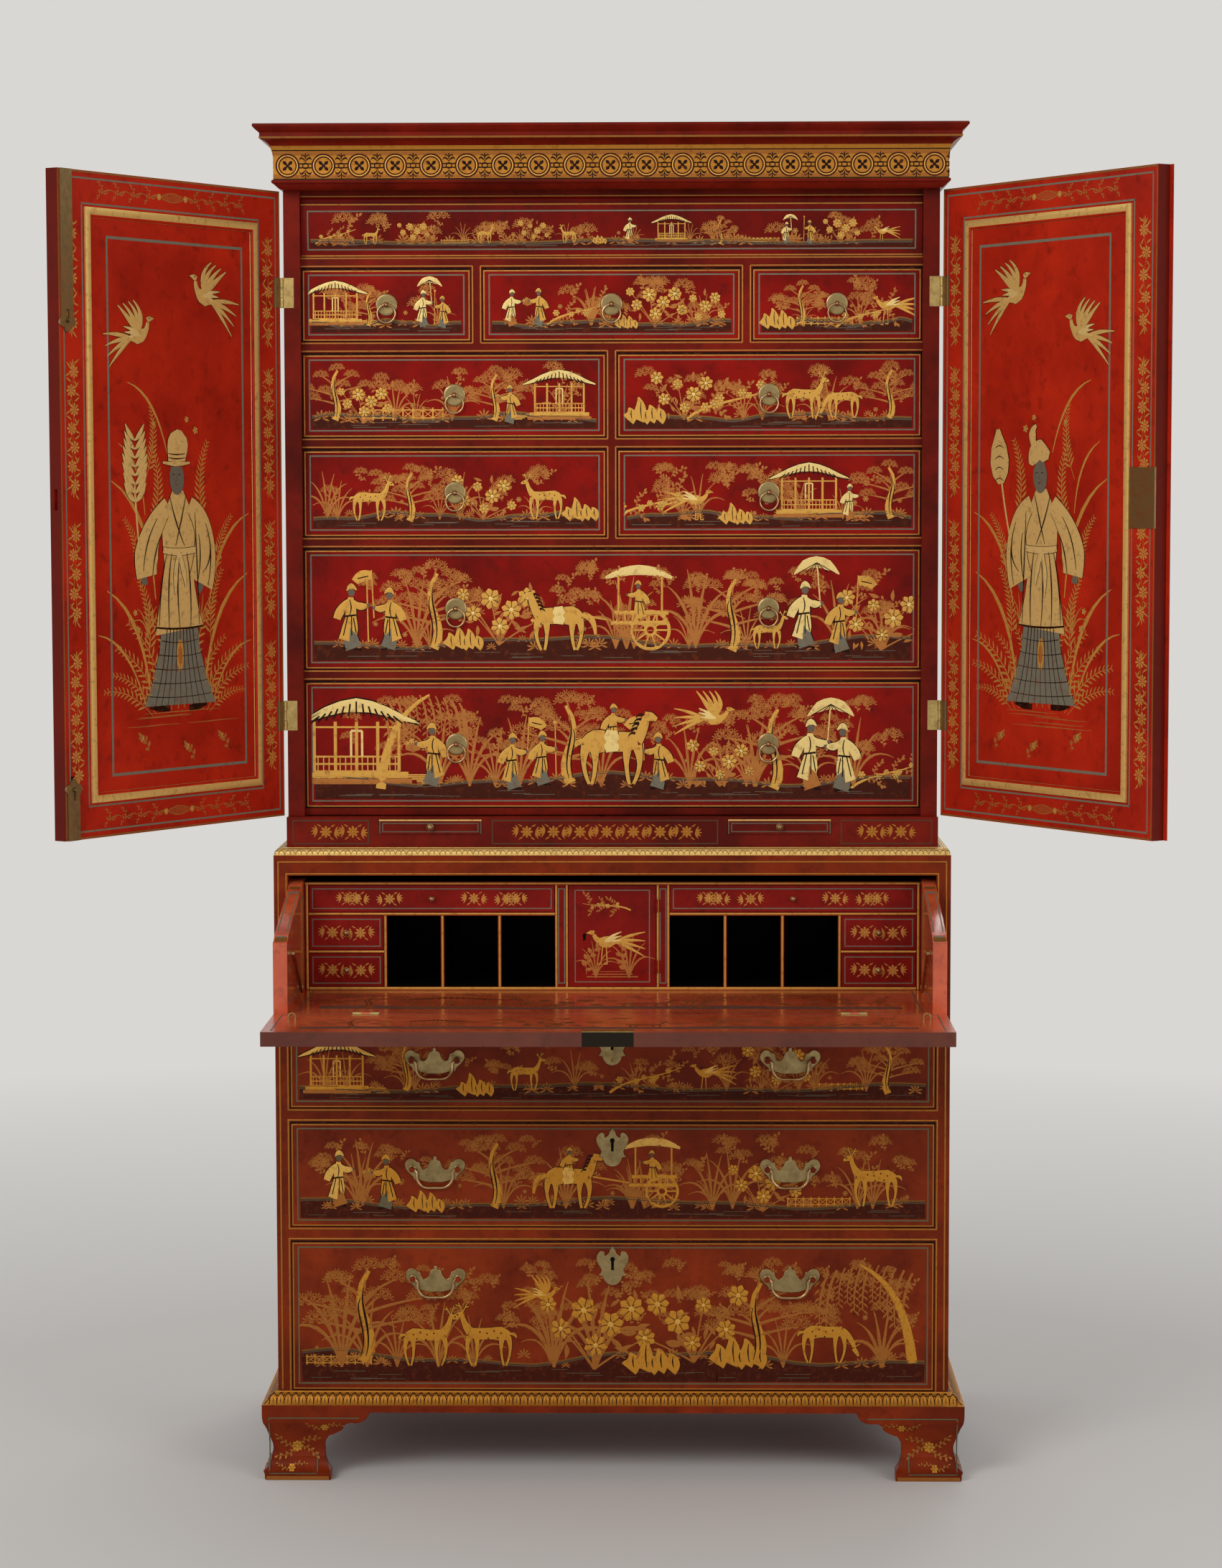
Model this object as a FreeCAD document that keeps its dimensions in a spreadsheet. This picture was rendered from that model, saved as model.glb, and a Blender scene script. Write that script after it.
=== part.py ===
"""Lacquered bureau cabinet: a chest of drawers with a pull-out writing drawer,
and an upper case of ten drawers behind two panelled doors.

Millimetres. +Z is up, +Y points to the back, and the front faces -Y. The origin is
on the floor, at the centre of the cabinet's box with doors and writing drawer open.
"""
import FreeCAD, Part
import os
import re
import Sketcher

V = FreeCAD.Vector
doc = FreeCAD.newDocument("lacquer_cabinet")
sheet = doc.addObject("Spreadsheet::Sheet", "sizes")

# Driving sizes, each in its own cell
DRIVING = (
    # Lower case
    ("lower_width", 1050),
    ("lower_depth", 560),
    ("side_thick", 22),
    ("board_thick", 20),
    ("deep_row", 238.4),
    ("middle_row", 166.6),
    ("shallow_row", 138.4),
    ("desk_row", 205.6),
    ("rail_thick", 21),
    ("top_rail_height", 29.4),
    ("rail_depth", 60),
    ("runner_width", 30),
    ("back_thick", 12),
    # Feet and base moulding
    ("foot_height", 109),
    ("foot_reach", 24),
    ("foot_wall", 9),
    ("bracket_length", 168.5),
    ("foot_block", 45),
    ("base_moulding_height", 29.6),
    # Upper case
    ("upper_stile", 25.4),
    ("door_shelf", 27),
    ("plinth_height", 59.7),
    ("lip_height", 10.5),
    ("long_lower_row", 200.1),
    ("long_upper_row", 189.5),
    ("pair_lower_row", 137),
    ("pair_upper_row", 131.4),
    ("trio_row", 113.7),
    ("cushion_row", 93.3),
    ("upper_rail", 17),
    ("head_rail", 6.2),
    ("rail_recess", 19),
    ("divider_thick", 16),
    ("trio_divider_place", 209),
    ("top_board_thick", 18),
    # Cornice and waist moulding
    ("cornice_height", 97),
    ("cornice_reach", 39.6),
    ("cornice_cover", 13),
    ("dust_board", 12),
    ("waist_height", 13.2),
    ("waist_reach", 19),
    # Candle slides
    ("slide_width", 160.4),
    ("slide_height", 23.6),
    ("slide_head", 3.4),
    ("slide_board", 10),
    ("slide_front", 14),
    ("slide_length", 230),
    ("slide_gap", 0.4),
    ("left_slide_inset", 223.5),
    ("right_slide_inset", 245.8),
    ("slide_guide", 14),
    # Drawers
    ("drawer_gap", 0.6),
    ("drawer_recess", 21),
    ("lower_recess", 1),
    ("front_thick", 18),
    ("drawer_side", 10),
    ("drawer_bottom", 8),
    ("drawer_side_drop", 7),
    ("upper_drawer_length", 465),
    ("lower_drawer_length", 530),
    ("cushion_rise", 7),
    ("cushion_band", 14),
    # Writing drawer
    ("writing_board", 21.4),
    ("desk_travel", 250),
    ("desk_length", 512),
    ("desk_side_thick", 21.3),
    ("desk_side_height", 175.5),
    ("desk_side_front", 105.6),
    ("fall_lip", 10),
    ("fall_lip_gap", 0.6),
    ("fall_stop_gap", 0.3),
    ("unit_setback", 262),
    # Pigeonhole unit
    ("unit_depth", 238),
    ("unit_edge", 6.3),
    ("unit_board", 5.6),
    ("unit_base", 5),
    ("unit_back", 6),
    ("letter_row", 52.5),
    ("letter_upper_row", 53.8),
    ("pen_row", 42.2),
    ("cupboard_half", 68.8),
    ("pilaster", 20.8),
    ("letter_width", 116.6),
    ("small_gap", 0.7),
    ("small_front", 9),
    ("small_side", 5),
    ("small_bottom", 4),
    ("small_drop", 4),
    ("small_recess", 1),
    ("small_length", 222),
    ("cupboard_door", 10),
    ("cupboard_key_place", 23.8),
    ("cupboard_key_radius", 2.2),
    # Doors
    ("door_thick", 21),
    ("door_gap", 0.6),
    ("meeting_gap", 0.8),
    ("door_clearance", 0.8),
    ("door_open", 122.5),
    ("stile_width", 57),
    ("door_rail", 52),
    ("panel_thick", 13),
    ("panel_setback", 4),
    ("panel_bead", 14),
    ("panel_bead_height", 7),
    ("panel_field_drop", 4),
    ("panel_round", 4.5),
    ("astragal_width", 16),
    ("astragal_thick", 5),
    ("astragal_gap", 0.4),
    # Hinges
    ("pin_reach", 3.4),
    ("knuckle_radius", 3.1),
    ("hinge_pin", 1.4),
    ("hinge_pin_gap", 0.1),
    ("hinge_height", 46),
    ("hinge_leaf", 15.4),
    ("leaf_thick", 1.5),
    ("knuckle_gap", 0.2),
    ("lower_hinge_place", 156),
    ("upper_hinge_place", 155),
    ("small_knuckle", 2.2),
    ("small_hinge_height", 20),
    ("small_hinge_leaf", 7),
    ("small_hinge_place", 32),
    ("fall_hinge_width", 39.5),
    ("fall_hinge_place", 364),
    ("fall_hinge_leaf", 14),
    # Door bolts and lock
    ("bolt_plate_width", 24.5),
    ("bolt_plate_thick", 3),
    ("top_bolt_plate", 233),
    ("bottom_bolt_plate", 90),
    ("bolt_inset", 16.3),
    ("bolt_width", 8),
    ("bolt_depth", 6),
    ("bolt_gap", 0.4),
    ("bolt_travel", 12),
    ("bolt_slot", 7),
    ("bolt_knob_radius", 3),
    ("bolt_knob_reach", 6),
    ("top_bolt_rod", 222),
    ("bottom_bolt_rod", 80),
    ("lock_width", 57),
    ("lock_height", 88),
    ("lock_place", 448.6),
    ("lock_plate", 3),
    ("keeper_height", 30),
    ("keeper_width", 7),
    ("keeper_depth", 12),
    # Ring pulls
    ("ring_plate", 34),
    ("plate_thick", 1.5),
    ("ring_radius", 14),
    ("ring_wire", 1.5),
    ("ring_post_reach", 6),
    ("ring_ball", 3.2),
    ("ring_shank", 1.6),
    ("ring_hole", 2.1),
    # Bail handles
    ("handle_place", 277),
    ("handle_posts", 71),
    ("handle_plate_width", 95),
    ("handle_plate_height", 43),
    ("handle_reach", 9),
    ("post_radius", 3.8),
    ("post_head", 4.7),
    ("post_head_depth", 7.4),
    ("bail_wire", 2),
    ("bail_hole_gap", 0.3),
    ("bail_arm", 28.2),
    ("bail_start", 9.7),
    ("bail_shoulder", 18),
    ("bail_turn", 80),
    ("deep_handle_drop", 60),
    ("middle_handle_drop", 74),
    ("shallow_handle_drop", 62),
    # Escutcheons and locks
    ("escutcheon_width", 50.3),
    ("escutcheon_height", 63),
    ("escutcheon_drop", 9),
    ("keyhole_radius", 3.3),
    ("keyhole_slot", 5),
    ("keyhole_drop", 14),
    ("keyhole_level", 20.2),
    ("fall_lock_width", 75),
    ("fall_lock_depth", 22),
    ("fall_lock_thick", 1),
    # Knobs, eyes and stays
    ("knob_radius", 4),
    ("knob_neck", 2),
    ("knob_reach", 9),
    ("slide_knob_radius", 5),
    ("stay_place", 56),
    ("stay_height", 84.5),
    ("stay_run", 118),
    ("stay_drop", 75),
    ("stay_wire", 2.2),
    ("stay_eye", 5),
    ("stay_gap", 1.5),
    ("eye_place", 60),
    ("eye_inset", 13),
    # Cuts run past what they cut by this much
    ("overrun", 5),
)

# Sizes worked out from the driving ones
DERIVED = (
    ("lower_half", "lower_width / 2"),
    ("upper_half", "lower_half - waist_reach"),
    ("lower_opening_half", "lower_half - side_thick"),
    ("upper_opening_half", "upper_half - upper_stile"),
    ("inside_back", "lower_depth - back_thick"),
    ("case_bottom", "foot_height + base_moulding_height"),
    ("deep_top", "case_bottom + deep_row"),
    ("middle_bottom", "deep_top + rail_thick"),
    ("middle_top", "middle_bottom + middle_row"),
    ("shallow_bottom", "middle_top + rail_thick"),
    ("shallow_top", "shallow_bottom + shallow_row"),
    ("desk_bottom", "shallow_top + rail_thick"),
    ("desk_top", "desk_bottom + desk_row"),
    ("lower_top", "desk_top + top_rail_height"),
    ("plinth_front", "waist_reach"),
    ("upper_front", "plinth_front + door_shelf"),
    ("plinth_top", "lower_top + plinth_height"),
    ("long_lower_bottom", "plinth_top + lip_height"),
    ("long_lower_top", "long_lower_bottom + long_lower_row"),
    ("long_upper_bottom", "long_lower_top + upper_rail"),
    ("long_upper_top", "long_upper_bottom + long_upper_row"),
    ("pair_lower_bottom", "long_upper_top + upper_rail"),
    ("pair_lower_top", "pair_lower_bottom + pair_lower_row"),
    ("pair_upper_bottom", "pair_lower_top + upper_rail"),
    ("pair_upper_top", "pair_upper_bottom + pair_upper_row"),
    ("trio_bottom", "pair_upper_top + upper_rail"),
    ("trio_top", "trio_bottom + trio_row"),
    ("cushion_bottom", "trio_top + upper_rail"),
    ("cushion_top", "cushion_bottom + cushion_row"),
    ("cornice_bottom", "cushion_top + head_rail"),
    ("total_height", "cornice_bottom + cornice_height"),
    ("case_head", "total_height - cornice_cover"),
    ("slide_bottom", "plinth_top - slide_head - slide_height"),
    ("upper_drawer_front", "upper_front + drawer_recess"),
    ("rail_front", "upper_front + rail_recess"),
    ("left_slide_place", "upper_half - left_slide_inset"),
    ("right_slide_place", "upper_half - right_slide_inset"),
    ("pair_ring_place", "(divider_thick / 2 + upper_opening_half) / 2"),
    ("trio_ring_place", "(trio_divider_place + divider_thick / 2 + upper_opening_half) / 2"),
    # The seam is the front edge of the writing surface, where the fall is hinged
    ("seam_closed", "lower_recess + writing_board"),
    ("seam", "seam_closed - desk_travel"),
    ("writing_level", "desk_bottom + drawer_gap + writing_board"),
    ("fall_height", "desk_top - drawer_gap - writing_level"),
    ("fall_half", "lower_opening_half - 2 * drawer_gap"),
    ("desk_half", "lower_opening_half - drawer_gap"),
    ("desk_inner_half", "desk_half - desk_side_thick"),
    ("tongue", "writing_board - fall_lip - fall_lip_gap"),
    ("unit_half", "desk_inner_half - small_gap"),
    ("unit_inner_half", "unit_half - unit_edge"),
    ("letter_top", "unit_base + letter_row"),
    ("letter_upper_bottom", "letter_top + unit_board"),
    ("letter_upper_top", "letter_upper_bottom + letter_upper_row"),
    ("pen_bottom", "letter_upper_top + unit_board"),
    ("pen_top", "pen_bottom + pen_row"),
    ("pilaster_outer", "cupboard_half + pilaster"),
    ("letter_wall", "unit_inner_half - letter_width"),
    ("hole_span", "(letter_wall - unit_board - pilaster_outer - 2 * unit_board) / 3"),
    # Doors are drawn closed, from the hinge pin
    ("door_near", "pin_reach"),
    ("door_far", "upper_half + pin_reach - meeting_gap / 2"),
    ("door_face", "door_gap / 2"),
    ("door_low", "plinth_top + door_clearance"),
    ("door_high", "cornice_bottom - door_clearance"),
    ("pin_x", "upper_half + pin_reach"),
    ("pin_y", "upper_front - door_gap / 2"),
    ("panel_near", "door_near + stile_width"),
    ("panel_far", "door_far - stile_width"),
    ("panel_low", "door_low + door_rail"),
    ("panel_high", "door_high - door_rail"),
    ("bolt_centre", "door_far - bolt_inset"),
    ("lock_middle", "door_low + lock_place + lock_height / 2"),
    # Bail handle curve: a wide belly runs smoothly out of the two shoulders
    ("bail_belly", "bail_shoulder + (bail_arm - bail_shoulder) / cos(bail_turn)"),
    ("bail_low", "bail_start + (bail_shoulder - bail_belly) * sin(bail_turn) + bail_belly"),
    ("stay_angle", "atan(stay_drop / stay_run)"),
    # The origin is at the middle of the box that the open cabinet fills
    ("fall_reach", "fall_height - seam"),
    ("door_reach", "door_far * sin(door_open) - pin_y"),
    ("front_reach", "max(fall_reach; door_reach)"),
    ("shift_y", "(front_reach - lower_depth) / 2"),
)

row = 0
for name, value in DRIVING:
    row = row + 1
    sheet.set(f"A{row}", name)
    sheet.set(f"B{row}", str(value))
    sheet.setAlias(f"B{row}", name)
for name, formula in DERIVED:
    row = row + 1
    sheet.set(f"A{row}", name)
    sheet.set(f"B{row}", f"={formula}")
    sheet.setAlias(f"B{row}", name)
doc.recompute()

SUB_PARTS = []


def tie(text):
    """Write the sheet's name before each size that an expression names."""
    return re.sub(r"\b([a-z][a-z_]*)\b(?!\()", r"sizes.\1", text)


def number(text):
    """The present value of an expression in the sheet's sizes."""
    return float(sheet.evalExpression(text))


def flip(sign, pair):
    """A pair of limits along X, or its mirror image where sign is -1."""
    if sign > 0:
        return pair
    return (f"-({pair[1]})", f"-({pair[0]})")


def board(name, x, y, z):
    """A rectangular board between a low and a high limit along each axis."""
    box = doc.addObject("Part::Box", name)
    for pair, length, axis in ((x, "Length", "x"), (y, "Width", "y"), (z, "Height", "z")):
        box.setExpression(length, tie(f"({pair[1]}) - ({pair[0]})"))
        box.setExpression(f"Placement.Base.{axis}", tie(pair[0]))
    return box


def mirrored_boards(name, x, y, z):
    """A board and its mirror image in the middle plane of the cabinet."""
    return [board(f"{word}_{name}", flip(sign, x), y, z) for word, sign in (("left", -1), ("right", 1))]


TURNS = {"x": (V(0, 1, 0), 90), "y": (V(1, 0, 0), -90), "z": (V(0, 0, 1), 0)}


def rod(name, axis, place, radius, length, sides=6):
    """A small turned rod, drawn with flat sides, running in the positive direction of an axis."""
    prism = doc.addObject("Part::Prism", name)
    prism.Polygon = sides
    direction, angle = TURNS[axis]
    prism.Placement = FreeCAD.Placement(V(), FreeCAD.Rotation(direction, angle))
    for letter, text in zip("xyz", place):
        prism.setExpression(f"Placement.Base.{letter}", tie(text))
    prism.setExpression("Circumradius", tie(radius))
    prism.setExpression("Height", tie(length))
    return prism


def bore(name, axis, place, radius, length, sides=6):
    """A hole for a rod: its flat sides, not its corners, lie at the radius."""
    return rod(name, axis, place, f"({radius}) / cos(180 / {sides})", length, sides)


def group(name, pieces):
    """Several pieces held together as one shape, each still its own solid."""
    compound = doc.addObject("Part::Compound", name)
    compound.Links = pieces
    return compound


def joined(name, pieces):
    """Pieces fused into one solid."""
    fused = doc.addObject("Part::MultiFuse", name)
    fused.Shapes = pieces
    return fused


def cut(name, base, tools):
    """A piece with its recesses or holes cut out."""
    result = doc.addObject("Part::Cut", name)
    result.Base = base
    result.Tool = tools[0] if len(tools) == 1 else group(f"{name}_tools", tools)
    return result


def place(piece, x="0", y="0", z="0", angle=None):
    """Put a piece at a point and turn it about the vertical through that point."""
    for letter, text in (("x", x), ("y", y), ("z", z)):
        piece.setExpression(f"Placement.Base.{letter}", tie(text))
    if angle:
        piece.setExpression("Placement.Rotation.Angle", tie(angle))
    return piece


def sub_part(label, pieces, x="0", y="0", z="0", angle=None):
    """Make one named sub-part of its pieces and put it in the cabinet's frame."""
    whole = group(label, pieces)
    whole.Label = label
    place(whole, x, f"{y} + shift_y", z, angle)
    SUB_PARTS.append(whole)
    return whole


PLANES = {"XY_Plane": 1, "XZ_Plane": -1, "YZ_Plane": 1}


def sketch_on(body, plane, level):
    """A sketch on one of the body's own planes, moved along the plane's axis to a level."""
    sketch = body.newObject("Sketcher::SketchObject", f"{body.Name}_sketch")
    support = [feature for feature in body.Origin.OriginFeatures if feature.Role == plane]
    sketch.AttachmentSupport = [(support[0], "")]
    sketch.MapMode = "FlatFace"
    sign = "" if PLANES[plane] > 0 else "-"
    sketch.setExpression("AttachmentOffset.Base.z", tie(f"{sign}({level})"))
    return sketch


def hold(sketch, geometry, point, x, y):
    """Fix a point of a sketch at two sizes measured from the sketch's origin."""
    for kind, text in (("DistanceX", x), ("DistanceY", y)):
        index = sketch.addConstraint(Sketcher.Constraint(kind, -1, 1, geometry, point, number(text)))
        sketch.renameConstraint(index, f"c{index}")
        sketch.setExpression(f"Constraints.c{index}", tie(text))


def arc_through(start, middle, end):
    """An arc that runs anticlockwise, and whether it had to be turned round for that."""
    circle = Part.Circle(V(*start), V(*middle), V(*end))
    turned = circle.Axis.z < 0
    first, last = (end, start) if turned else (start, end)
    flat = Part.Circle(circle.Center, V(0, 0, 1), circle.Radius)
    return Part.ArcOfCircle(flat, flat.parameter(V(*first)), flat.parameter(V(*last))), turned


def draw(sketch, steps, closed=True):
    """Draw an outline: (x, y) ends a straight line, (xm, ym, x, y) an arc through (xm, ym)."""
    ends = [step[-2:] for step in steps]
    points = [(number(x), number(y), 0) for x, y in ends]
    runs = range(len(steps)) if closed else range(1, len(steps))
    joints = []
    for index in runs:
        start = points[index - 1]
        end = points[index]
        step = steps[index]
        if len(step) == 2:
            geometry = sketch.addGeometry(Part.LineSegment(V(*start), V(*end)), False)
            starts, stops = 1, 2
        else:
            middle = (number(step[0]), number(step[1]), 0)
            circle, turned = arc_through(start, middle, end)
            geometry = sketch.addGeometry(circle, False)
            starts, stops = (2, 1) if turned else (1, 2)
            guide = sketch.addGeometry(Part.Point(V(*middle)), True)
            hold(sketch, guide, 1, step[0], step[1])
            sketch.addConstraint(Sketcher.Constraint("PointOnObject", guide, 1, geometry))
        hold(sketch, geometry, stops, *ends[index])
        joints.append((geometry, starts, stops))
    for place_in_line, run in enumerate(joints):
        before = joints[place_in_line - 1]
        if closed or place_in_line:
            sketch.addConstraint(Sketcher.Constraint("Coincident", before[0], before[2], run[0], run[1]))
        else:
            hold(sketch, run[0], run[1], *ends[0])


def round_outline(x, y, radius, sides=8):
    """The corners of a small round hole or wire, drawn with flat sides."""
    return [
        (f"{x} + {radius} * cos({360 / sides * corner})", f"{y} + {radius} * sin({360 / sides * corner})")
        for corner in range(sides)
    ]


def padded(name, plane, outlines, low, high):
    """A body whose outlines on a plane are padded from a low to a high level."""
    body = doc.addObject("PartDesign::Body", name)
    sketch = sketch_on(body, plane, low)
    for outline in outlines:
        draw(sketch, outline)
    pad = body.newObject("PartDesign::Pad", f"{name}_pad")
    pad.Profile = sketch
    pad.Reversed = PLANES[plane] < 0
    pad.setExpression("Length", tie(f"({high}) - ({low})"))
    sketch.Visibility = False
    return body


def pocketed(body, plane, outlines, low, high):
    """Cut outlines on a plane out of a body, from a low to a high level."""
    doc.recompute()
    before = body.Shape.Volume
    sketch = sketch_on(body, plane, low)
    for outline in outlines:
        draw(sketch, outline)
    pocket = body.newObject("PartDesign::Pocket", f"{body.Name}_pocket")
    pocket.Profile = sketch
    pocket.Reversed = PLANES[plane] > 0
    pocket.setExpression("Length", tie(f"({high}) - ({low})"))
    doc.recompute()
    if not body.Shape.Volume < before:
        raise RuntimeError(f"a pocket in {body.Name} cuts nothing")
    return body


def rounded(body, radius, chosen):
    """Fillet the edges of a body that chosen(edge) picks."""
    doc.recompute()
    shape = body.Shape
    names = [f"Edge{index + 1}" for index, edge in enumerate(shape.Edges) if chosen(edge)]
    last = body.Tip
    fillet = body.newObject("PartDesign::Fillet", f"{body.Name}_round")
    fillet.Base = (last, names)
    fillet.setExpression("Radius", tie(radius))
    return body


def shares(table, x_size, y_size, x_zero="0", y_zero="0"):
    """Turn outline steps given as shares of two sizes into steps in the sheet's sizes."""
    steps = []
    for step in table:
        texts = []
        for index, share in enumerate(step):
            size, zero = ((x_size, x_zero), (y_size, y_zero))[index % 2]
            texts.append(f"{zero} + {share} * {size}")
        steps.append(tuple(texts))
    return steps


def way_back(half, middle):
    """The mirror image of some steps in an upright line, drawn from their end to their start."""
    other = [
        tuple(f"2 * ({middle}) - ({text})" if index % 2 == 0 else text for index, text in enumerate(step))
        for step in half
    ]
    return [other[index][:-2] + other[index - 1][-2:] for index in range(len(half) - 1, 0, -1)]


def mirrored_outline(half, middle):
    """Close a half outline, drawn from a point on an upright line, with its mirror image."""
    last = half[-1][-2:]
    across = []
    if abs(number(last[0]) - number(middle)) > 0:
        across = [(f"2 * ({middle}) - ({last[0]})", last[1])]
    return list(half[1:]) + across + way_back(half, middle)


def wire(name, path_plane, path_level, path, profile_plane, profile_level, centre, radius):
    """A bent wire of six-sided section, swept along an open path."""
    body = doc.addObject("PartDesign::Body", name)
    spine = sketch_on(body, path_plane, path_level)
    draw(spine, path, closed=False)
    section = sketch_on(body, profile_plane, profile_level)
    draw(section, round_outline(*centre, radius, 6))
    pipe = body.newObject("PartDesign::AdditivePipe", f"{name}_pipe")
    pipe.Profile = section
    pipe.Spine = (spine, [])
    pipe.Transition = "Right corner"
    return body


# Lower case: dovetailed carcase of sides, top and bottom, with the rails between drawers
lower_boards = mirrored_boards(
    "lower_side",
    ("lower_opening_half", "lower_half"),
    ("0", "lower_depth"),
    ("foot_height", "lower_top"),
)
lower_inside = ("-lower_opening_half", "lower_opening_half")
lower_boards.append(
    board("case_floor", lower_inside, ("0", "inside_back"), ("case_bottom - board_thick", "case_bottom"))
)
lower_boards.append(
    board("case_top", lower_inside, ("rail_depth", "inside_back"), ("lower_top - board_thick", "lower_top"))
)
lower_boards.append(board("top_rail", lower_inside, ("0", "rail_depth"), ("desk_top", "lower_top")))
sub_part("lower_carcase", lower_boards)

# Each rail carries a pair of runners, on which the drawer above it slides
lower_rails = []
for name, top in (("deep", "middle_bottom"), ("middle", "shallow_bottom"), ("shallow", "desk_bottom")):
    level = (f"{top} - rail_thick", top)
    lower_rails.append(board(f"{name}_rail", lower_inside, ("0", "rail_depth"), level))
    lower_rails += mirrored_boards(
        f"{name}_runner",
        ("lower_opening_half - runner_width", "lower_opening_half"),
        ("rail_depth", "inside_back"),
        level,
    )
sub_part("lower_drawer_rails", lower_rails)

# Back: upright boards let in between the sides of both cases
BACK_BOARDS = 4
back = []
for name, half, low, high in (
    ("lower_back", "lower_opening_half", "case_bottom - board_thick", "lower_top"),
    ("upper_back", "upper_opening_half", "lower_top", "case_head - dust_board"),
):
    for index in range(BACK_BOARDS):
        left = f"-{half} + {index} * 2 * {half} / {BACK_BOARDS}"
        right = f"-{half} + {index + 1} * 2 * {half} / {BACK_BOARDS}"
        back.append(board(f"{name}_{index + 1}", (left, right), ("inside_back", "lower_depth"), (low, high)))
sub_part("back_boards", back)


def moulding(name, table, reach, height, low, half, front):
    """A moulding mitred round the front and the two sides of a case."""
    depth = f"{front} - {reach}"
    beyond = f"{half} + {reach} + overrun"
    lead = f"{front} - {reach} - overrun"
    runs = []
    outline = [tuple(step) for step in table]
    turned = [tuple(-s if i % 2 == 0 else s for i, s in enumerate(step)) for step in outline]
    profile = shares(turned, reach, height, front, low)
    run = padded(f"{name}_front", "YZ_Plane", [profile], f"-{half} - {reach}", f"{half} + {reach}")
    corners = []
    for sign in (1, -1):
        corners.append([
            (f"{sign} * {half}", front),
            (f"{sign} * ({beyond})", lead),
            (f"{sign} * ({beyond})", f"{front} + overrun"),
            (f"{sign} * {half}", f"{front} + overrun"),
        ])
    runs.append(pocketed(run, "XY_Plane", corners, f"{low} - overrun", f"{low} + {height} + overrun"))
    for word, sign in (("left", -1), ("right", 1)):
        turned = [tuple(sign * s if i % 2 == 0 else s for i, s in enumerate(step)) for step in outline]
        profile = shares(turned, reach, height, f"{sign} * {half}", low)
        run = padded(f"{name}_{word}", "XZ_Plane", [profile], depth, "lower_depth")
        corner = [
            (f"{sign} * {half}", front),
            (f"{sign} * ({beyond})", lead),
            (f"{sign} * ({half} - overrun)", lead),
            (f"{sign} * ({half} - overrun)", front),
        ]
        runs.append(pocketed(run, "XY_Plane", [corner], f"{low} - overrun", f"{low} + {height} + overrun"))
    return runs


# Base moulding: a leaf-carved ogee over a plain fascia, which the feet carry on downwards
BASE_SHARES = (
    (0, 0),
    (1, 0),
    (1, 0.38),
    (0.91, 0.41),
    (0.74, 0.52, 0.6, 0.66),
    (0.46, 0.83, 0.16, 0.93),
    (0.14, 1),
    (0, 1),
)
sub_part(
    "base_moulding",
    moulding("base", BASE_SHARES, "foot_reach", "base_moulding_height", "foot_height", "lower_half", "0"),
)

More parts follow.
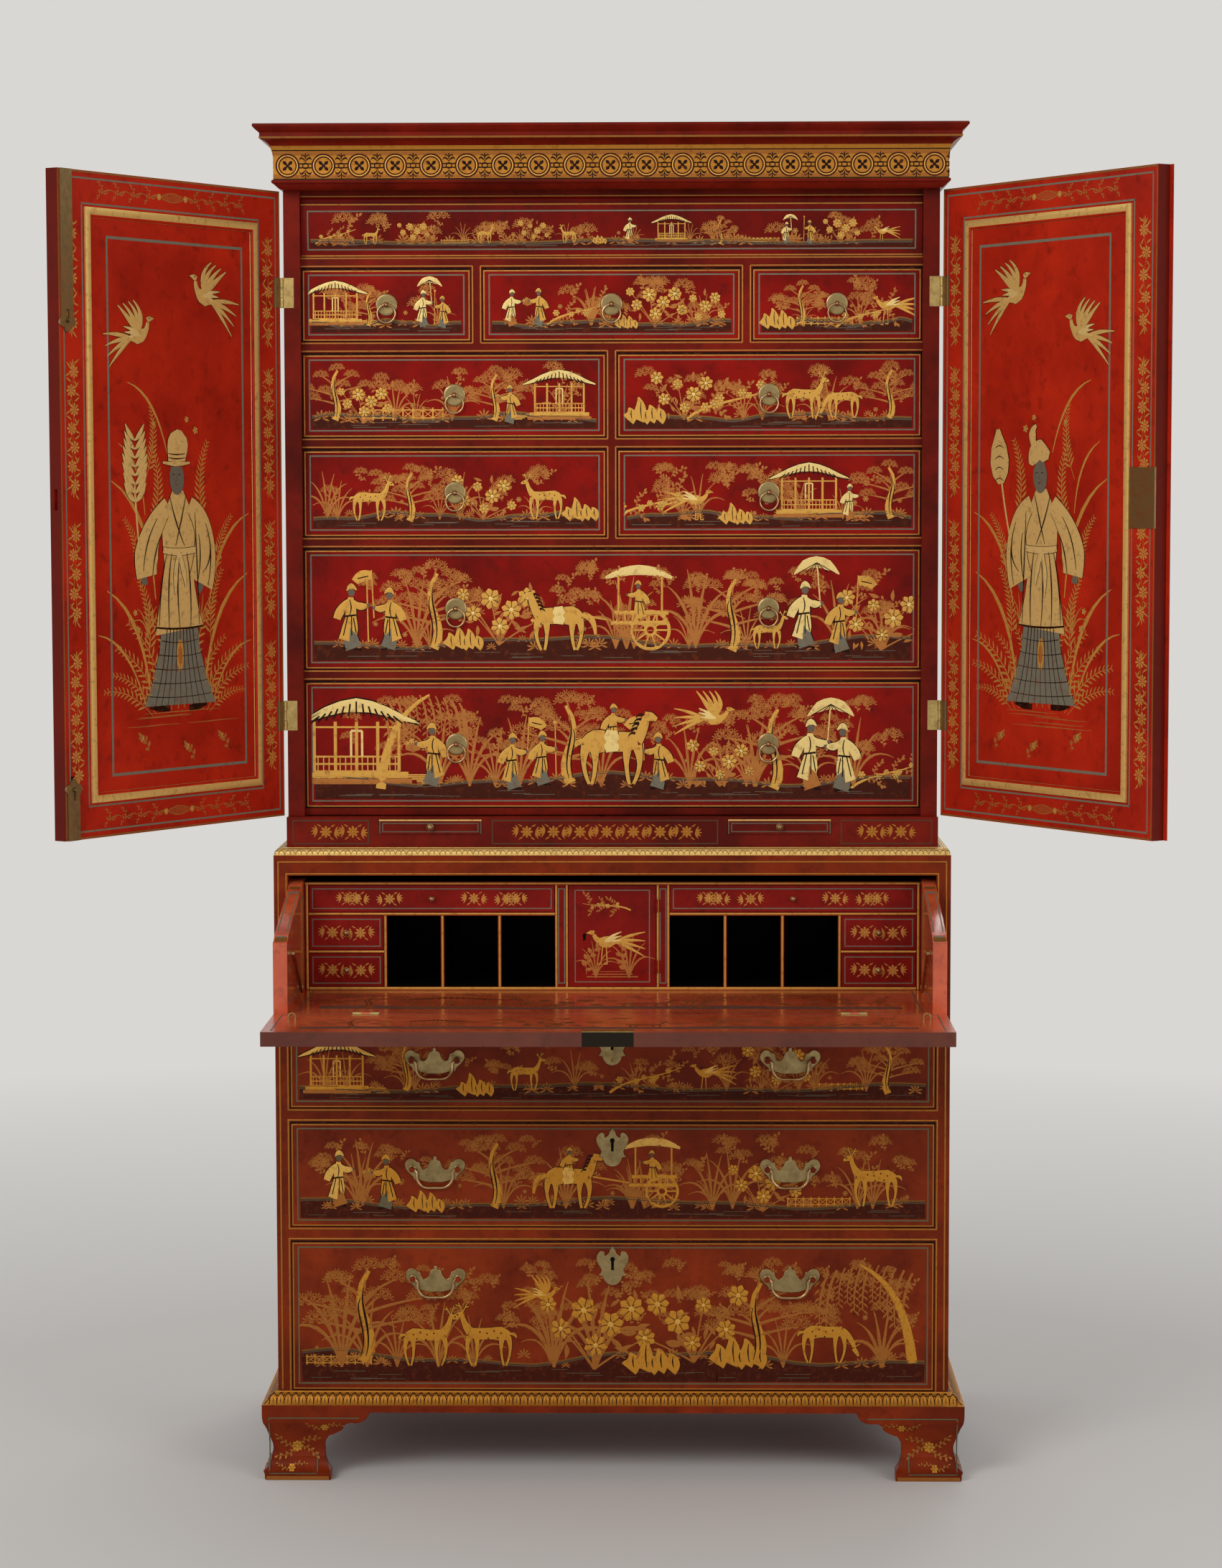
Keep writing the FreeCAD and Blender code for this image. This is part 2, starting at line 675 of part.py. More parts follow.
# Bracket feet: ogee boards mitred at the front corners, with a shaped inner edge
FOOT_SECTION_SHARES = (
    (1, 1),
    (1.0, 0.95, 0.93, 0.84),
    (0.62, 0.69, 0.43, 0.56),
    (0.33, 0.45, 0.44, 0.33),
    (0.58, 0.21, 0.93, 0.14),
    (0.86, 0.09),
    (0.8, 0),
)
FOOT_EDGE_SHARES = (
    (0.633, 0),
    (0.633, 0.145),
    (0.59, 0.25, 0.576, 0.41),
    (0.585, 0.55, 0.622, 0.64),
    (0.69, 0.68, 0.75, 0.74),
    (0.79, 0.83, 0.854, 0.84),
    (0.94, 0.87, 0.995, 0.975),
)
feet = []
for word, sign in (("left", -1), ("right", 1)):
    corner_x = f"{sign} * (lower_half + foot_reach)"
    inner_x = f"{sign} * (lower_half - foot_wall)"
    edge = shares(
        [tuple(-sign * s if i % 2 == 0 else s for i, s in enumerate(step)) for step in FOOT_EDGE_SHARES],
        "bracket_length", "foot_height", corner_x, "0",
    )
    far_x = f"{sign} * (lower_half + foot_reach - bracket_length - overrun)"
    edge += [(far_x, edge[-1][-1]), (far_x, "-overrun"), (edge[0][0], "-overrun")]
    # Front bracket
    section = shares(
        [tuple(-s if i % 2 == 0 else s for i, s in enumerate(step)) for step in FOOT_SECTION_SHARES],
        "foot_reach", "foot_height",
    )
    section += [("foot_wall", "0"), ("foot_wall", "foot_height")]
    near, far = sorted((corner_x, f"{sign} * (lower_half + foot_reach - bracket_length)"), key=number)
    bracket = padded(f"{word}_front_bracket", "YZ_Plane", [section], near, far)
    pocketed(bracket, "XZ_Plane", [edge], "-foot_reach - overrun", "foot_wall + overrun")
    mitre = [
        (f"{sign} * (lower_half - foot_wall)", "foot_wall"),
        (f"{sign} * (lower_half + foot_reach + overrun)", "-foot_reach - overrun"),
        (f"{sign} * (lower_half + foot_reach + overrun)", "foot_wall + overrun"),
        (f"{sign} * (lower_half - foot_wall)", "foot_wall + overrun"),
    ]
    feet.append(pocketed(bracket, "XY_Plane", [mitre], "-overrun", "foot_height + overrun"))
    # Side brackets, the front one mitred and the back one square
    section = shares(
        [tuple(sign * s if i % 2 == 0 else s for i, s in enumerate(step)) for step in FOOT_SECTION_SHARES],
        "foot_reach", "foot_height", f"{sign} * lower_half", "0",
    )
    section += [(inner_x, "0"), (inner_x, "foot_height")]
    for end, start, direction in (("front", "-foot_reach", 1), ("back", "lower_depth", -1)):
        stop = f"{start} + {direction} * bracket_length"
        near, far = sorted((start, stop), key=number)
        bracket = padded(f"{word}_{end}_side_bracket", "XZ_Plane", [section], near, far)
        turned = [
            tuple(direction * s if i % 2 == 0 else s for i, s in enumerate(step)) for step in FOOT_EDGE_SHARES
        ]
        edge = shares(turned, "bracket_length", "foot_height", start, "0")
        far_y = f"{stop} + {direction} * overrun"
        edge += [(far_y, edge[-1][-1]), (far_y, "-overrun"), (edge[0][0], "-overrun")]
        across = sorted((f"{sign} * (lower_half - foot_wall - overrun)",
                         f"{sign} * (lower_half + foot_reach + overrun)"), key=number)
        pocketed(bracket, "YZ_Plane", [edge], *across)
        if end == "front":
            mitre = [
                (f"{sign} * (lower_half - foot_wall)", "foot_wall"),
                (f"{sign} * (lower_half + foot_reach + overrun)", "-foot_reach - overrun"),
                (f"{sign} * (lower_half - foot_wall - overrun)", "-foot_reach - overrun"),
                (f"{sign} * (lower_half - foot_wall - overrun)", "foot_wall"),
            ]
            pocketed(bracket, "XY_Plane", [mitre], "-overrun", "foot_height + overrun")
        feet.append(bracket)
    # Glue blocks in the corners, which carry the weight
    block_x = flip(sign, ("lower_half - foot_wall - foot_block", "lower_half - foot_wall"))
    for end, block_y in (("front", ("foot_wall", "foot_wall + foot_block")),
                         ("back", ("lower_depth - foot_block", "lower_depth"))):
        feet.append(board(f"{word}_{end}_block", block_x, block_y, ("0", "foot_height")))
sub_part("bracket_feet", feet)

# Waist moulding, planted on the lower case round the foot of the upper one
WAIST_SHARES = (
    (0, 0),
    (1, 0),
    (1, 0.14),
    (0.93, 0.2),
    (0.8, 0.74, 0.26, 0.93),
    (0.24, 1),
    (0, 1),
)
sub_part(
    "waist_moulding",
    moulding("waist", WAIST_SHARES, "waist_reach", "waist_height", "lower_top", "upper_half", "plinth_front"),
)

# Candle plinth: the board in front of the upper case's foot, with two slots for the slides
slot_low = "slide_bottom - slide_gap"
slot_high = "slide_bottom + slide_height + slide_gap"
plinth_y = ("plinth_front", "upper_front")
plinth = [
    board("plinth_rail", ("-upper_half", "upper_half"), plinth_y, ("lower_top", slot_low)),
    board("plinth_cap", ("-upper_half", "upper_half"), plinth_y, (slot_high, "plinth_top")),
]
slot_half = "slide_width / 2 + slide_gap"
left_slot = (f"-left_slide_place - ({slot_half})", f"-left_slide_place + {slot_half}")
right_slot = (f"right_slide_place - ({slot_half})", f"right_slide_place + {slot_half}")
blocks = (("left", "-upper_half", left_slot[0]), ("middle", left_slot[1], right_slot[0]),
          ("right", right_slot[1], "upper_half"))
for name, low, high in blocks:
    plinth.append(board(f"plinth_{name}", (low, high), plinth_y, (slot_low, slot_high)))
# The bottom bolt of the left door drops into a socket through the cap and the middle block
socket_half = "bolt_width / 2 + bolt_gap"
socket_x = (f"-pin_x + bolt_centre - ({socket_half})", f"-pin_x + bolt_centre + {socket_half}")
socket_y = ("pin_y - door_face - bolt_depth - bolt_gap", "upper_front + overrun")
plinth_socket = board("bottom_bolt_socket", socket_x, socket_y,
                      ("plinth_top - bolt_travel - overrun", "plinth_top + overrun"))
plinth[1] = cut("plinth_cap_cut", plinth[1], [plinth_socket])
plinth[3] = cut("plinth_middle_cut", plinth[3], [plinth_socket])
# Bed and guides behind the slots
bed_y = ("upper_front", "upper_front + slide_length + runner_width")
plinth.append(
    board("slide_bed", ("-upper_opening_half", "upper_opening_half"), bed_y, ("lower_top", slot_low))
)
for name, slot in (("left", left_slot), ("right", right_slot)):
    for side, guide_x in (("outer", (f"{slot[0]} - slide_guide", slot[0])),
                          ("inner", (slot[1], f"{slot[1]} + slide_guide"))):
        plinth.append(board(f"{name}_{side}_guide", guide_x, bed_y, (slot_low, slot_high)))
sub_part("candle_plinth", plinth)


def knob(name, x, y, z, radius):
    """A turned knob on a thin neck, standing out from a front at y."""
    neck = rod(f"{name}_neck", "y", (x, f"{y} - knob_reach + {radius} / 2", z), "knob_neck",
               f"knob_reach - {radius} / 2")
    head = rod(f"{name}_head", "y", (x, f"{y} - knob_reach", z), radius, radius)
    return joined(name, [neck, head])


for word, place_x in (("left", "-left_slide_place"), ("right", "right_slide_place")):
    half = "slide_width / 2"
    face = "plinth_front + lower_recess"
    slide = [
        board(f"{word}_slide_front", (f"{place_x} - {half}", f"{place_x} + {half}"),
              (face, f"{face} + slide_front"), ("slide_bottom", "slide_bottom + slide_height")),
        board(f"{word}_slide_board", (f"{place_x} - {half}", f"{place_x} + {half}"),
              (f"{face} + slide_front", f"{face} + slide_length"),
              ("slide_bottom", "slide_bottom + slide_board")),
        knob(f"{word}_slide_knob", place_x, face, "slide_bottom + slide_height / 2", "slide_knob_radius"),
    ]
    sub_part(f"{word}_candle_slide", slide)


def hinge_half(name, direction, low, high, own, sizes, bored):
    """One leaf of a butt hinge with its share of the knuckles, about the Z axis.

    The leaf runs to +X or -X, between two levels along Y, and own says which
    knuckles are its own. A leaf that isn't bored carries the pin.
    """
    radius, height, leaf, start, count = sizes
    step = f"({height}) / {count}"
    pieces = [
        board(f"{name}_leaf", flip(direction, (start, f"{start} + {leaf}")), (low, high), ("0", height))
    ]
    for index in own:
        foot = f"{index} * {step} + knuckle_gap / 2"
        head = f"{index + 1} * {step} - knuckle_gap / 2"
        pieces.append(rod(f"{name}_knuckle_{index}", "z", ("0", "0", foot), radius, f"({head}) - ({foot})"))
        strap = flip(direction, ("0", f"{start} + knuckle_gap"))
        pieces.append(board(f"{name}_strap_{index}", strap, (low, high), (foot, head)))
    if not bored:
        pieces.append(rod(f"{name}_pin", "z", ("0", "0", "0"), "hinge_pin", height))
        return joined(name, pieces)
    return cut(f"{name}_bored", joined(name, pieces),
               [bore(f"{name}_bore", "z", ("0", "0", "-overrun"), "hinge_pin + hinge_pin_gap",
                     f"{height} + 2 * overrun")])


DOOR_HINGE = ("knuckle_radius", "hinge_height", "hinge_leaf", "pin_reach", 3)
hinge_levels = (("lower", "door_low + lower_hinge_place"), ("upper", "door_high - upper_hinge_place"))

# Upper case: sides, floor and top board, with recesses for the hinge leaves in the front edges
upper_boards = []
for word, sign in (("left", -1), ("right", 1)):
    side = board(f"{word}_upper_side", flip(sign, ("upper_opening_half", "upper_half")),
                 ("upper_front", "lower_depth"), ("lower_top", "case_head"))
    recesses = []
    for level_name, level in hinge_levels:
        recesses.append(board(
            f"{word}_{level_name}_recess",
            flip(sign, ("upper_half - hinge_leaf - knuckle_gap", "upper_half + overrun")),
            ("upper_front - overrun", "upper_front + leaf_thick"),
            (f"{level} - hinge_height / 2 - knuckle_gap", f"{level} + hinge_height / 2 + knuckle_gap"),
        ))
    upper_boards.append(cut(f"{word}_upper_side_cut", side, recesses))
upper_inside = ("-upper_opening_half", "upper_opening_half")
upper_boards.append(
    board("upper_floor", upper_inside, ("rail_front", "inside_back"), ("plinth_top", "long_lower_bottom"))
)
upper_boards.append(
    board("upper_top", upper_inside, ("rail_front", "inside_back"),
          ("cushion_top", "cushion_top + top_board_thick"))
)
sub_part("upper_carcase", upper_boards)

# Rails, runners and dividers of the upper drawers, set back so that the doors' brass clears them
upper_rails = []
rail_levels = (
    ("long", "long_lower_top", ()),
    ("pair_floor", "long_upper_top", ("0",)),
    ("pair_middle", "pair_lower_top", ("0",)),
    ("trio_floor", "pair_upper_top", ("-trio_divider_place", "trio_divider_place")),
    ("cushion_floor", "trio_top", ()),
)
for name, low, supports in rail_levels:
    level = (low, f"{low} + upper_rail")
    upper_rails.append(board(f"{name}_rail", upper_inside, ("rail_front", "rail_front + rail_depth"), level))
    upper_rails += mirrored_boards(
        f"{name}_runner",
        ("upper_opening_half - runner_width", "upper_opening_half"),
        ("rail_front + rail_depth", "inside_back"),
        level,
    )
    for index, middle in enumerate(supports):
        upper_rails.append(board(
            f"{name}_centre_runner_{index + 1}",
            (f"{middle} - runner_width", f"{middle} + runner_width"),
            ("rail_front + rail_depth", "inside_back"),
            level,
        ))
divider_levels = (
    ("pair_lower_bottom", "pair_lower_top", ("0",)),
    ("pair_upper_bottom", "pair_upper_top", ("0",)),
    ("trio_bottom", "trio_top", ("-trio_divider_place", "trio_divider_place")),
)
for low, high, middles in divider_levels:
    for index, middle in enumerate(middles):
        upper_rails.append(board(
            f"{low}_divider_{index + 1}",
            (f"{middle} - divider_thick / 2", f"{middle} + divider_thick / 2"),
            ("rail_front", "inside_back"),
            (low, high),
        ))
sub_part("upper_drawer_rails", upper_rails)

# Cornice: moulding round a frieze board, with a dust board over the case
CORNICE_SHARES = (
    (0, 0),
    (0.03, 0),
    (0.13, 0.031, 0.232, 0.075),
    (0.263, 0.087),
    (0.343, 0.117, 0.263, 0.147),
    (0.263, 0.48),
    (0.36, 0.66, 0.68, 0.763),
    (0.745, 0.776),
    (0.745, 0.866),
    (0.86, 0.9, 1, 0.96),
    (1, 0.98),
    (0.975, 0.995, 0.91, 1),
    (0, 1),
)
cornice = moulding("cornice", CORNICE_SHARES, "cornice_reach", "cornice_height", "cornice_bottom",
                   "upper_half", "plinth_front")
frieze = board("frieze_board", ("-upper_half", "upper_half"), ("plinth_front", "upper_front"),
               ("cornice_bottom", "case_head"))
socket = board("top_bolt_socket", socket_x, socket_y,
               ("cornice_bottom - overrun", "cornice_bottom + bolt_travel + overrun"))
cornice.append(cut("frieze_board_cut", frieze, [socket]))
cornice.append(
    board("dust_top", upper_inside, ("upper_front", "lower_depth"), ("case_head - dust_board", "case_head"))
)
sub_part("cornice", cornice)

# Hinge leaves let into the front edges of the upper case
case_leaves = []
for word, sign in (("left", 1), ("right", -1)):
    for level_name, level in hinge_levels:
        half = hinge_half(f"{word}_{level_name}_case_leaf", sign, "door_face", "door_face + leaf_thick",
                          (0, 2), DOOR_HINGE, False)
        case_leaves.append(place(half, f"{-sign} * pin_x", "pin_y", f"{level} - hinge_height / 2"))
sub_part("case_hinge_leaves", case_leaves)

# Doors: framed and panelled, drawn closed with the hinge pin at x = 0, y = 0
BOLT_SHARES = (
    (0, 0),
    (0.2, 0.05, 0.3, 0.17),
    (0.6, 0.2, 0.64, 0.36),
    (0.5, 0.5),
    (0.5, 1),
)


def bolt_plate(name, low, high, slot_low, slot_high, upright):
    """A long brass plate with a lobed end and a slot for the bolt's knob."""
    foot, head = (high, f"{high} - 2 * bolt_plate_width")
    if upright:
        foot, head = (low, f"{low} + 2 * bolt_plate_width")
    middle = "bolt_centre"
    half = shares(BOLT_SHARES, "bolt_plate_width", f"(({head}) - ({foot}))", middle, foot)
    half = half[:-1] + [(f"{middle} + bolt_plate_width / 2", high if upright else low)]
    steps = mirrored_outline(half, middle)
    plate = padded(name, "XZ_Plane", [steps], "-door_face", "-door_face + bolt_plate_thick")
    side = "bolt_knob_radius + bolt_gap"
    slot = [
        (f"{middle} - ({side})", slot_low),
        (f"{middle} + {side}", slot_low),
        (f"{middle} + {side}", slot_high),
        (f"{middle} - ({side})", slot_high),
    ]
    reach = ("-door_face - overrun", "-door_face + bolt_plate_thick + overrun")
    return pocketed(plate, "XZ_Plane", [slot], *reach)


def door_frame(word, sign, cuts):
    """Two stiles and two rails, with what is let into them cut out."""
    depth = ("-door_face - door_thick", "-door_face")
    upright = ("door_low", "door_high")
    hinge_stile = board(f"{word}_hinge_stile", flip(sign, ("door_near", "panel_near")), depth, upright)
    recesses = [
        board(f"{word}_{name}_leaf_recess",
              flip(sign, ("door_near - overrun", "door_near + hinge_leaf + knuckle_gap")),
              ("-door_face - leaf_thick", "overrun"),
              (f"{level} - hinge_height / 2 - knuckle_gap", f"{level} + hinge_height / 2 + knuckle_gap"))
        for name, level in hinge_levels
    ]
    meeting = board(f"{word}_meeting_stile", flip(sign, ("panel_far", "door_far")), depth, upright)
    across = flip(sign, ("panel_near", "panel_far"))
    return [
        cut(f"{word}_hinge_stile_cut", hinge_stile, recesses),
        cut(f"{word}_meeting_stile_cut", meeting, cuts),
        board(f"{word}_bottom_rail", across, depth, ("door_low", "panel_low")),
        board(f"{word}_top_rail", across, depth, ("panel_high", "door_high")),
    ]


ROUND_SHARE = 0.9


def door_panel(word, sign):
    """A panel with a rounded border standing up from it on the inner face."""
    near, far = flip(sign, ("panel_near", "panel_far"))

    def rectangle(inset):
        return [(f"{near} + {inset}", f"panel_low + {inset}"), (f"{far} - {inset}", f"panel_low + {inset}"),
                (f"{far} - {inset}", f"panel_high - {inset}"), (f"{near} + {inset}", f"panel_high - {inset}")]

    back_face = "-door_face - door_thick + panel_setback"
    slab_face = f"{back_face} + panel_thick"
    crown = number(f"{slab_face} + panel_bead_height")
    panel = padded(f"{word}_panel", "XZ_Plane", [rectangle("0")], back_face, slab_face)
    raised = sketch_on(panel, "XZ_Plane", slab_face)
    draw(raised, rectangle("0"))
    pad = panel.newObject("PartDesign::Pad", f"{word}_panel_border")
    pad.Profile = raised
    pad.Reversed = True
    pad.setExpression("Length", tie("panel_bead_height"))
    field = (f"{slab_face} + panel_bead_height - panel_field_drop", f"{slab_face} + panel_bead_height + overrun")
    pocketed(panel, "XZ_Plane", [rectangle("panel_bead")], *field)

    def on_crown(edge):
        return all(abs(vertex.Point.y - crown) < 1e-6 for vertex in edge.Vertexes)

    return rounded(panel, f"min(panel_round; panel_field_drop * {ROUND_SHARE})", on_crown)


bolt_y = ("-door_face - bolt_depth", "-door_face")
bolt_x = ("bolt_centre - bolt_width / 2", "bolt_centre + bolt_width / 2")
groove_x = (f"{bolt_x[0]} - bolt_gap", f"{bolt_x[1]} + bolt_gap")
groove_y = (f"{bolt_y[0]} - bolt_gap", "overrun")
top_rod = ("door_high - door_clearance - top_bolt_rod", "door_high - door_clearance")
bottom_rod = ("door_low + door_clearance", "door_low + door_clearance + bottom_bolt_rod")
left_cuts = [
    board("top_bolt_groove", groove_x, groove_y, (f"{top_rod[0]} - bolt_gap", "door_high + overrun")),
    board("bottom_bolt_groove", groove_x, groove_y,
          ("door_low - overrun", f"{bottom_rod[1]} + bolt_travel + bolt_gap")),
    board("lock_keeper", ("door_far - keeper_depth", "door_far + overrun"),
          ("-door_face - (door_thick + keeper_width) / 2", "-door_face - (door_thick - keeper_width) / 2"),
          ("lock_middle - keeper_height / 2", "lock_middle + keeper_height / 2")),
]
left_door = ("-pin_x", "pin_y", "0", "-door_open")
right_door = ("pin_x", "pin_y", "0", "door_open")
sub_part("left_door_frame", door_frame("left", 1, left_cuts), *left_door)
sub_part("left_door_panel", [door_panel("left", 1)], *left_door)


def door_leaves(word, sign):
    """The hinge leaves let into a door's inner face."""
    leaves = []
    for name, level in hinge_levels:
        half = hinge_half(f"{word}_{name}_door_leaf", sign, "-door_face - leaf_thick", "-door_face", (1,),
                          DOOR_HINGE, True)
        leaves.append(place(half, "0", "0", f"{level} - hinge_height / 2"))
    return leaves


top_slot = (f"{top_rod[0]} + bolt_slot - bolt_knob_radius - bolt_gap",
            f"{top_rod[0]} + bolt_slot + bolt_knob_radius + bolt_travel + bolt_gap")
bottom_slot = (f"{bottom_rod[1]} - bolt_slot - bolt_knob_radius - bolt_travel - bolt_gap",
               f"{bottom_rod[1]} - bolt_slot + bolt_knob_radius + bolt_gap")
left_brass = door_leaves("left", 1) + [
    bolt_plate("top_bolt_plate_piece", "door_high - top_bolt_plate", "door_high", *top_slot, True),
    bolt_plate("bottom_bolt_plate_piece", "door_low", "door_low + bottom_bolt_plate", *bottom_slot, False),
]
sub_part("left_door_brass", left_brass, *left_door)

# Bolts: square rods in grooves behind their plates, each moved by a knob through the slot
for name, rod_z, knob_z in (("top_bolt", top_rod, f"{top_rod[0]} + bolt_slot"),
                            ("bottom_bolt", bottom_rod, f"{bottom_rod[1]} - bolt_slot")):
    stem = rod(f"{name}_stem", "y", ("bolt_centre", "-door_face - bolt_depth / 2", knob_z),
               "bolt_knob_radius", "bolt_depth / 2 + bolt_plate_thick + bolt_knob_reach")
    sub_part(name, [joined(f"{name}_rod", [board(f"{name}_bar", bolt_x, bolt_y, rod_z), stem])], *left_door)

# Right door, with the lock and the bead that covers the meeting of the doors
lock_z = ("lock_middle - lock_height / 2", "lock_middle + lock_height / 2")
lock_cut = board("lock_mortise", flip(-1, ("door_far - lock_width", "door_far + overrun")),
                 ("-door_face - leaf_thick", "overrun"), lock_z)
right_frame = door_frame("right", -1, [lock_cut])
outer = "-door_face - door_thick"
bead = [
    ("-door_far + astragal_width / 2", outer),
    ("-door_far", outer),
    ("-door_far", f"{outer} - astragal_gap"),
    ("-door_far - astragal_width / 2", f"{outer} - astragal_gap"),
    ("-door_far", f"{outer} - astragal_thick", "-door_far + astragal_width / 2", f"{outer} - astragal_gap"),
]
right_frame.append(padded("astragal", "XY_Plane", [bead], "door_low", "door_high"))
sub_part("right_door_frame", right_frame, *right_door)
sub_part("right_door_panel", [door_panel("right", -1)], *right_door)
lock_face = board("lock_cover", flip(-1, ("door_far - lock_width + knuckle_gap", "door_far")),
                  ("-door_face - leaf_thick + knuckle_gap", "-door_face - leaf_thick + lock_plate"),
                  (f"{lock_z[0]} + knuckle_gap", f"{lock_z[1]} - knuckle_gap"))
sub_part("right_door_brass", door_leaves("right", -1) + [lock_face], *right_door)


def drawer_box(name, x, front, back, z, thick, side, bottom, drop, face=None):
    """A drawer: front, two sides, back and bottom."""
    inside = (f"{x[0]} + {side}", f"{x[1]} - {side}")
    behind = f"{front} + {thick}"
    low, high = z
    walls = (low, f"{high} - {drop}")
    front_board = face or board(f"{name}_front", x, (front, behind), z)
    return [
        front_board,
        board(f"{name}_left", (x[0], inside[0]), (behind, back), walls),
        board(f"{name}_right", (inside[1], x[1]), (behind, back), walls),
        board(f"{name}_back", inside, (f"{back} - {side}", back), walls),
        board(f"{name}_bottom", inside, (behind, f"{back} - {side}"), (low, f"{low} + {bottom}")),
    ]


def ring_pull(name, x, front, z):
    """The fixed half of a ring pull: a round plate and an eyed post."""
    plate = rod(f"{name}_plate", "y", (x, f"{front} - plate_thick", z), "ring_plate / 2", "plate_thick", 12)
    shank = rod(f"{name}_shank", "y", (x, f"{front} - ring_post_reach + ring_hole", z), "ring_shank",
                "ring_post_reach - ring_hole - plate_thick")
    ball = rod(f"{name}_ball", "y", (x, f"{front} - ring_post_reach - ring_ball", z), "ring_ball",
               "2 * ring_ball")
    hole = bore(f"{name}_hole", "x", (f"{x} - overrun", f"{front} - ring_post_reach", z), "ring_hole",
                "2 * overrun")
    post = cut(f"{name}_post", joined(f"{name}_post_blank", [shank, ball]), [hole])
    return [plate, post]


RING_SIDES = 12


def ring(name, x, front, z):
    """A ring that hangs from the post's eye by one of its many short sides."""
    path = doc.addObject("Part::RegularPolygon", f"{name}_path")
    path.Polygon = RING_SIDES
    path.setExpression("Circumradius", tie("ring_radius"))
    section = doc.addObject("Part::RegularPolygon", f"{name}_section")
    section.Polygon = 6
    section.setExpression("Circumradius", tie("ring_wire"))
    section.Placement = FreeCAD.Placement(V(), FreeCAD.Rotation(V(1, 0, 0), 90))
    section.setExpression("Placement.Base.x", tie("ring_radius"))
    sweep = doc.addObject("Part::Sweep", name)
    sweep.Sections = [section]
    sweep.Spine = (path, [])
    sweep.Solid = True
    sweep.Transition = "Right corner"
    upright = FreeCAD.Rotation(V(1, 0, 0), 90)
    sweep.Placement = FreeCAD.Placement(V(), upright.multiply(FreeCAD.Rotation(V(0, 0, 1), 180 / RING_SIDES)))
    return place(sweep, x, f"{front} - ring_post_reach", f"{z} - ring_radius * cos(180 / {RING_SIDES})")


# Upper drawers: (name, low X, high X, row, ring places)
gap = "drawer_gap"
wall = "upper_opening_half - drawer_gap"
left_wall = "drawer_gap - upper_opening_half"
upper_drawers = (
    ("long_lower_drawer", left_wall, wall, "long_lower", ("-pair_ring_place", "pair_ring_place")),
    ("long_upper_drawer", left_wall, wall, "long_upper", ("-pair_ring_place", "pair_ring_place")),
    ("pair_lower_left_drawer", left_wall, "-divider_thick / 2 - drawer_gap", "pair_lower",
     ("-pair_ring_place",)),
    ("pair_lower_right_drawer", "divider_thick / 2 + drawer_gap", wall, "pair_lower", ("pair_ring_place",)),
    ("pair_upper_left_drawer", left_wall, "-divider_thick / 2 - drawer_gap", "pair_upper",
     ("-pair_ring_place",)),
    ("pair_upper_right_drawer", "divider_thick / 2 + drawer_gap", wall, "pair_upper", ("pair_ring_place",)),
    ("trio_left_drawer", left_wall, "-trio_divider_place - divider_thick / 2 - drawer_gap",
     "trio", ("-trio_ring_place",)),
    ("trio_middle_drawer", "-trio_divider_place + divider_thick / 2 + drawer_gap",
     "trio_divider_place - divider_thick / 2 - drawer_gap", "trio", ("0",)),
    ("trio_right_drawer", "trio_divider_place + divider_thick / 2 + drawer_gap", wall,
     "trio", ("trio_ring_place",)),
)
front = "upper_drawer_front"
back = f"{front} + upper_drawer_length"
for name, low_x, high_x, level, rings in upper_drawers:
    low = f"{level}_bottom + {gap}"
    high = f"{level}_top - {gap}"
    pieces = drawer_box(name, (low_x, high_x), front, back, (low, high), "front_thick", "drawer_side",
                        "drawer_bottom", "drawer_side_drop")
    middle = f"({level}_bottom + {level}_top) / 2"
    loops = []
    for index, x in enumerate(rings):
        pieces += ring_pull(f"{name}_pull_{index + 1}", x, front, middle)
        loops.append(ring(f"{name}_ring_{index + 1}", x, front, middle))
    sub_part(name, pieces)
    sub_part(name.replace("_drawer", "_ring" if len(rings) == 1 else "_rings"), loops)

# The top drawer has a cushion-moulded front under a hollow band, and no pulls
low, high = f"cushion_bottom + {gap}", f"cushion_top - {gap}"
cushion_x = (left_wall, wall)
BELLY_SHARE = 0.95
BAND_SHARE = 0.3
BEVEL_SHARE = 0.35
band_face = f"{front} - {BAND_SHARE} * cushion_rise"
cushion_face = [
    (f"{front} + front_thick", low),
    (front, low),
    (f"{front} - {BELLY_SHARE} * cushion_rise", f"({low} + {high} - cushion_band) / 2",
     f"{front} - cushion_rise", f"{high} - cushion_band"),
    (band_face, f"{high} - cushion_band"),
    (band_face, f"{high} - {BEVEL_SHARE} * cushion_band"),
    (front, high),
    (f"{front} + front_thick", high),
]
cushion_front = padded("cushion_front", "YZ_Plane", [cushion_face], *cushion_x)
sub_part("cushion_drawer", drawer_box("cushion_drawer", cushion_x, front, back, (low, high), "front_thick",
                                      "drawer_side", "drawer_bottom", "drawer_side_drop", cushion_front))

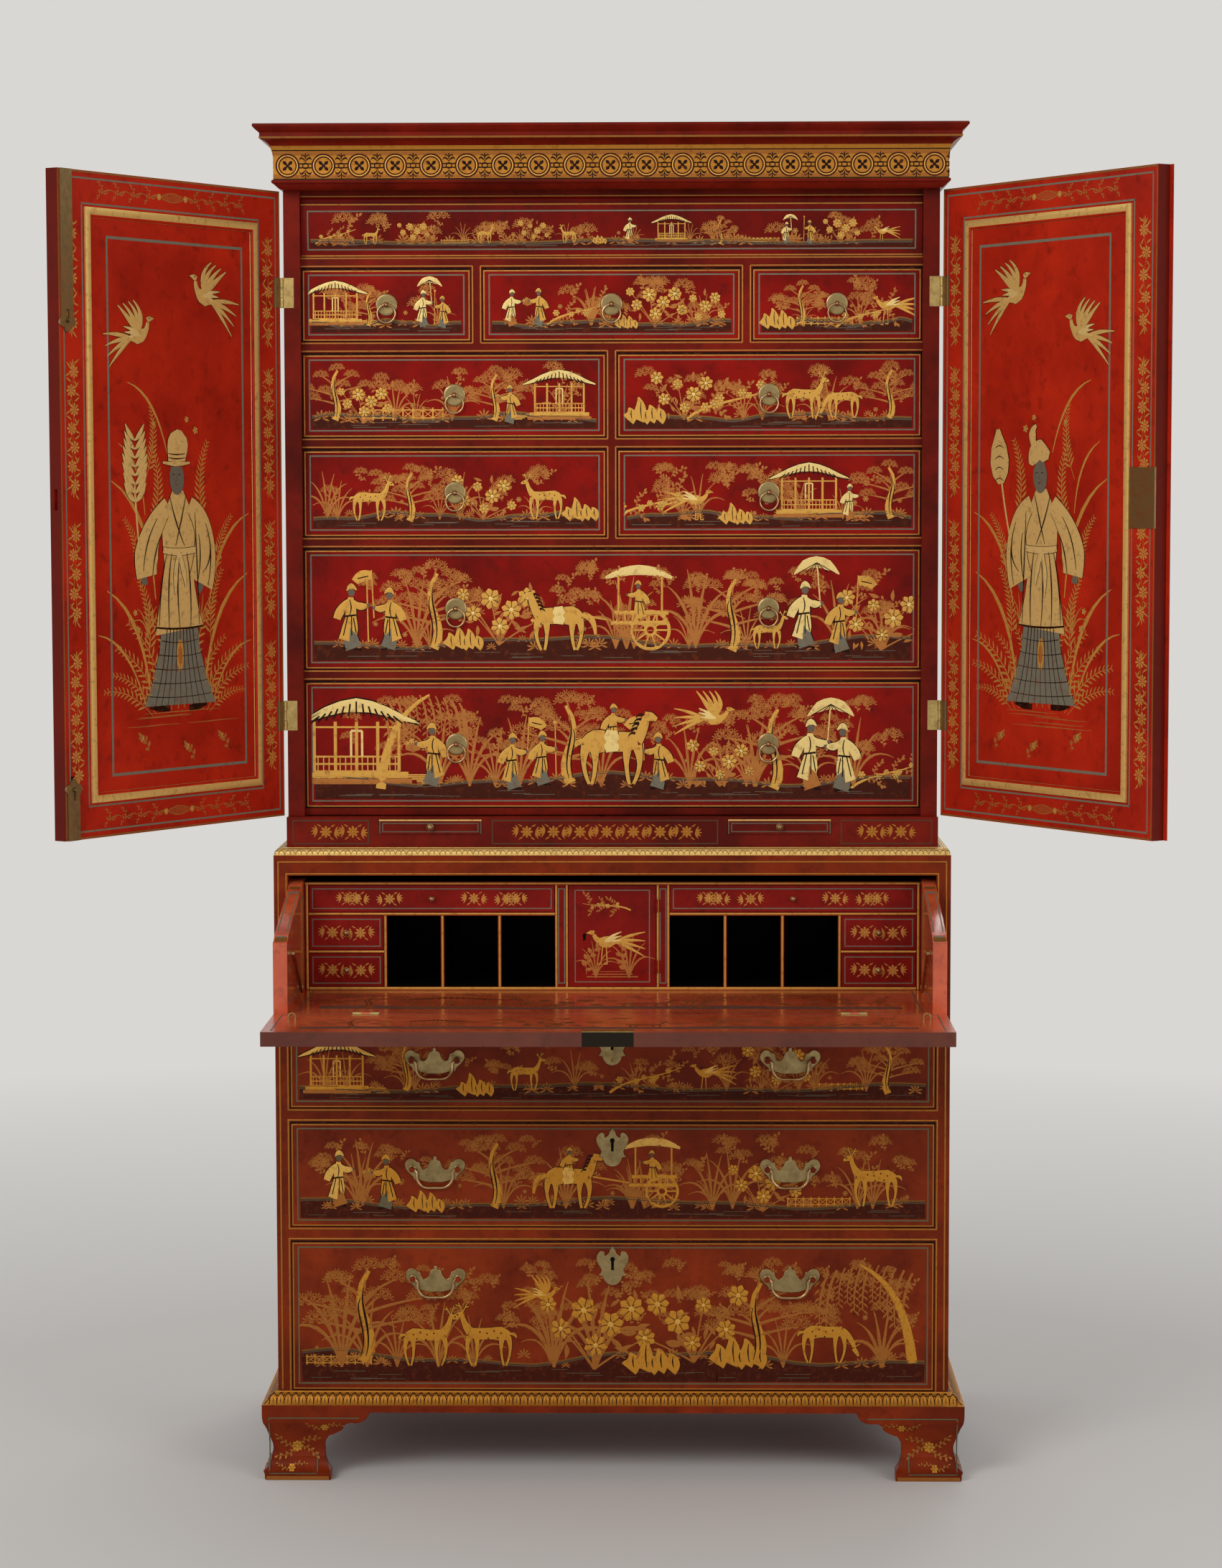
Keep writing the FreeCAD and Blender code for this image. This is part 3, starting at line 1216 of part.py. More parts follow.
# Handle plates and escutcheons of the lower drawers, as halves from bottom to top
HANDLE_SHARES = (
    (0, -1),
    (0.25, -1),
    (0.585, -0.77),
    (0.69, -0.84),
    (0.69, -0.67),
    (0.84, -0.38, 0.975, 0.02),
    (0.96, 0.6, 0.79, 0.77),
    (0.66, 0.68, 0.605, 0.51),
    (0.51, 0.51),
    (0.49, 0.26),
    (0.36, -0.07, 0.248, 0.07),
    (0.185, 0.44),
    (0.042, 0.67),
    (0.07, 0.81),
    (0, 0.98),
)
ESCUTCHEON_SHARES = (
    (0, 0),
    (0.34, 0.045, 0.58, 0.188),
    (0.6, 0.243),
    (0.865, 0.262),
    (0.68, 0.371),
    (0.79, 0.5, 0.985, 0.637),
    (1, 0.76, 0.797, 0.857),
    (0.57, 0.875),
    (0.49, 0.83),
    (0.49, 0.738),
    (0.25, 0.8, 0.16, 0.926),
    (0.08, 0.931),
    (0, 1),
)


def bail_handle(name, x, front, z):
    """The fixed half of a bail handle: a shaped plate and two bored posts."""
    half = shares(HANDLE_SHARES, "handle_plate_width / 2", "handle_plate_height / 2", x, z)
    outline = mirrored_outline(half, x)
    plate = padded(f"{name}_plate", "XZ_Plane", [outline], f"{front} - plate_thick", front)
    pieces = [plate]
    for index, sign in enumerate(("-", "+")):
        post_x = f"{x} {sign} handle_posts / 2"
        shank = rod(f"{name}_shank_{index}", "y", (post_x, f"{front} - handle_reach", z), "post_radius",
                    "handle_reach - plate_thick")
        head = rod(f"{name}_head_{index}", "y", (post_x, f"{front} - handle_reach - post_head_depth / 2", z),
                   "post_head", "post_head_depth")
        hole = bore(f"{name}_hole_{index}", "x", (f"{post_x} - 2 * overrun", f"{front} - handle_reach", z),
                    "bail_wire + bail_hole_gap", "4 * overrun")
        blank = joined(f"{name}_post_blank_{index}", [shank, head])
        pieces.append(cut(f"{name}_post_{index}", blank, [hole]))
    return pieces


def bail(name, x, front, z):
    """A drop handle: its ends turn out into the posts, and its belly runs from shoulder to shoulder."""
    end = "handle_posts / 2 - bail_wire / 2"
    half = [
        (f"{end}", "0"),
        ("bail_arm", "0"),
        ("bail_arm", "-bail_start"),
        ("bail_arm - bail_shoulder + bail_shoulder * cos(bail_turn / 2)",
         "-bail_start - bail_shoulder * sin(bail_turn / 2)",
         "bail_arm - bail_shoulder + bail_shoulder * cos(bail_turn)",
         "-bail_start - bail_shoulder * sin(bail_turn)"),
    ]
    shoulder_x, shoulder_z = half[-1][-2:]
    belly = ("0", "-bail_low", f"-({shoulder_x})", shoulder_z)
    path = half + [belly] + way_back(half, "0")
    path = [tuple(f"{x} + {t}" if i % 2 == 0 else f"{z} + {t}" for i, t in enumerate(step)) for step in path]
    level = f"{front} - handle_reach"
    return wire(name, "XZ_Plane", level, path, "YZ_Plane", f"{x} + {end}", (level, z), "bail_wire")


def escutcheon(name, x, front, top):
    """A shaped plate with a keyhole."""
    foot = f"{top} - escutcheon_height"
    half_plate = shares(ESCUTCHEON_SHARES, "escutcheon_width / 2", "escutcheon_height", x, foot)
    outline = mirrored_outline(half_plate, x)
    plate = padded(name, "XZ_Plane", [outline], f"{front} - plate_thick", front)
    eye = f"{top} - keyhole_level"
    half = "keyhole_slot / 2"
    slot_foot, slot_head = f"{eye} - keyhole_drop", f"{eye} - keyhole_radius / 2"
    slot = [(f"{x} - {half}", slot_foot), (f"{x} + {half}", slot_foot),
            (f"{x} + {half}", slot_head), (f"{x} - {half}", slot_head)]
    reach = (f"{front} - plate_thick - overrun", f"{front} + overrun")
    pocketed(plate, "XZ_Plane", [slot], *reach)
    return pocketed(plate, "XZ_Plane", [round_outline(x, eye, "keyhole_radius")], *reach)


# Lower drawers
lower_wall = "lower_opening_half - drawer_gap"
lower_x = ("-lower_opening_half + drawer_gap", lower_wall)
lower_front = "lower_recess"
lower_drawers = (
    ("deep_drawer", "case_bottom", "deep_top", "deep_handle_drop"),
    ("middle_drawer", "middle_bottom", "middle_top", "middle_handle_drop"),
    ("shallow_drawer", "shallow_bottom", "shallow_top", "shallow_handle_drop"),
)
for name, low, high, drop in lower_drawers:
    pieces = drawer_box(name, lower_x, lower_front, f"{lower_front} + lower_drawer_length",
                        (f"{low} + {gap}", f"{high} - {gap}"), "front_thick", "drawer_side", "drawer_bottom",
                        "drawer_side_drop")
    bails = []
    for word, sign in (("left", "-"), ("right", "")):
        x = f"{sign}handle_place"
        pieces += bail_handle(f"{name}_{word}_handle", x, lower_front, f"{high} - {drop}")
        bails.append(bail(f"{name}_{word}_bail", x, lower_front, f"{high} - {drop}"))
    pieces.append(escutcheon(f"{name}_escutcheon", "0", lower_front, f"{high} - escutcheon_drop"))
    sub_part(name, pieces)
    sub_part(f"{name}_bails", bails)

# Writing drawer, drawn from the seam where the fall is hinged, on the writing surface
desk = ("0", "seam", "writing_level")
board_side = [
    ("0", "0"),
    ("0", "-tongue"),
    ("writing_board + fall_lip_gap", "-tongue"),
    ("writing_board + fall_lip_gap", "-writing_board"),
    ("unit_setback", "-writing_board"),
    ("unit_setback", "0"),
]
writing_surface = padded("writing_surface", "YZ_Plane", [board_side], "-desk_inner_half", "desk_inner_half")
for sign in (-1, 1):
    near, far = (f"{sign} * fall_hinge_place - fall_hinge_width / 2 - knuckle_gap",
                 f"{sign} * fall_hinge_place + fall_hinge_width / 2 + knuckle_gap")
    notch = [(near, "-overrun"), (far, "-overrun"), (far, "knuckle_radius + knuckle_gap"),
             (near, "knuckle_radius + knuckle_gap")]
    pocketed(writing_surface, "XY_Plane", [notch], "-knuckle_radius - knuckle_gap", "overrun")
    recess = [(near, "-overrun"), (far, "-overrun"), (far, "fall_hinge_leaf + knuckle_gap"),
              (near, "fall_hinge_leaf + knuckle_gap")]
    pocketed(writing_surface, "XY_Plane", [recess], "-leaf_thick", "overrun")
DESK_SIDE_SHARES = (
    (0.006, 0.608, 0.03, 0.612),
    (0.05, 0.62, 0.08, 0.66),
    (0.85, 0.94),
    (0.93, 0.985, 1, 1),
)
side_outline = [
    ("desk_length", "-writing_board"),
    ("writing_board + fall_lip_gap", "-writing_board"),
    ("writing_board + fall_lip_gap", "-tongue"),
    ("fall_stop_gap", "-tongue"),
    ("fall_stop_gap", "desk_side_front"),
]
side_outline += shares(DESK_SIDE_SHARES, "unit_setback", "desk_side_height")
side_outline.append(("desk_length", "desk_side_height"))
desk_between = ("-desk_inner_half", "desk_inner_half")
desk_bed = board("desk_bed", desk_between, ("unit_setback", "desk_length"), ("-writing_board", "0"))
desk_pieces = [writing_surface, desk_bed]
for word, sign in (("left", -1), ("right", 1)):
    low_x, high_x = flip(sign, ("desk_inner_half", "desk_half"))
    desk_pieces.append(padded(f"{word}_desk_side", "YZ_Plane", [side_outline], low_x, high_x))
desk_pieces.append(board("desk_back", desk_between, ("unit_setback + unit_depth + small_gap", "desk_length"),
                         ("0", "desk_side_height")))
FALL_HINGE = ("knuckle_radius", "fall_hinge_width", "fall_hinge_leaf - knuckle_radius - knuckle_gap",
              "knuckle_radius + knuckle_gap", 3)


def fall_hinge(name, sign, direction, own, bored):
    """Half of a butt hinge of the fall, turned so that its pin lies along X."""
    half = hinge_half(name, direction, "-leaf_thick", "0", own, FALL_HINGE, bored)
    half.Placement = FreeCAD.Placement(V(), FreeCAD.Rotation(V(1, 1, 1), 120))
    return place(half, f"{sign} * fall_hinge_place - fall_hinge_width / 2", "0", "0")


for word, sign in (("left", -1), ("right", 1)):
    desk_pieces.append(fall_hinge(f"{word}_desk_leaf", sign, 1, (1,), False))
sub_part("desk_drawer", desk_pieces, *desk)

# Fall front: its lip laps under the tongue of the writing surface
fall_side = [
    ("0", "0"),
    ("0", "-tongue - fall_lip_gap"),
    ("writing_board", "-tongue - fall_lip_gap"),
    ("writing_board", "-writing_board"),
    ("-fall_height", "-writing_board"),
    ("-fall_height", "0"),
]
fall = padded("fall_board", "YZ_Plane", [fall_side], "-fall_half", "fall_half")
for sign in (-1, 1):
    near, far = (f"{sign} * fall_hinge_place - fall_hinge_width / 2 - knuckle_gap",
                 f"{sign} * fall_hinge_place + fall_hinge_width / 2 + knuckle_gap")
    notch = [(near, "overrun"), (far, "overrun"), (far, "-knuckle_radius - knuckle_gap"),
             (near, "-knuckle_radius - knuckle_gap")]
    pocketed(fall, "XY_Plane", [notch], "-knuckle_radius - knuckle_gap", "overrun")
    recess = [(near, "overrun"), (far, "overrun"), (far, "-fall_hinge_leaf - knuckle_gap"),
              (near, "-fall_hinge_leaf - knuckle_gap")]
    pocketed(fall, "XY_Plane", [recess], "-leaf_thick", "overrun")
sub_part("fall_front", [fall], *desk)
fall_brass = [
    fall_hinge(f"{word}_fall_leaf", sign, -1, (0, 2), True) for word, sign in (("left", -1), ("right", 1))
]
fall_brass.append(board("fall_lock_plate", ("-fall_lock_width / 2", "fall_lock_width / 2"),
                        ("-fall_height", "-fall_height + fall_lock_depth"), ("0", "fall_lock_thick")))
for word, sign in (("left", -1), ("right", 1)):
    eye_x = f"{sign} * (desk_inner_half - eye_inset)"
    bend = "stay_eye * cos(45)"
    loop = [
        (f"{eye_x} - stay_eye", "0"),
        (f"{eye_x} - stay_eye", "stay_eye"),
        (f"{eye_x} - {bend}", f"stay_eye + {bend}"),
        (eye_x, "2 * stay_eye"),
        (f"{eye_x} + {bend}", f"stay_eye + {bend}"),
        (f"{eye_x} + stay_eye", "stay_eye"),
        (f"{eye_x} + stay_eye", "0"),
    ]
    eye = wire(f"{word}_stay_eye", "XZ_Plane", "-eye_place", loop, "XY_Plane", "0",
               (f"{eye_x} - stay_eye", "-eye_place"), "ring_wire")
    fall_brass.append(eye)
sub_part("fall_brass", fall_brass, *desk)

# Stay hooks: bars on the drawer's sides, which hold the open fall by its eyes
STAY_SHARES = ((-1, 0), (-1, 1), (4, 1), (4, 0.96), (1, 0.96), (1, 0))
stay_outline = [
    (f"stay_place + {along} * stay_run + {across} * stay_wire * sin(stay_angle)",
     f"stay_height - {along} * stay_drop + {across} * stay_wire * cos(stay_angle)")
    for across, along in STAY_SHARES
]
for word, sign in (("left", -1), ("right", 1)):
    bar_x = flip(sign, ("desk_inner_half - stay_gap - 2 * stay_wire", "desk_inner_half - stay_gap"))
    pivot_x = flip(sign, ("desk_inner_half - stay_gap - stay_wire", "desk_inner_half"))
    bar = padded(f"{word}_stay_bar", "YZ_Plane", [stay_outline], *bar_x)
    boss = rod(f"{word}_stay_boss", "x", (bar_x[0], "stay_place", "stay_height"), "2 * stay_wire",
               "2 * stay_wire")
    pivot = rod(f"{word}_stay_pivot", "x", (pivot_x[0], "stay_place", "stay_height"), "stay_wire",
                "stay_gap + stay_wire")
    sub_part(f"{word}_stay_hook", [joined(f"{word}_stay_solid", [bar, boss, pivot])], *desk)

# Pigeonhole unit, standing on the writing surface between the drawer's sides
unit_y = ("unit_setback", "unit_setback + unit_depth - unit_back")
unit = mirrored_boards("unit_side", ("unit_inner_half", "unit_half"), unit_y, ("0", "pen_top + unit_board"))
unit_inside = ("-unit_inner_half", "unit_inner_half")
unit.append(board("unit_floor", unit_inside, unit_y, ("0", "unit_base")))
unit.append(board("unit_top", unit_inside, unit_y, ("pen_top", "pen_top + unit_board")))
unit.append(board("unit_back_board", ("-unit_half", "unit_half"), (unit_y[1], "unit_setback + unit_depth"),
                  ("0", "pen_top + unit_board")))
for name, across, upright in (
    ("unit_pilaster", ("cupboard_half", "pilaster_outer"), ("unit_base", "pen_top")),
    ("pen_shelf", ("pilaster_outer", "unit_inner_half"), ("letter_upper_top", "pen_bottom")),
    ("letter_shelf", ("letter_wall", "unit_inner_half"), ("letter_top", "letter_upper_bottom")),
    ("letter_partition", ("letter_wall - unit_board", "letter_wall"), ("unit_base", "letter_upper_top")),
):
    unit += mirrored_boards(name, across, unit_y, upright)
for index in (1, 2):
    low_x = f"pilaster_outer + {index} * hole_span + {index - 1} * unit_board"
    unit += mirrored_boards(f"partition_{index}", (low_x, f"{low_x} + unit_board"), unit_y,
                            ("unit_base", "letter_upper_top"))
SMALL_HINGE = ("small_knuckle", "small_hinge_height", "small_hinge_leaf", "small_knuckle + knuckle_gap", 3)
pin_place = ("cupboard_half", "unit_setback - small_knuckle - knuckle_gap")
small_levels = (("lower", "unit_base + small_hinge_place"), ("upper", "pen_top - small_hinge_place"))
for level_name, level in small_levels:
    half = hinge_half(f"{level_name}_pilaster_leaf", 1, "small_knuckle - leaf_thick / 2 + knuckle_gap",
                      "small_knuckle + knuckle_gap", (0, 2), SMALL_HINGE, False)
    unit.append(place(half, *pin_place, f"{level} - small_hinge_height / 2"))
sub_part("pigeonhole_unit", unit, *desk)

# Small drawers in the unit
small = ("small_front", "small_side", "small_bottom", "small_drop")
small_front = "unit_setback + small_recess"
small_back = f"{small_front} + small_length"
rows = (
    ("pen_drawer", "pilaster_outer", "pen_bottom", "pen_top"),
    ("letter_drawer_upper", "letter_wall", "letter_upper_bottom", "letter_upper_top"),
    ("letter_drawer_lower", "letter_wall", "unit_base", "letter_top"),
)
for name, inner, low, high in rows:
    for word, sign in (("left", -1), ("right", 1)):
        x = flip(sign, (f"{inner} + small_gap", "unit_inner_half - small_gap"))
        z = (f"{low} + small_gap", f"{high} - small_gap")
        pieces = drawer_box(f"{word}_{name}", x, small_front, small_back, z, *small)
        middle = f"(({x[0]}) + ({x[1]})) / 2"
        level = f"({low} + {high}) / 2"
        pieces.append(knob(f"{word}_{name}_knob", middle, small_front, level, "knob_radius"))
        sub_part(f"{word}_{name}", pieces, *desk)

# Centre cupboard door, hinged on its right, with a keyhole
near, far = "-cupboard_half + small_gap", "cupboard_half - small_gap"
low, high = "unit_base + small_gap", "pen_top - small_gap"
leaf = padded("centre_door_board", "XZ_Plane", [[(near, low), (far, low), (far, high), (near, high)]],
              "unit_setback", "unit_setback + cupboard_door")
eye_x, eye_z = f"{near} + cupboard_key_place", "(unit_base + pen_top) / 2"
half = "cupboard_key_radius / 2"
slot_foot = f"{eye_z} - keyhole_drop / 2"
slot = [(f"{eye_x} - {half}", slot_foot), (f"{eye_x} + {half}", slot_foot),
        (f"{eye_x} + {half}", eye_z), (f"{eye_x} - {half}", eye_z)]
door_reach = ("unit_setback - overrun", "unit_setback + cupboard_door + overrun")
pocketed(leaf, "XZ_Plane", [slot], *door_reach)
pocketed(leaf, "XZ_Plane", [round_outline(eye_x, eye_z, "cupboard_key_radius")], *door_reach)
centre = [leaf]
for level_name, level in small_levels:
    half = hinge_half(f"{level_name}_centre_leaf", -1, "small_knuckle - leaf_thick / 2 + knuckle_gap",
                      "small_knuckle + knuckle_gap", (1,), SMALL_HINGE, True)
    centre.append(place(half, *pin_place, f"{level} - small_hinge_height / 2"))
sub_part("centre_door", centre, *desk)

doc.recompute()
faults = [item.Name for item in doc.Objects if "Invalid" in item.State or "Error" in item.State]
if faults:
    raise RuntimeError(f"these features failed: {faults}")
for piece in SUB_PARTS:
    if piece.Shape.isNull() or not piece.Shape.isValid() or not piece.Shape.Solids:
        raise RuntimeError(f"the shape of {piece.Label} is not sound")

os.makedirs("parts", exist_ok=True)
for piece in SUB_PARTS:
    piece.Shape.exportStep(f"parts/{piece.Label}.step")
print(len(SUB_PARTS), "sub-parts written")
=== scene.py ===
"""A red lacquered bureau cabinet with gilt decoration and brass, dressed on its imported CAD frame.

Lengths are millimetres until a mesh is made. X runs to the right, Y to the back and Z upwards.
"""
import math

import bmesh
import bpy
import numpy as np
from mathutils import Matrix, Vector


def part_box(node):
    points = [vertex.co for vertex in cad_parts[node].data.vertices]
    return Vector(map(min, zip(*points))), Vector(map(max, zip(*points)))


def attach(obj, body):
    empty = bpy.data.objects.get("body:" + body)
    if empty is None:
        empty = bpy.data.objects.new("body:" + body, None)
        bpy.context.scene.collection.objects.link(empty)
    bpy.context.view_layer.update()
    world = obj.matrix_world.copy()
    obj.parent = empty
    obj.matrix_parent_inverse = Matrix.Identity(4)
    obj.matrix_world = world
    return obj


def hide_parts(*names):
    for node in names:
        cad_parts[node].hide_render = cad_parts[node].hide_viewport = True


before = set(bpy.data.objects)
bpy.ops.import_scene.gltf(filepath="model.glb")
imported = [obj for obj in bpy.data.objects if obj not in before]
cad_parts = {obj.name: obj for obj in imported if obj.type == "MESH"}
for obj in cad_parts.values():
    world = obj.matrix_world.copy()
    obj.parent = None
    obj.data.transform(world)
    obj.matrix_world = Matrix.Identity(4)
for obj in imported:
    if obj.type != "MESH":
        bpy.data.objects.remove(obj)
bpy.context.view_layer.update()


# Studio: a pale painted floor that runs out into an equally pale backdrop, one large soft lamp high at the
# left, a weaker one at the right and a camera at the height of a standing person's chest.
def linear(code):
    """An sRGB hex colour as linear red, green, blue and alpha."""
    part = np.array([int(code[i:i + 2], 16) for i in (0, 2, 4)]) / 255
    part = np.where(part <= 0.04045, part / 12.92, ((part + 0.055) / 1.055) ** 2.4)
    return (*part.tolist(), 1.0)


def add(tree, kind, inputs=None, **settings):
    """Add a node: settings are its properties, inputs are values or the sockets that feed it."""
    node = tree.nodes.new("ShaderNode" + kind)
    for name, value in settings.items():
        setattr(node, name, value)
    for socket, value in (inputs or {}).items():
        if isinstance(value, bpy.types.NodeSocket):
            tree.links.new(value, node.inputs[socket])
        else:
            node.inputs[socket].default_value = value
    return node


def new_material(name):
    """An empty material, its node tree and the object coordinates that its patterns read."""
    material = bpy.data.materials.new(name)
    material.use_nodes = True
    material.node_tree.nodes.clear()
    place = add(material.node_tree, "TexCoord").outputs["Object"]
    return material, material.node_tree, place


def solid(name, points, faces, weld=False, angle=40):
    """A mesh object from points in millimetres and a list of face arrays, smooth up to an angle."""
    mesh = bpy.data.meshes.new(name)
    points = np.asarray(points, float).reshape(-1, 3) / 1000
    counts = np.concatenate([np.full(len(f), f.shape[1]) for f in faces])
    loops = np.concatenate([f.ravel() for f in faces])
    mesh.vertices.add(len(points))
    mesh.vertices.foreach_set("co", points.ravel())
    mesh.loops.add(len(loops))
    mesh.loops.foreach_set("vertex_index", loops.astype(np.int32))
    mesh.polygons.add(len(counts))
    mesh.polygons.foreach_set("loop_start", np.concatenate([[0], np.cumsum(counts)[:-1]]).astype(np.int32))
    mesh.update(calc_edges=True)
    mesh.shade_smooth()
    if weld:
        work = bmesh.new()
        work.from_mesh(mesh)
        bmesh.ops.remove_doubles(work, verts=work.verts, dist=2e-6)
        bmesh.ops.recalc_face_normals(work, faces=work.faces)
        work.to_mesh(mesh)
        work.free()
        mesh.set_sharp_from_angle(angle=math.radians(angle))
    piece = bpy.data.objects.new(name, mesh)
    bpy.context.scene.collection.objects.link(piece)
    return piece


def grid(rows, columns, round_rows=False, round_columns=False):
    """Quads of a grid of points counted row by row, joined round where asked."""
    r = np.arange(rows if round_rows else rows - 1)
    c = np.arange(columns if round_columns else columns - 1)
    r, c = np.meshgrid(r, c, indexing="ij")
    r2, c2 = (r + 1) % rows, (c + 1) % columns
    return np.stack([r * columns + c, r2 * columns + c, r2 * columns + c2,
                     r * columns + c2], -1).reshape(-1, 4)


PALE = linear("d9d7d3")
world = bpy.data.worlds.new("studio")
bpy.context.scene.world = world
world.use_nodes = True
sky = world.node_tree
sky.nodes.clear()
rays = add(sky, "LightPath")
seen = add(sky, "Math", {0: rays.outputs["Is Camera Ray"], 1: rays.outputs["Is Glossy Ray"]},
           operation="MAXIMUM")
seen = add(sky, "Math", {0: seen.outputs[0], 1: rays.outputs["Is Transmission Ray"]}, operation="MAXIMUM")
lamp_light = add(sky, "Background", {"Color": (1, 1, 1, 1), "Strength": 0.42})
backdrop = add(sky, "Background", {"Color": PALE, "Strength": 1.0})
both = add(sky, "MixShader", {0: seen.outputs[0], 1: lamp_light.outputs[0], 2: backdrop.outputs[0]})
add(sky, "OutputWorld", {0: both.outputs[0]})

side = np.linspace(-14000, 14000, 41)
floor_x, floor_y = np.meshgrid(side, side, indexing="ij")
floor_points = np.stack([floor_x, floor_y, np.zeros_like(floor_x)], -1)
floor = solid("studio_floor", floor_points, [grid(41, 41)])
floor_paint, tree, place = new_material("painted_studio_floor")
away = add(tree, "VectorMath", {0: place}, operation="LENGTH")
fade = add(tree, "MapRange", {0: away.outputs["Value"], 1: 1.3, 2: 4.2, 3: 0.0, 4: 1.0})
paint = add(tree, "BsdfDiffuse", {0: linear("dcdad6")})
glow = add(tree, "Emission", {0: PALE, 1: 1.0})
mixed = add(tree, "MixShader", {0: fade.outputs[0], 1: paint.outputs[0], 2: glow.outputs[0]})
add(tree, "OutputMaterial", {0: mixed.outputs[0]})
floor.data.materials.append(floor_paint)

for name, spot, aim, size, power in (
    ("key", (-2.7, -4.3, 3.6), (0, 0, 1.1), 2.2, 105),
    ("fill", (3.4, -3.9, 2.6), (0, 0, 1.0), 2.4, 52),
    ("back", (0.5, 3.2, 3.6), (0, 0, 1.4), 2.0, 40),
):
    lamp = bpy.data.lights.new(name, "AREA")
    lamp.energy, lamp.size = power, size
    stand = bpy.data.objects.new(name, lamp)
    stand.location = spot
    direction = np.array(aim) - np.array(spot)
    level = math.hypot(direction[0], direction[1])
    stand.rotation_euler = (math.atan2(level, -direction[2]), 0, math.atan2(-direction[0], direction[1]))
    bpy.context.scene.collection.objects.link(stand)

lens = bpy.data.cameras.new("camera")
lens.lens = 83.08
camera = bpy.data.objects.new("camera", lens)
camera.location = (0.088, -5.6535, 1.5399)
camera.rotation_euler = (math.radians(90 - 4.58), 0.0019, 0.0158)
bpy.context.scene.collection.objects.link(camera)
bpy.context.scene.camera = camera
bpy.context.scene.view_settings.view_transform = "Standard"


# Lacquer: many coats of tinted varnish over gesso on pine and oak, rubbed down and polished. The eye sees a
# deep red under a soft gloss, cloudy with age, with fine dark cracks and small chips along its length.
def lacquer(name, bright, deep, behind=None, wood="8a6238", black=None, polish=0.1, dusty=None):
    """Lacquer that gives way, behind a depth in millimetres, to the bare wood
    inside or to the colour given as black. Polish is how strongly the surface
    mirrors the room. Above the height of dusty, upward faces are bare, dusty pine."""
    material, tree, place = new_material(name)
    cloud = add(tree, "TexNoise", {"Vector": place, "Scale": 7.0, "Detail": 5.0, "Roughness": 0.62})
    cloud = add(tree, "MapRange", {0: cloud.outputs[0], 1: 0.36, 2: 0.66})
    base = add(tree, "Mix", {0: cloud.outputs[0], 6: linear(deep), 7: linear(bright)}, data_type="RGBA")
    rubbed = add(tree, "TexNoise", {"Vector": place, "Scale": 46.0, "Detail": 8.0, "Roughness": 0.7})
    dirt = add(tree, "MapRange", {0: rubbed.outputs[0], 1: 0.53, 2: 0.72, 4: 0.5})
    base = add(tree, "Mix", {0: dirt.outputs[0], 6: base.outputs[2], 7: linear("3a0d08")}, data_type="RGBA")
    flake = add(tree, "TexNoise", {"Vector": place, "Scale": 240.0, "Detail": 3.0, "Roughness": 0.8})
    chip = add(tree, "MapRange", {0: flake.outputs[0], 1: 0.69, 2: 0.74, 4: 0.7})
    base = add(tree, "Mix", {0: chip.outputs[0], 6: base.outputs[2], 7: linear("5a2a16")}, data_type="RGBA")
    crack = add(tree, "TexVoronoi", {"Vector": place, "Scale": 120.0}, feature="DISTANCE_TO_EDGE")
    line = add(tree, "MapRange", {0: crack.outputs[0], 1: 0.0, 2: 0.05, 3: 1.0, 4: 0.0})
    gloss = add(tree, "MapRange", {0: rubbed.outputs[0], 1: 0.3, 2: 0.75, 3: 0.26 - 0.2 * polish,
                                   4: 0.44 - 0.3 * polish})
    height = add(tree, "Math", {0: line.outputs[0], 1: -0.35, 2: rubbed.outputs[0]}, operation="MULTIPLY_ADD")
    bump = add(tree, "Bump", {"Height": height.outputs[0], "Strength": 0.16, "Distance": 0.0006})
    colour, rough = base.outputs[2], gloss.outputs[0]
    if behind is not None:
        depth = add(tree, "SeparateXYZ", {0: place})
        inside = add(tree, "Math", {0: depth.outputs["Y"], 1: behind / 1000}, operation="GREATER_THAN")
        grain_place = add(tree, "Mapping", {"Vector": place, "Scale": (1.0, 9.0, 14.0)})
        grain = add(tree, "TexNoise", {"Vector": grain_place.outputs[0], "Scale": 22.0, "Detail": 6.0})
        timber = add(tree, "Mix", {0: grain.outputs[0], 6: linear(black or "5d3f22"),
                                   7: linear(black or wood)},
                     data_type="RGBA")
        colour = add(tree, "Mix", {0: inside.outputs[0], 6: colour, 7: timber.outputs[2]},
                     data_type="RGBA").outputs[2]
        rough = add(tree, "Mix", {0: inside.outputs[0], 2: rough, 3: 0.62}).outputs[0]
    if dusty is not None:
        facing = add(tree, "SeparateXYZ", {0: add(tree, "TexCoord").outputs["Normal"]})
        up = add(tree, "Math", {0: facing.outputs["Z"], 1: 0.8}, operation="GREATER_THAN")
        high = add(tree, "Math", {0: add(tree, "SeparateXYZ", {0: place}).outputs["Z"], 1: dusty / 1000},
                   operation="GREATER_THAN")
        dust = add(tree, "Math", {0: up.outputs[0], 1: high.outputs[0]}, operation="MULTIPLY")
        pine_wood = add(tree, "Mix", {0: cloud.outputs[0], 6: linear("5b452d"), 7: linear("77603f")},
                        data_type="RGBA")
        colour = add(tree, "Mix", {0: dust.outputs[0], 6: colour, 7: pine_wood.outputs[2]},
                     data_type="RGBA").outputs[2]
        rough = add(tree, "Mix", {0: dust.outputs[0], 2: rough, 3: 0.85}).outputs[0]
    shader = add(tree, "BsdfPrincipled", {
        "Base Color": colour, "Roughness": rough, "Normal": bump.outputs[0], "IOR": 1.45,
        "Specular IOR Level": polish, "Coat Weight": 0.02, "Coat Roughness": 0.12,
    })
    add(tree, "OutputMaterial", {0: shader.outputs[0]})
    return material


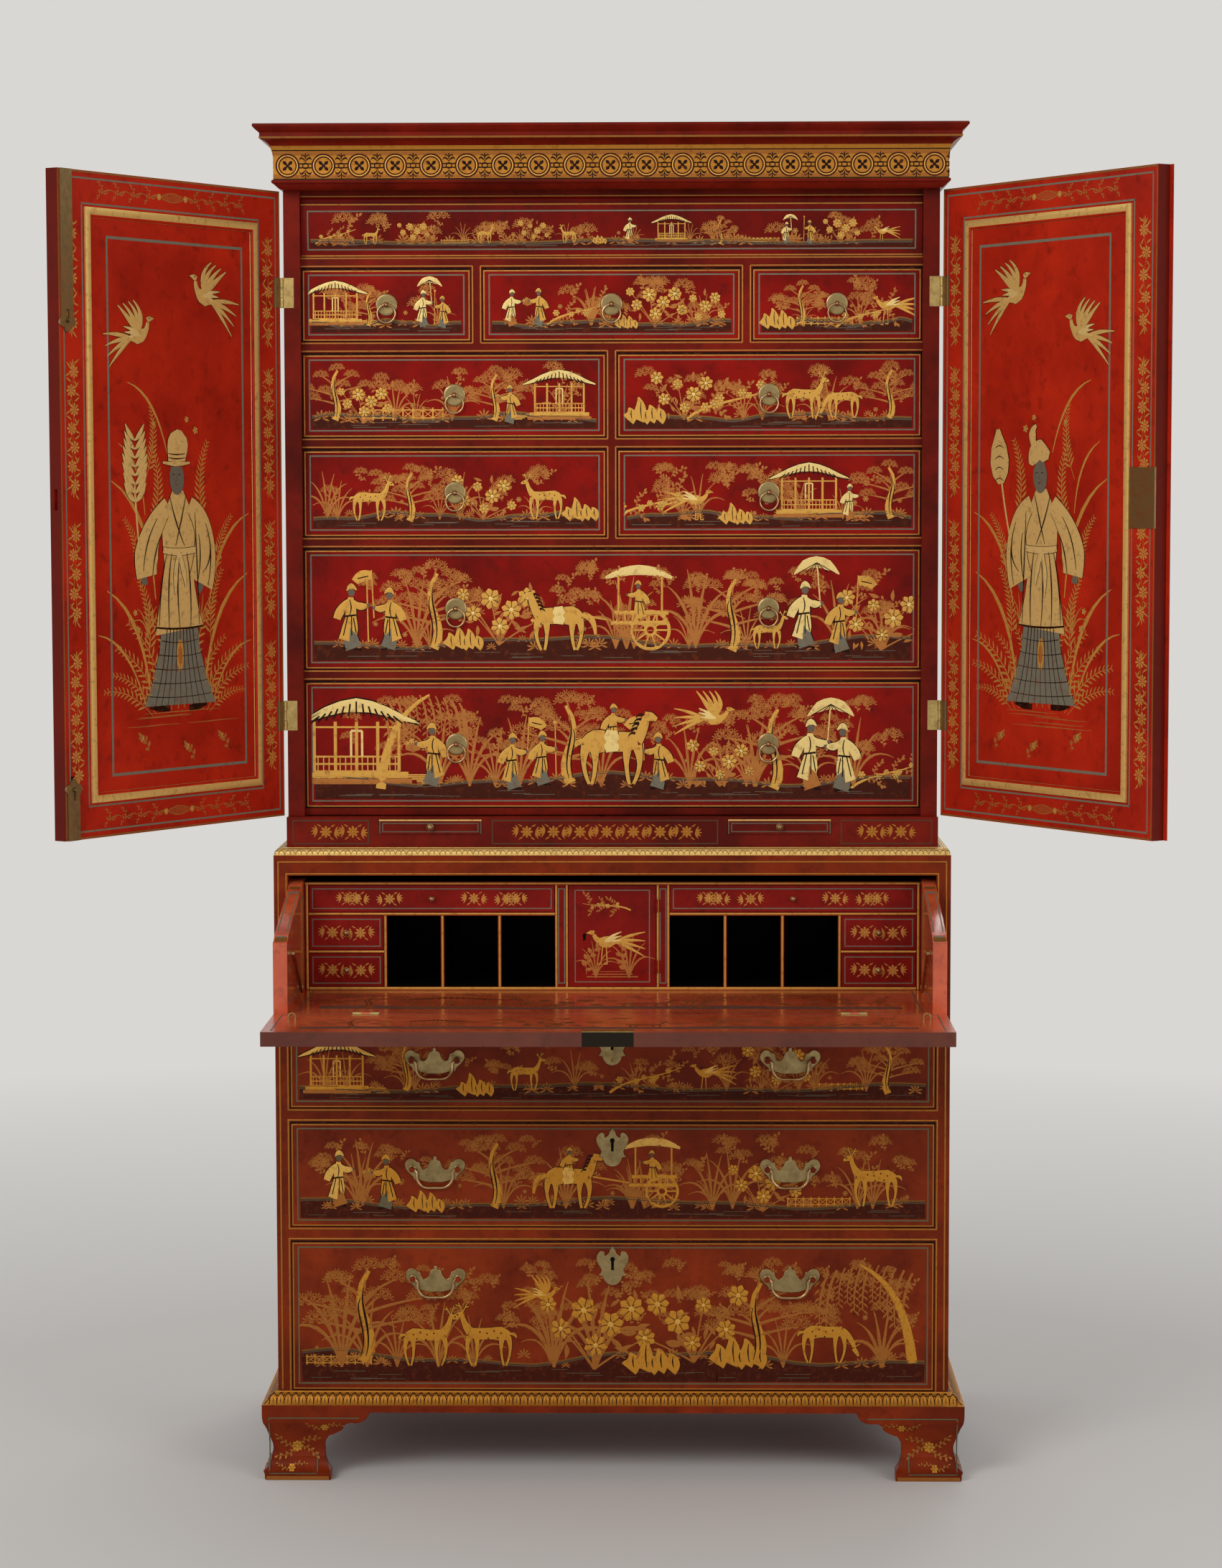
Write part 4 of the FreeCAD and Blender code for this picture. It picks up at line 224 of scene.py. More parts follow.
def dress(material, *nodes):
    """Give CAD nodes a material in each of their slots."""
    for node in nodes:
        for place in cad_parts[node].material_slots:
            place.material = material


def millimetres(node):
    """The lowest and highest corner of a CAD node in millimetres."""
    low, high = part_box(node)
    return np.array(low) * 1000, np.array(high) * 1000


lower_red = lacquer("brick_red_lacquer_over_gesso", "8c300f", "5f1e0a")
crimson = lacquer("crimson_lacquer_over_gesso", "801c0c", "541007", dusty=2004)
dress(lower_red, "lower_carcase", "lower_drawer_rails", "base_moulding", "bracket_feet", "waist_moulding")
dress(crimson, "upper_carcase", "upper_drawer_rails", "candle_plinth", "cornice")

LOWER_FRONT, LOWER_HALF, LOWER_OPENING = -74.7, 525.0, 503.0
UPPER_HALF, UPPER_OPENING = 506.0, 480.6
RAIL_FRONT, PLINTH = -9.7, -55.7
X, Y, Z = np.eye(3)


# Backs: wide upright oak boards, left rough from the plane and nailed into both cases. The eye sees brown
# wood with streaked grain and dust.
oak, tree, place = new_material("old_oak_from_the_plane")
stretched = add(tree, "Mapping", {"Vector": place, "Scale": (16.0, 1.0, 1.2)})
grain = add(tree, "TexNoise", {"Vector": stretched.outputs[0], "Scale": 12.0,
                               "Detail": 8.0, "Roughness": 0.6})
pores = add(tree, "TexNoise", {"Vector": stretched.outputs[0], "Scale": 90.0, "Detail": 4.0})
brown = add(tree, "ValToRGB", {0: grain.outputs[0]})
brown.color_ramp.elements[0].position, brown.color_ramp.elements[1].position = 0.32, 0.7
brown.color_ramp.elements[0].color, brown.color_ramp.elements[1].color = linear("4a3019"), linear("8c6a42")
rough_sawn = add(tree, "Bump", {"Height": pores.outputs[0], "Strength": 0.4, "Distance": 0.001})
shader = add(tree, "BsdfPrincipled", {
    "Base Color": brown.outputs[0], "Roughness": 0.72, "Normal": rough_sawn.outputs[0],
})
add(tree, "OutputMaterial", {0: shader.outputs[0]})
dress(oak, "back_boards")


# Gilding: leaf and bronze powder laid on raised size, with the drawing in dark lines over it. The eye sees
# warm old gold, paler on the raised parts, coppery in the thin lines, with the red showing through the wear.
STEPS = 9


def gold_leaf(name, stops, metal=0.5):
    """A finish that reads the brush stroke's tone, from dark line through grey and copper to pale gold."""
    material, tree, place = new_material(name)
    tone = add(tree, "Attribute", attribute_name="tone").outputs["Fac"]
    ramp = add(tree, "ValToRGB", {0: tone})
    for position, code in stops[1:-1]:
        ramp.color_ramp.elements.new(position).color = linear(code)
    ramp.color_ramp.elements[0].color = linear(stops[0][1])
    ramp.color_ramp.elements[-1].color = linear(stops[-1][1])
    worn = add(tree, "TexNoise", {"Vector": place, "Scale": 95.0, "Detail": 7.0, "Roughness": 0.75})
    wear = add(tree, "MapRange", {0: worn.outputs[0], 1: 0.52, 2: 0.68, 4: 0.55})
    colour = add(tree, "Mix", {0: wear.outputs[0], 6: ramp.outputs[0], 7: linear("7a3a18")}, data_type="RGBA")
    shine = add(tree, "MapRange", {0: tone, 1: 0.28, 2: 0.5, 4: metal})
    rough = add(tree, "MapRange", {0: worn.outputs[0], 1: 0.3, 2: 0.7, 3: 0.34, 4: 0.58})
    shader = add(tree, "BsdfPrincipled", {
        "Base Color": colour.outputs[2], "Metallic": shine.outputs[0], "Roughness": rough.outputs[0],
        "Specular IOR Level": 0.08,
    })
    add(tree, "OutputMaterial", {0: shader.outputs[0]})
    return material


INK, UMBER, GREY, DULL, COPPER, GOLD, PALE_GOLD = 0.0, 0.1, 0.2, 0.33, 0.45, 0.7, 1.0
old_gold = gold_leaf("aged_gold_leaf_on_raised_size", (
    (0, "220d07"), (0.1, "44190d"), (0.2, "777362"), (0.33, "86602f"), (0.45, "b5743a"),
    (0.7, "d9a54e"), (1, "efd287"),
))
dim_gold = gold_leaf("rubbed_gold_powder_on_raised_size", (
    (0, "1f0c07"), (0.1, "401409"), (0.2, "625f48"), (0.33, "785023"), (0.45, "a1642c"),
    (0.7, "c4872f"), (1, "dcab55"),
))


def brush(points, half, tone=GOLD, lift=0.0, steps=STEPS):
    """A brush stroke: the Bezier curve of its control points read at even steps, with the half widths
    spread along it. Each step holds x, y, half width, tone and lift."""
    t = np.linspace(0, 1, steps)
    points = np.asarray(points, float)
    n = len(points) - 1
    share = np.stack([math.comb(n, i) * t**i * (1 - t) ** (n - i) for i in range(n + 1)], 1)
    width = np.interp(t, np.linspace(0, 1, len(half)), half)
    return np.column_stack([share @ points, width, np.full(steps, tone), np.full(steps, lift)])[None]


def band(x, y, half, tone, lift=0.0):
    """Strokes from arrays of points, with their half width, tone and lift set beside each point."""
    return np.stack(np.broadcast_arrays(x, y, half, tone, lift), -1)


def rods(ends, half, tone=GOLD, lift=0.0):
    """Straight strokes of even width between pairs of ends, given as rows of x0, y0, x1, y1."""
    x0, y0, x1, y1 = np.atleast_2d(np.asarray(ends, float)).T[..., None]
    t = np.linspace(0, 1, STEPS)
    return band(x0 + (x1 - x0) * t, y0 + (y1 - y0) * t, half, tone, lift)


def disc(x, y, radius, tone=GOLD, lift=0.0):
    """A round spot: a stroke whose half width follows a circle."""
    t = np.linspace(-0.999, 0.999, STEPS)
    return brush([(x - radius, y), (x + radius, y)], radius * np.sqrt(1 - t**2), tone, lift)


def circle(x, y, radius, half, tone=GOLD, lift=0.0):
    """A drawn circle in four quarter strokes."""
    bend = 0.5523 * radius
    quarter = brush([(radius, 0), (radius, bend), (bend, radius), (0, radius)], (half, half), tone, lift)
    return copies(quarter, x, y, 1, np.arange(4) * np.pi / 2)


def copies(drawing, x, y, size=1.0, turn=0.0, flip=1.0):
    """A drawing set down many times: every copy is mirrored, scaled, turned and moved, all at once."""
    values = np.broadcast_arrays(*[np.atleast_1d(np.asarray(v, float)) for v in (x, y, size, turn, flip)])
    x, y, size, turn, flip = [v.reshape(-1, 1, 1) for v in values]
    out = np.repeat(drawing[None], len(x), 0)
    across, up = out[..., 0] * flip * size, out[..., 1] * size
    out[..., 0] = x + across * np.cos(turn) - up * np.sin(turn)
    out[..., 1] = y + across * np.sin(turn) + up * np.cos(turn)
    out[..., 2] *= size
    return out.reshape(-1, drawing.shape[1], 5)


def both_ways(drawing):
    """A drawing and its mirror image."""
    return copies(drawing, 0, 0, 1, 0, (1, -1))


def finish_gilding(piece, tones, body, paint):
    """Give a gilt piece the tone of each of its points, its finish and the body that it rides on."""
    value = piece.data.attributes.new("tone", "FLOAT", "POINT")
    value.data.foreach_set("value", tones.astype(np.float32))
    piece.data.materials.append(paint or old_gold)
    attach(piece, body)


def gild(name, drawing, origin, across, up, body, paint=None, face=None, limits=None):
    """Lay a drawing on a surface. Every stroke becomes a ribbon three points wide, whose middle is raised by
    a share of its width. The flat point (x, y) goes to origin + x * across + y * up, out by the face."""
    x, y, half, tone, lift = np.moveaxis(drawing, -1, 0)
    run = np.stack([np.gradient(x, axis=1), np.gradient(y, axis=1)])
    run = run / np.maximum(np.hypot(run[0], run[1]), 1e-6)
    half = np.maximum(half, 0.05)[..., None]
    edge = np.array([1.0, 0.0, -1.0])
    px = x[..., None] - run[1][..., None] * half * edge
    py = y[..., None] + run[0][..., None] * half * edge
    if limits:
        px, py = np.clip(px, limits[0], limits[2]), np.clip(py, limits[1], limits[3])
    swell = np.where(lift[..., None] < 0, 0, 0.05 + 0.11 * np.minimum(half, 3))
    out = 0.08 + 0.34 * lift[..., None] + swell * (edge == 0)
    if face is not None:
        out = out + face(px, py)
    across, up = np.asarray(across, float), np.asarray(up, float)
    points = np.asarray(origin, float) + px[..., None] * across + py[..., None] * up
    points = points + out[..., None] * np.cross(across, up)
    count, steps = x.shape
    strip = grid(steps, 3)[:, ::-1]
    faces = (strip[None] + (np.arange(count) * steps * 3)[:, None, None]).reshape(-1, 4)
    finish_gilding(solid(name, points, [faces]), np.repeat(tone.ravel(), 3), body, paint)


def carried(path, section, out, closed=True, wide=True):
    """A section carried along a flat path and mitred at its corners. The section's first number runs to the
    left of the path and its second along out, the direction that the path's plane faces."""
    path, section, out = np.asarray(path, float), np.asarray(section, float), np.asarray(out, float)
    ahead = np.roll(path, -1, 0) - path
    behind = path - np.roll(path, 1, 0)
    if not closed:
        ahead[-1], behind[0] = behind[-1], ahead[0]
    ahead /= np.linalg.norm(ahead, axis=1)[:, None]
    behind /= np.linalg.norm(behind, axis=1)[:, None]
    left = np.cross(out, ahead) + np.cross(out, behind)
    left /= np.linalg.norm(left, axis=1)[:, None]
    if wide:
        left /= np.maximum(np.abs(np.sum(left * np.cross(out, ahead), 1)), 0.3)[:, None]
    points = path[:, None] + section[None, :, :1] * left[:, None] + section[None, :, 1:] * out
    faces = [grid(len(path), len(section), closed, True)]
    if not closed:
        ring = np.arange(len(section))[None]
        faces += [ring, ring + (len(path) - 1) * len(section)]
    return points.reshape(-1, 3), faces


def together(parts):
    """Several meshes as one: points stacked and face numbers moved on."""
    points, faces, count = [], [], 0
    for part, sets in parts:
        part = np.asarray(part).reshape(-1, 3)
        points.append(part)
        faces += [f + count for f in sets]
        count += len(part)
    return np.concatenate(points), faces


def plain_gold(name, parts, body, tone=0.78, paint=None):
    """Turned or carried gilt work as one welded piece of even tone."""
    piece = solid(name, *together(parts), weld=True)
    finish_gilding(piece, np.full(len(piece.data.vertices), tone), body, paint)


def half_round(width, height):
    """The section of a bead: half an ellipse that stands on its flat side."""
    turn = np.linspace(0, np.pi, 7)
    return np.column_stack([width / 2 * np.cos(turn), height * np.sin(turn)])


def frame_path(x0, z0, x1, z1, y):
    """The four corners of an upright rectangle that faces the front."""
    return [(x0, y, z0), (x1, y, z0), (x1, y, z1), (x0, y, z1)]


# Front beads: rounded fillets of pine round every drawer opening and round the front of the lower case, glued
# to rails and sides and gilt over red bole.
lower_rows = {"deep": (138.6, 377.0), "middle": (398.0, 564.6),
              "shallow": (585.6, 724.0), "desk": (745.0, 950.6)}
beads = []
for low, high in lower_rows.values():
    foot = low - 2.6 if low > 139 else low - 3.2
    path = frame_path(-LOWER_OPENING - 2.6, foot, LOWER_OPENING + 2.6, high + 2.6, LOWER_FRONT)
    beads.append(carried(path, half_round(2.8, 1.3), -Y))
plain_gold("lower_front_beads", beads, "case", 0.5, dim_gold)
outer = [(518, LOWER_FRONT, 140), (518, LOWER_FRONT, 971.8), (-518, LOWER_FRONT, 971.8),
         (-518, LOWER_FRONT, 140)]
plain_gold("lower_case_outer_bead", [carried(outer, half_round(2.8, 1.3), -Y, closed=False)], "case", 0.5,
           dim_gold)

divider = 8.6
trio = (200.4, 217.6)
upper_openings = [
    (-UPPER_OPENING, 1050.2, UPPER_OPENING, 1250.3), (-UPPER_OPENING, 1267.3, UPPER_OPENING, 1456.8),
    (-UPPER_OPENING, 1473.8, -divider, 1610.8), (divider, 1473.8, UPPER_OPENING, 1610.8),
    (-UPPER_OPENING, 1627.8, -divider, 1759.2), (divider, 1627.8, UPPER_OPENING, 1759.2),
    (-UPPER_OPENING, 1776.2, -trio[1], 1889.9), (-trio[0], 1776.2, trio[0], 1889.9),
    (trio[1], 1776.2, UPPER_OPENING, 1889.9), (-UPPER_OPENING, 1906.9, UPPER_OPENING, 2000.2),
]
rail_bead, beads = half_round(2.6, 1.1), []
for x0, z0, x1, z1 in upper_openings:
    left, right = (x if abs(x) > 480 else x + by for x, by in ((x0, -2.4), (x1, 2.4)))
    low, high = max(z0 - 2.4, 1051), (z1 - 0.5 if z1 > 2000 else z1 + 2.4)
    rails = [((left, z), (right, z)) for z in (low, high)[z0 < 1051:]]
    rails += [((x, low), (x, high)) for x in (left, right) if abs(x) < 480]
    beads += [carried([(x, RAIL_FRONT, z) for x, z in rail], rail_bead, -Y, closed=False) for rail in rails]
plain_gold("upper_rail_beads", beads, "case", 0.46)


# Base, waist and cornice mouldings: run in pine with planes, mitred at the corners and gessoed. Their hollows
# carry a band of gold leaf, drawn over in dark red with rows of leaves and roundels.
def wrap(half, front, back=485.3):
    """The path round the front and both sides of a case, taken so that outwards lies to its left."""
    return [(half, back, 0), (half, front, 0), (-half, front, 0), (-half, back, 0)]


def gilt_band(name, levels, outs, half, front, tone=0.72, paint=None):
    """A leaf of gold wrapped round a moulding: the line of outs over levels, carried round three sides."""
    levels, outs = np.asarray(levels, float), np.asarray(outs, float)
    section = np.concatenate([np.column_stack([outs + 0.2, levels]),
                              np.column_stack([outs - 0.6, levels])[::-1]])
    plain_gold(name, [carried(wrap(half, front), section, Z, closed=False)], "case", tone, paint)


def drawn_round(name, make, levels, outs, half, front, depth, paint=None):
    """A drawn band on the front and both sides of a moulding.
    make(width) gives the drawing from 0 to width."""
    def face(px, py):
        return np.interp(py, levels, outs) + 0.25
    wide, back = half + max(outs), 485
    sides = (
        ("front", 2 * wide, (-wide, front, 0), X), ("left", depth, (-half, back, 0), -Y),
        ("right", depth, (half, back - depth, 0), Y),
    )
    for word, width, origin, across in sides:
        drawing = make(width)
        if word == "front":
            mitre = half + np.interp(drawing[..., 1], levels, outs)
            drawing[..., 0] = wide + np.clip(drawing[..., 0] - wide, -mitre, mitre)
        gild(f"{name}_{word}", drawing, origin, across, Z, "case", paint, face, (0, -1e4, width, 1e4))


def moulded(table, reach, height, foot):
    """How far a moulding stands out, and its levels, from a table of
    shares. A step of two numbers is a straight line to that point; a step
    of four is the arc of the circle through its middle point to its end."""
    line = [np.array(table[0]) * (reach, height)]
    for step in table[1:]:
        points = np.reshape(step, (-1, 2)) * (reach, height)
        if len(points) > 1:
            three = np.array([line[-1], *points])
            centre = np.linalg.solve(2 * (three[1:] - three[0]), np.sum(three[1:] ** 2 - three[0] ** 2, 1))
            away = three - centre
            turn = np.unwrap(np.arctan2(away[:, 1], away[:, 0]))
            turn = np.interp(np.linspace(0, 2, 9)[1:], [0, 1, 2], turn)
            points = centre + np.hypot(*away[0]) * np.column_stack([np.cos(turn), np.sin(turn)])
        line += list(points)
    outs, levels = np.array(line).T
    return outs, foot + levels


BASE_REACH, BASE_FOOT = 24, 109
base_shares = ((1, 0.38), (0.91, 0.41), (0.74, 0.52, 0.6, 0.66), (0.46, 0.83, 0.16, 0.93), (0.14, 1))
base_outs, base_levels = moulded(base_shares, BASE_REACH, 29.6, BASE_FOOT)
gilt_band("base_moulding_gilding", base_levels, base_outs, LOWER_HALF, LOWER_FRONT, 0.62, dim_gold)


def leaf_row(low, high, pitch):
    """A row of upright leaves between two levels: pointed arches with a rib, drawn in dark lines."""
    def make(width):
        count = int(width / pitch)
        x = (np.arange(count) + 0.5) * width / count
        tall = high - low
        arch = brush([(-pitch / 2, 0), (-pitch / 2, tall * 0.7), (-pitch / 4, tall), (0, tall)], (0.5, 0.6),
                     INK, 1)
        rib = rods([(0, tall * 0.1, 0, tall * 0.6)], 0.45, INK, 1)
        dot = disc(pitch / 2, tall * 0.82, 1.1, INK, 1)
        return copies(np.concatenate([both_ways(arch), rib, dot]), x, low)
    return make


drawn_round("base_leaf_row", leaf_row(122, 136.2, 11.5), base_levels, base_outs, LOWER_HALF,
            LOWER_FRONT, 560, dim_gold)

waist_shares = ((1, 0.14), (0.93, 0.2), (0.8, 0.74, 0.26, 0.93), (0.24, 1))
waist_outs, waist_levels = moulded(waist_shares, 19, 13.2, 980)
gilt_band("waist_moulding_gilding", waist_levels, waist_outs, UPPER_HALF, PLINTH, 0.86)


def scallops(width):
    """A row of flat scalloped leaves along the waist moulding, drawn in dark lines on the gold."""
    count = int(width / 17)
    x = (np.arange(count) + 0.5) * width / count
    curl = brush([(-8.5, 983.4), (-8, 990), (0, 992.4), (0, 985)], (0.3, 0.55, 0.3), 0.28, 1)
    eye = disc(0, 984.6, 0.8, 0.28, 1)
    return copies(np.concatenate([both_ways(curl), eye]), x, 0)


drawn_round("waist_scallops", scallops, waist_levels, waist_outs, UPPER_HALF, PLINTH, 541)

CORNICE_FOOT, CORNICE_TALL, CORNICE_REACH = 2006.4, 97, 39.6
cornice_levels = CORNICE_FOOT + CORNICE_TALL * np.array([0.12, 0.15, 0.32, 0.48, 0.55, 0.62, 0.67])
cornice_outs = CORNICE_REACH * np.array([0.30, 0.263, 0.263, 0.263, 0.285, 0.33, 0.40])
gilt_band("cornice_gilding", cornice_levels, cornice_outs, UPPER_HALF, PLINTH, 0.6, dim_gold)


def petals(count, length, width, tone=GOLD, near=0.12):
    """Petals set round a centre: blunt strokes that widen towards their ends."""
    one = brush([(near * length, 0), (length, 0)], np.array([0.1, 0.5, 0.9, 1, 0.75, 0.1]) * width, tone)
    return copies(one, 0, 0, 1, np.arange(count) * 2 * np.pi / count)


def roundels(width):
    """Interlaced roundels with four-petalled flowers, bars between them and palmettes above and below."""
    pitch = 56.0
    count = int(round(width / pitch))
    pitch = width / count
    x = (np.arange(count) + 0.5) * pitch
    z = 2041.5
    ring = np.concatenate([circle(0, 0, 17.2, 1.2, UMBER, 1), circle(0, 0, 13.2, 0.9, UMBER, 1),
                           circle(0, 0, 15.2, 0.7, PALE_GOLD, 1.2)])
    flower = np.concatenate([petals(4, 10, 2.6, INK), petals(4, 7, 1.0, INK), disc(0, 0, 2.4, INK, 1)])
    flower[..., 4] = 1
    flower = copies(flower, 0, 0, 1, np.pi / 4)
    bar = rods([(17.2, 3, pitch - 17.2, 3), (17.2, -3, pitch - 17.2, -3)], 0.9, INK, 1)
    knot = circle(pitch / 2, 0, 4.2, 0.8, INK, 1)
    leaf = brush([(0, 0), (3, 6), (8, 8), (9, 3)], (0.3, 1.2, 1.4, 0.3), INK, 1)
    stem = rods([(0, 4, 0, 13)], 0.8, INK, 1)
    palm = np.concatenate([both_ways(leaf), stem, copies(both_ways(leaf), 0, 6, 0.7)])
    palms = np.concatenate([copies(palm, pitch / 2, 6), copies(palm, pitch / 2, -6, 1, np.pi)])
    unit = np.concatenate([ring, flower, bar, knot, palms])
    edge = rods([(0, 2021.6, width, 2021.6), (0, 2064.5, width, 2064.5)], 0.8, INK, 1)
    cloud = rods([(0, 2026, width, 2026), (0, 2060, width, 2060)], 2.6, COPPER, 0.2)
    return np.concatenate([cloud, copies(unit, x, z), edge])


drawn_round("cornice_roundels", roundels, cornice_levels, cornice_outs, UPPER_HALF, PLINTH, 541, dim_gold)
for name, low, high, low_out, high_out, tone in (
    ("cornice_lower_bead", 2008.6, 2012.6, 3.2, 6.2, 0.5),
    ("cornice_upper_line", 2081.6, 2084.6, 29.5, 29.5, 0.4),
):
    gilt_band(name, (low, (low + high) / 2, high), (low_out, (low_out + high_out) / 2 + 1, high_out),
              UPPER_HALF, PLINTH, tone)


# Feet: ogee brackets cut from pine blocks and mitred at the corner, painted with crossed sprays between
# double lines, with a gilt fillet along the ground.
def leafy(count, length, width, tone, seed=1, bend=0.25):
    """A stem with leaves set to either side in turn, growing from 0 to 1 along X."""
    rng = np.random.default_rng(seed)
    stem = brush([(0, 0), (0.35, bend), (0.7, bend * 0.6), (1, 0)], (0.012, 0.02, 0.008), tone)
    at = stem[0, np.linspace(1, STEPS - 2, count).astype(int), :2]
    leaf = brush([(0, 0), (0.5, 0.14), (1, 0)], np.array([0.05, 0.8, 1, 0.7, 0.05]) * width / length, tone)
    turn = np.where(np.arange(count) % 2, 0.95, -0.95) + rng.uniform(-0.2, 0.2, count)
    leaves = copies(leaf, at[:, 0], at[:, 1], length * rng.uniform(0.8, 1.15, count), turn)
    tip = copies(leaf, 1, 0, length, 0)
    return np.concatenate([stem, leaves, tip])


def blossom(count=6, tone=GOLD):
    """A flower of radius one: petals, a ring of dark lines and a pale heart."""
    dark = copies(brush([(0.25, 0), (0.8, 0)], (0.03, 0.02), INK, 1), 0, 0, 1,
                  (np.arange(count) + 0.5) * 2 * np.pi / count)
    return np.concatenate([petals(count, 1, 0.34, tone), dark, disc(0, 0, 0.2, PALE_GOLD, 0.6),
                           disc(0, 0, 0.09, INK, 1)])


foot_levels = BASE_FOOT * np.array([0, 0.09, 0.14, 0.21, 0.33, 0.45, 0.56, 0.69, 0.84, 0.95, 1])
foot_outs = BASE_REACH * np.array([0.8, 0.86, 0.92, 0.62, 0.42, 0.34, 0.42, 0.62, 0.92, 1.0, 1.0])


def on_foot(px, py):
    """How far the ogee stands out from the case front at each height."""
    return np.interp(py, foot_levels, foot_outs) + 0.5


foot_spray = np.concatenate([
    copies(leafy(8, 0.2, 0.05, COPPER, 3), 52, 52, 34, (0.35, 2.6, -0.5, 3.6)), copies(blossom(8), 52, 52, 9),
    copies(leafy(6, 0.2, 0.05, COPPER, 4), 96, 84, 26, (0.1, 2.9)), copies(blossom(6), 96, 84, 6),
    copies(leafy(6, 0.2, 0.05, COPPER, 5), 44, 20, 22, (0.2, 2.9)), copies(blossom(6), 44, 20, 6),
])
foot_lines = rods([(9, 14, 9, 100), (9, 100, 150, 100), (84, 14, 84, 40), (9, 11, 84, 11)], 1.0, GREY)
foot_fillet = rods([(4, 3.6, 102, 3.6)], 3.0, COPPER)
foot_paint = np.concatenate([foot_spray, foot_lines, foot_fillet])
for word, sign in (("left", -1), ("right", 1)):
    corner = sign * (LOWER_HALF + 22)
    drawing = copies(foot_paint, 0, 0, 1, 0, -sign)
    gild(f"{word}_foot_front_painting", drawing, (corner, LOWER_FRONT, 0), X, Z, "case", dim_gold, on_foot)
    side_drawing = copies(foot_paint, 0, 0, 1, 0, sign)
    gild(f"{word}_foot_side_painting", side_drawing, (sign * LOWER_HALF, LOWER_FRONT - 22, 0), sign * Y, Z,
         "case", dim_gold, on_foot)


# Motifs of the drawer fronts: trees, rocks, houses, people and beasts in the common manner of japanned work,
# each drawn about one unit high on a ground line at 0, built up in gold with dark lines over it.
def outlined(drawing, by=0.016):
    """A drawing with every stroke repeated beneath it, a little wider, in ink."""
    under = drawing.copy()
    under[..., 2] += by
    under[..., 3] = INK
    over = drawing.copy()
    over[..., 4] += 0.5
    return np.concatenate([under, over])


def lobe(rays=6, tone=COPPER):
    """One rounded lobe of foliage: short blunt needles that spread from its foot."""
    needle = brush([(0.12, 0), (1, 0)], (0.03, 0.08, 0.12, 0.03), tone)
    return copies(needle, 0, 0, 1, np.linspace(-0.35, np.pi + 0.35, rays))


def cloud(tone=COPPER):
    """A flat cloud of seven lobes, about two units wide and one high."""
    return copies(lobe(6, tone), (-0.72, -0.3, 0.2, 0.68, -0.5, 0.0, 0.48),
                  (0, 0.05, 0.02, -0.02, 0.36, 0.46, 0.34), (0.36, 0.4, 0.4, 0.36, 0.32, 0.34, 0.32))


def pine(seed):
    """A leaning trunk with bare branches, each ending in a flat cloud of needles."""
    rng = np.random.default_rng(seed)
    trunk = brush([(0, 0), (0.2, 0.3), (-0.2, 0.5), (0.05, 0.86)], (0.06, 0.05, 0.036, 0.02), GOLD)
    x = np.array([-0.5, -0.24, 0.04, 0.3, 0.54, -0.4, 0.42, 0.14, -0.16])
    y = np.array([0.56, 0.74, 0.9, 0.76, 0.58, 0.38, 0.4, 0.62, 0.52]) + rng.uniform(-0.03, 0.03, 9)
    arms = [brush([(0.0, b * 0.75), (a * 0.4, b * 0.9), (a, b)], (0.018, 0.008), COPPER)
            for a, b in zip(x, y)]
    clouds = copies(cloud(COPPER), x, y, rng.uniform(0.13, 0.18, 9), rng.uniform(-0.15, 0.15, 9))
    lines = [brush([(0.02, 0.05), (0.1, 0.3), (-0.05, 0.5), (0.0, 0.7)], (0.004, 0.012, 0.004), INK, 1),
             brush([(-0.03, 0.05), (0.06, 0.28), (-0.1, 0.46), (-0.03, 0.6)], (0.004, 0.008, 0.004), INK, 1)]
    return np.concatenate([trunk, *arms, clouds, *lines])


def willow(seed):
    """A bent trunk whose long streamers hang down with paired leaves."""
    rng = np.random.default_rng(seed)
    trunk = brush([(-0.3, 0), (-0.25, 0.5), (-0.1, 0.8), (0.2, 0.95)], (0.05, 0.035, 0.012), GOLD)
    streamer = brush([(0, 0), (0.06, -0.1), (0.1, -0.3), (0.08, -0.5)], (0.01, 0.012, 0.004), COPPER)
    leaf = brush([(0, 0), (0.03, -0.02), (0.05, -0.05)], (0.002, 0.011, 0.002), COPPER)
    down = np.linspace(-0.08, -0.46, 6)
    leaves = np.concatenate([copies(leaf, 0.08, down), copies(leaf, 0.08, down - 0.03, 1, 0, -1)])
    x = np.linspace(-0.3, 0.5, 11)
    return np.concatenate([trunk, copies(np.concatenate([streamer, leaves]), x, 0.95 - 0.5 * (x - 0.1) ** 2,
                                         rng.uniform(0.7, 1.2, 11))])


def rock(seed):
    """A heap of leaning stones with dark clefts."""
    rng = np.random.default_rng(seed)
    x = np.array([-0.36, 0.38, -0.12, 0.16, 0.0])
    high = np.array([0.32, 0.3, 0.5, 0.42, 0.24]) * rng.uniform(0.85, 1.2, 5)
    stones = [brush([(a - 0.04, 0), (a + 0.1, h / 2), (a - 0.02, h)], (0.17, 0.16, 0.11, 0.02))
              for a, h in zip(x, high)]
    clefts = [brush([(a + 0.06, 0.03), (a + 0.02, h * 0.5), (a + 0.05, h * 0.8)],
                    (0.006, 0.014, 0.004), INK, 2)
              for a, h in zip(x, high)]
    return np.concatenate([outlined(stone, 0.012) for stone in stones] + clefts)


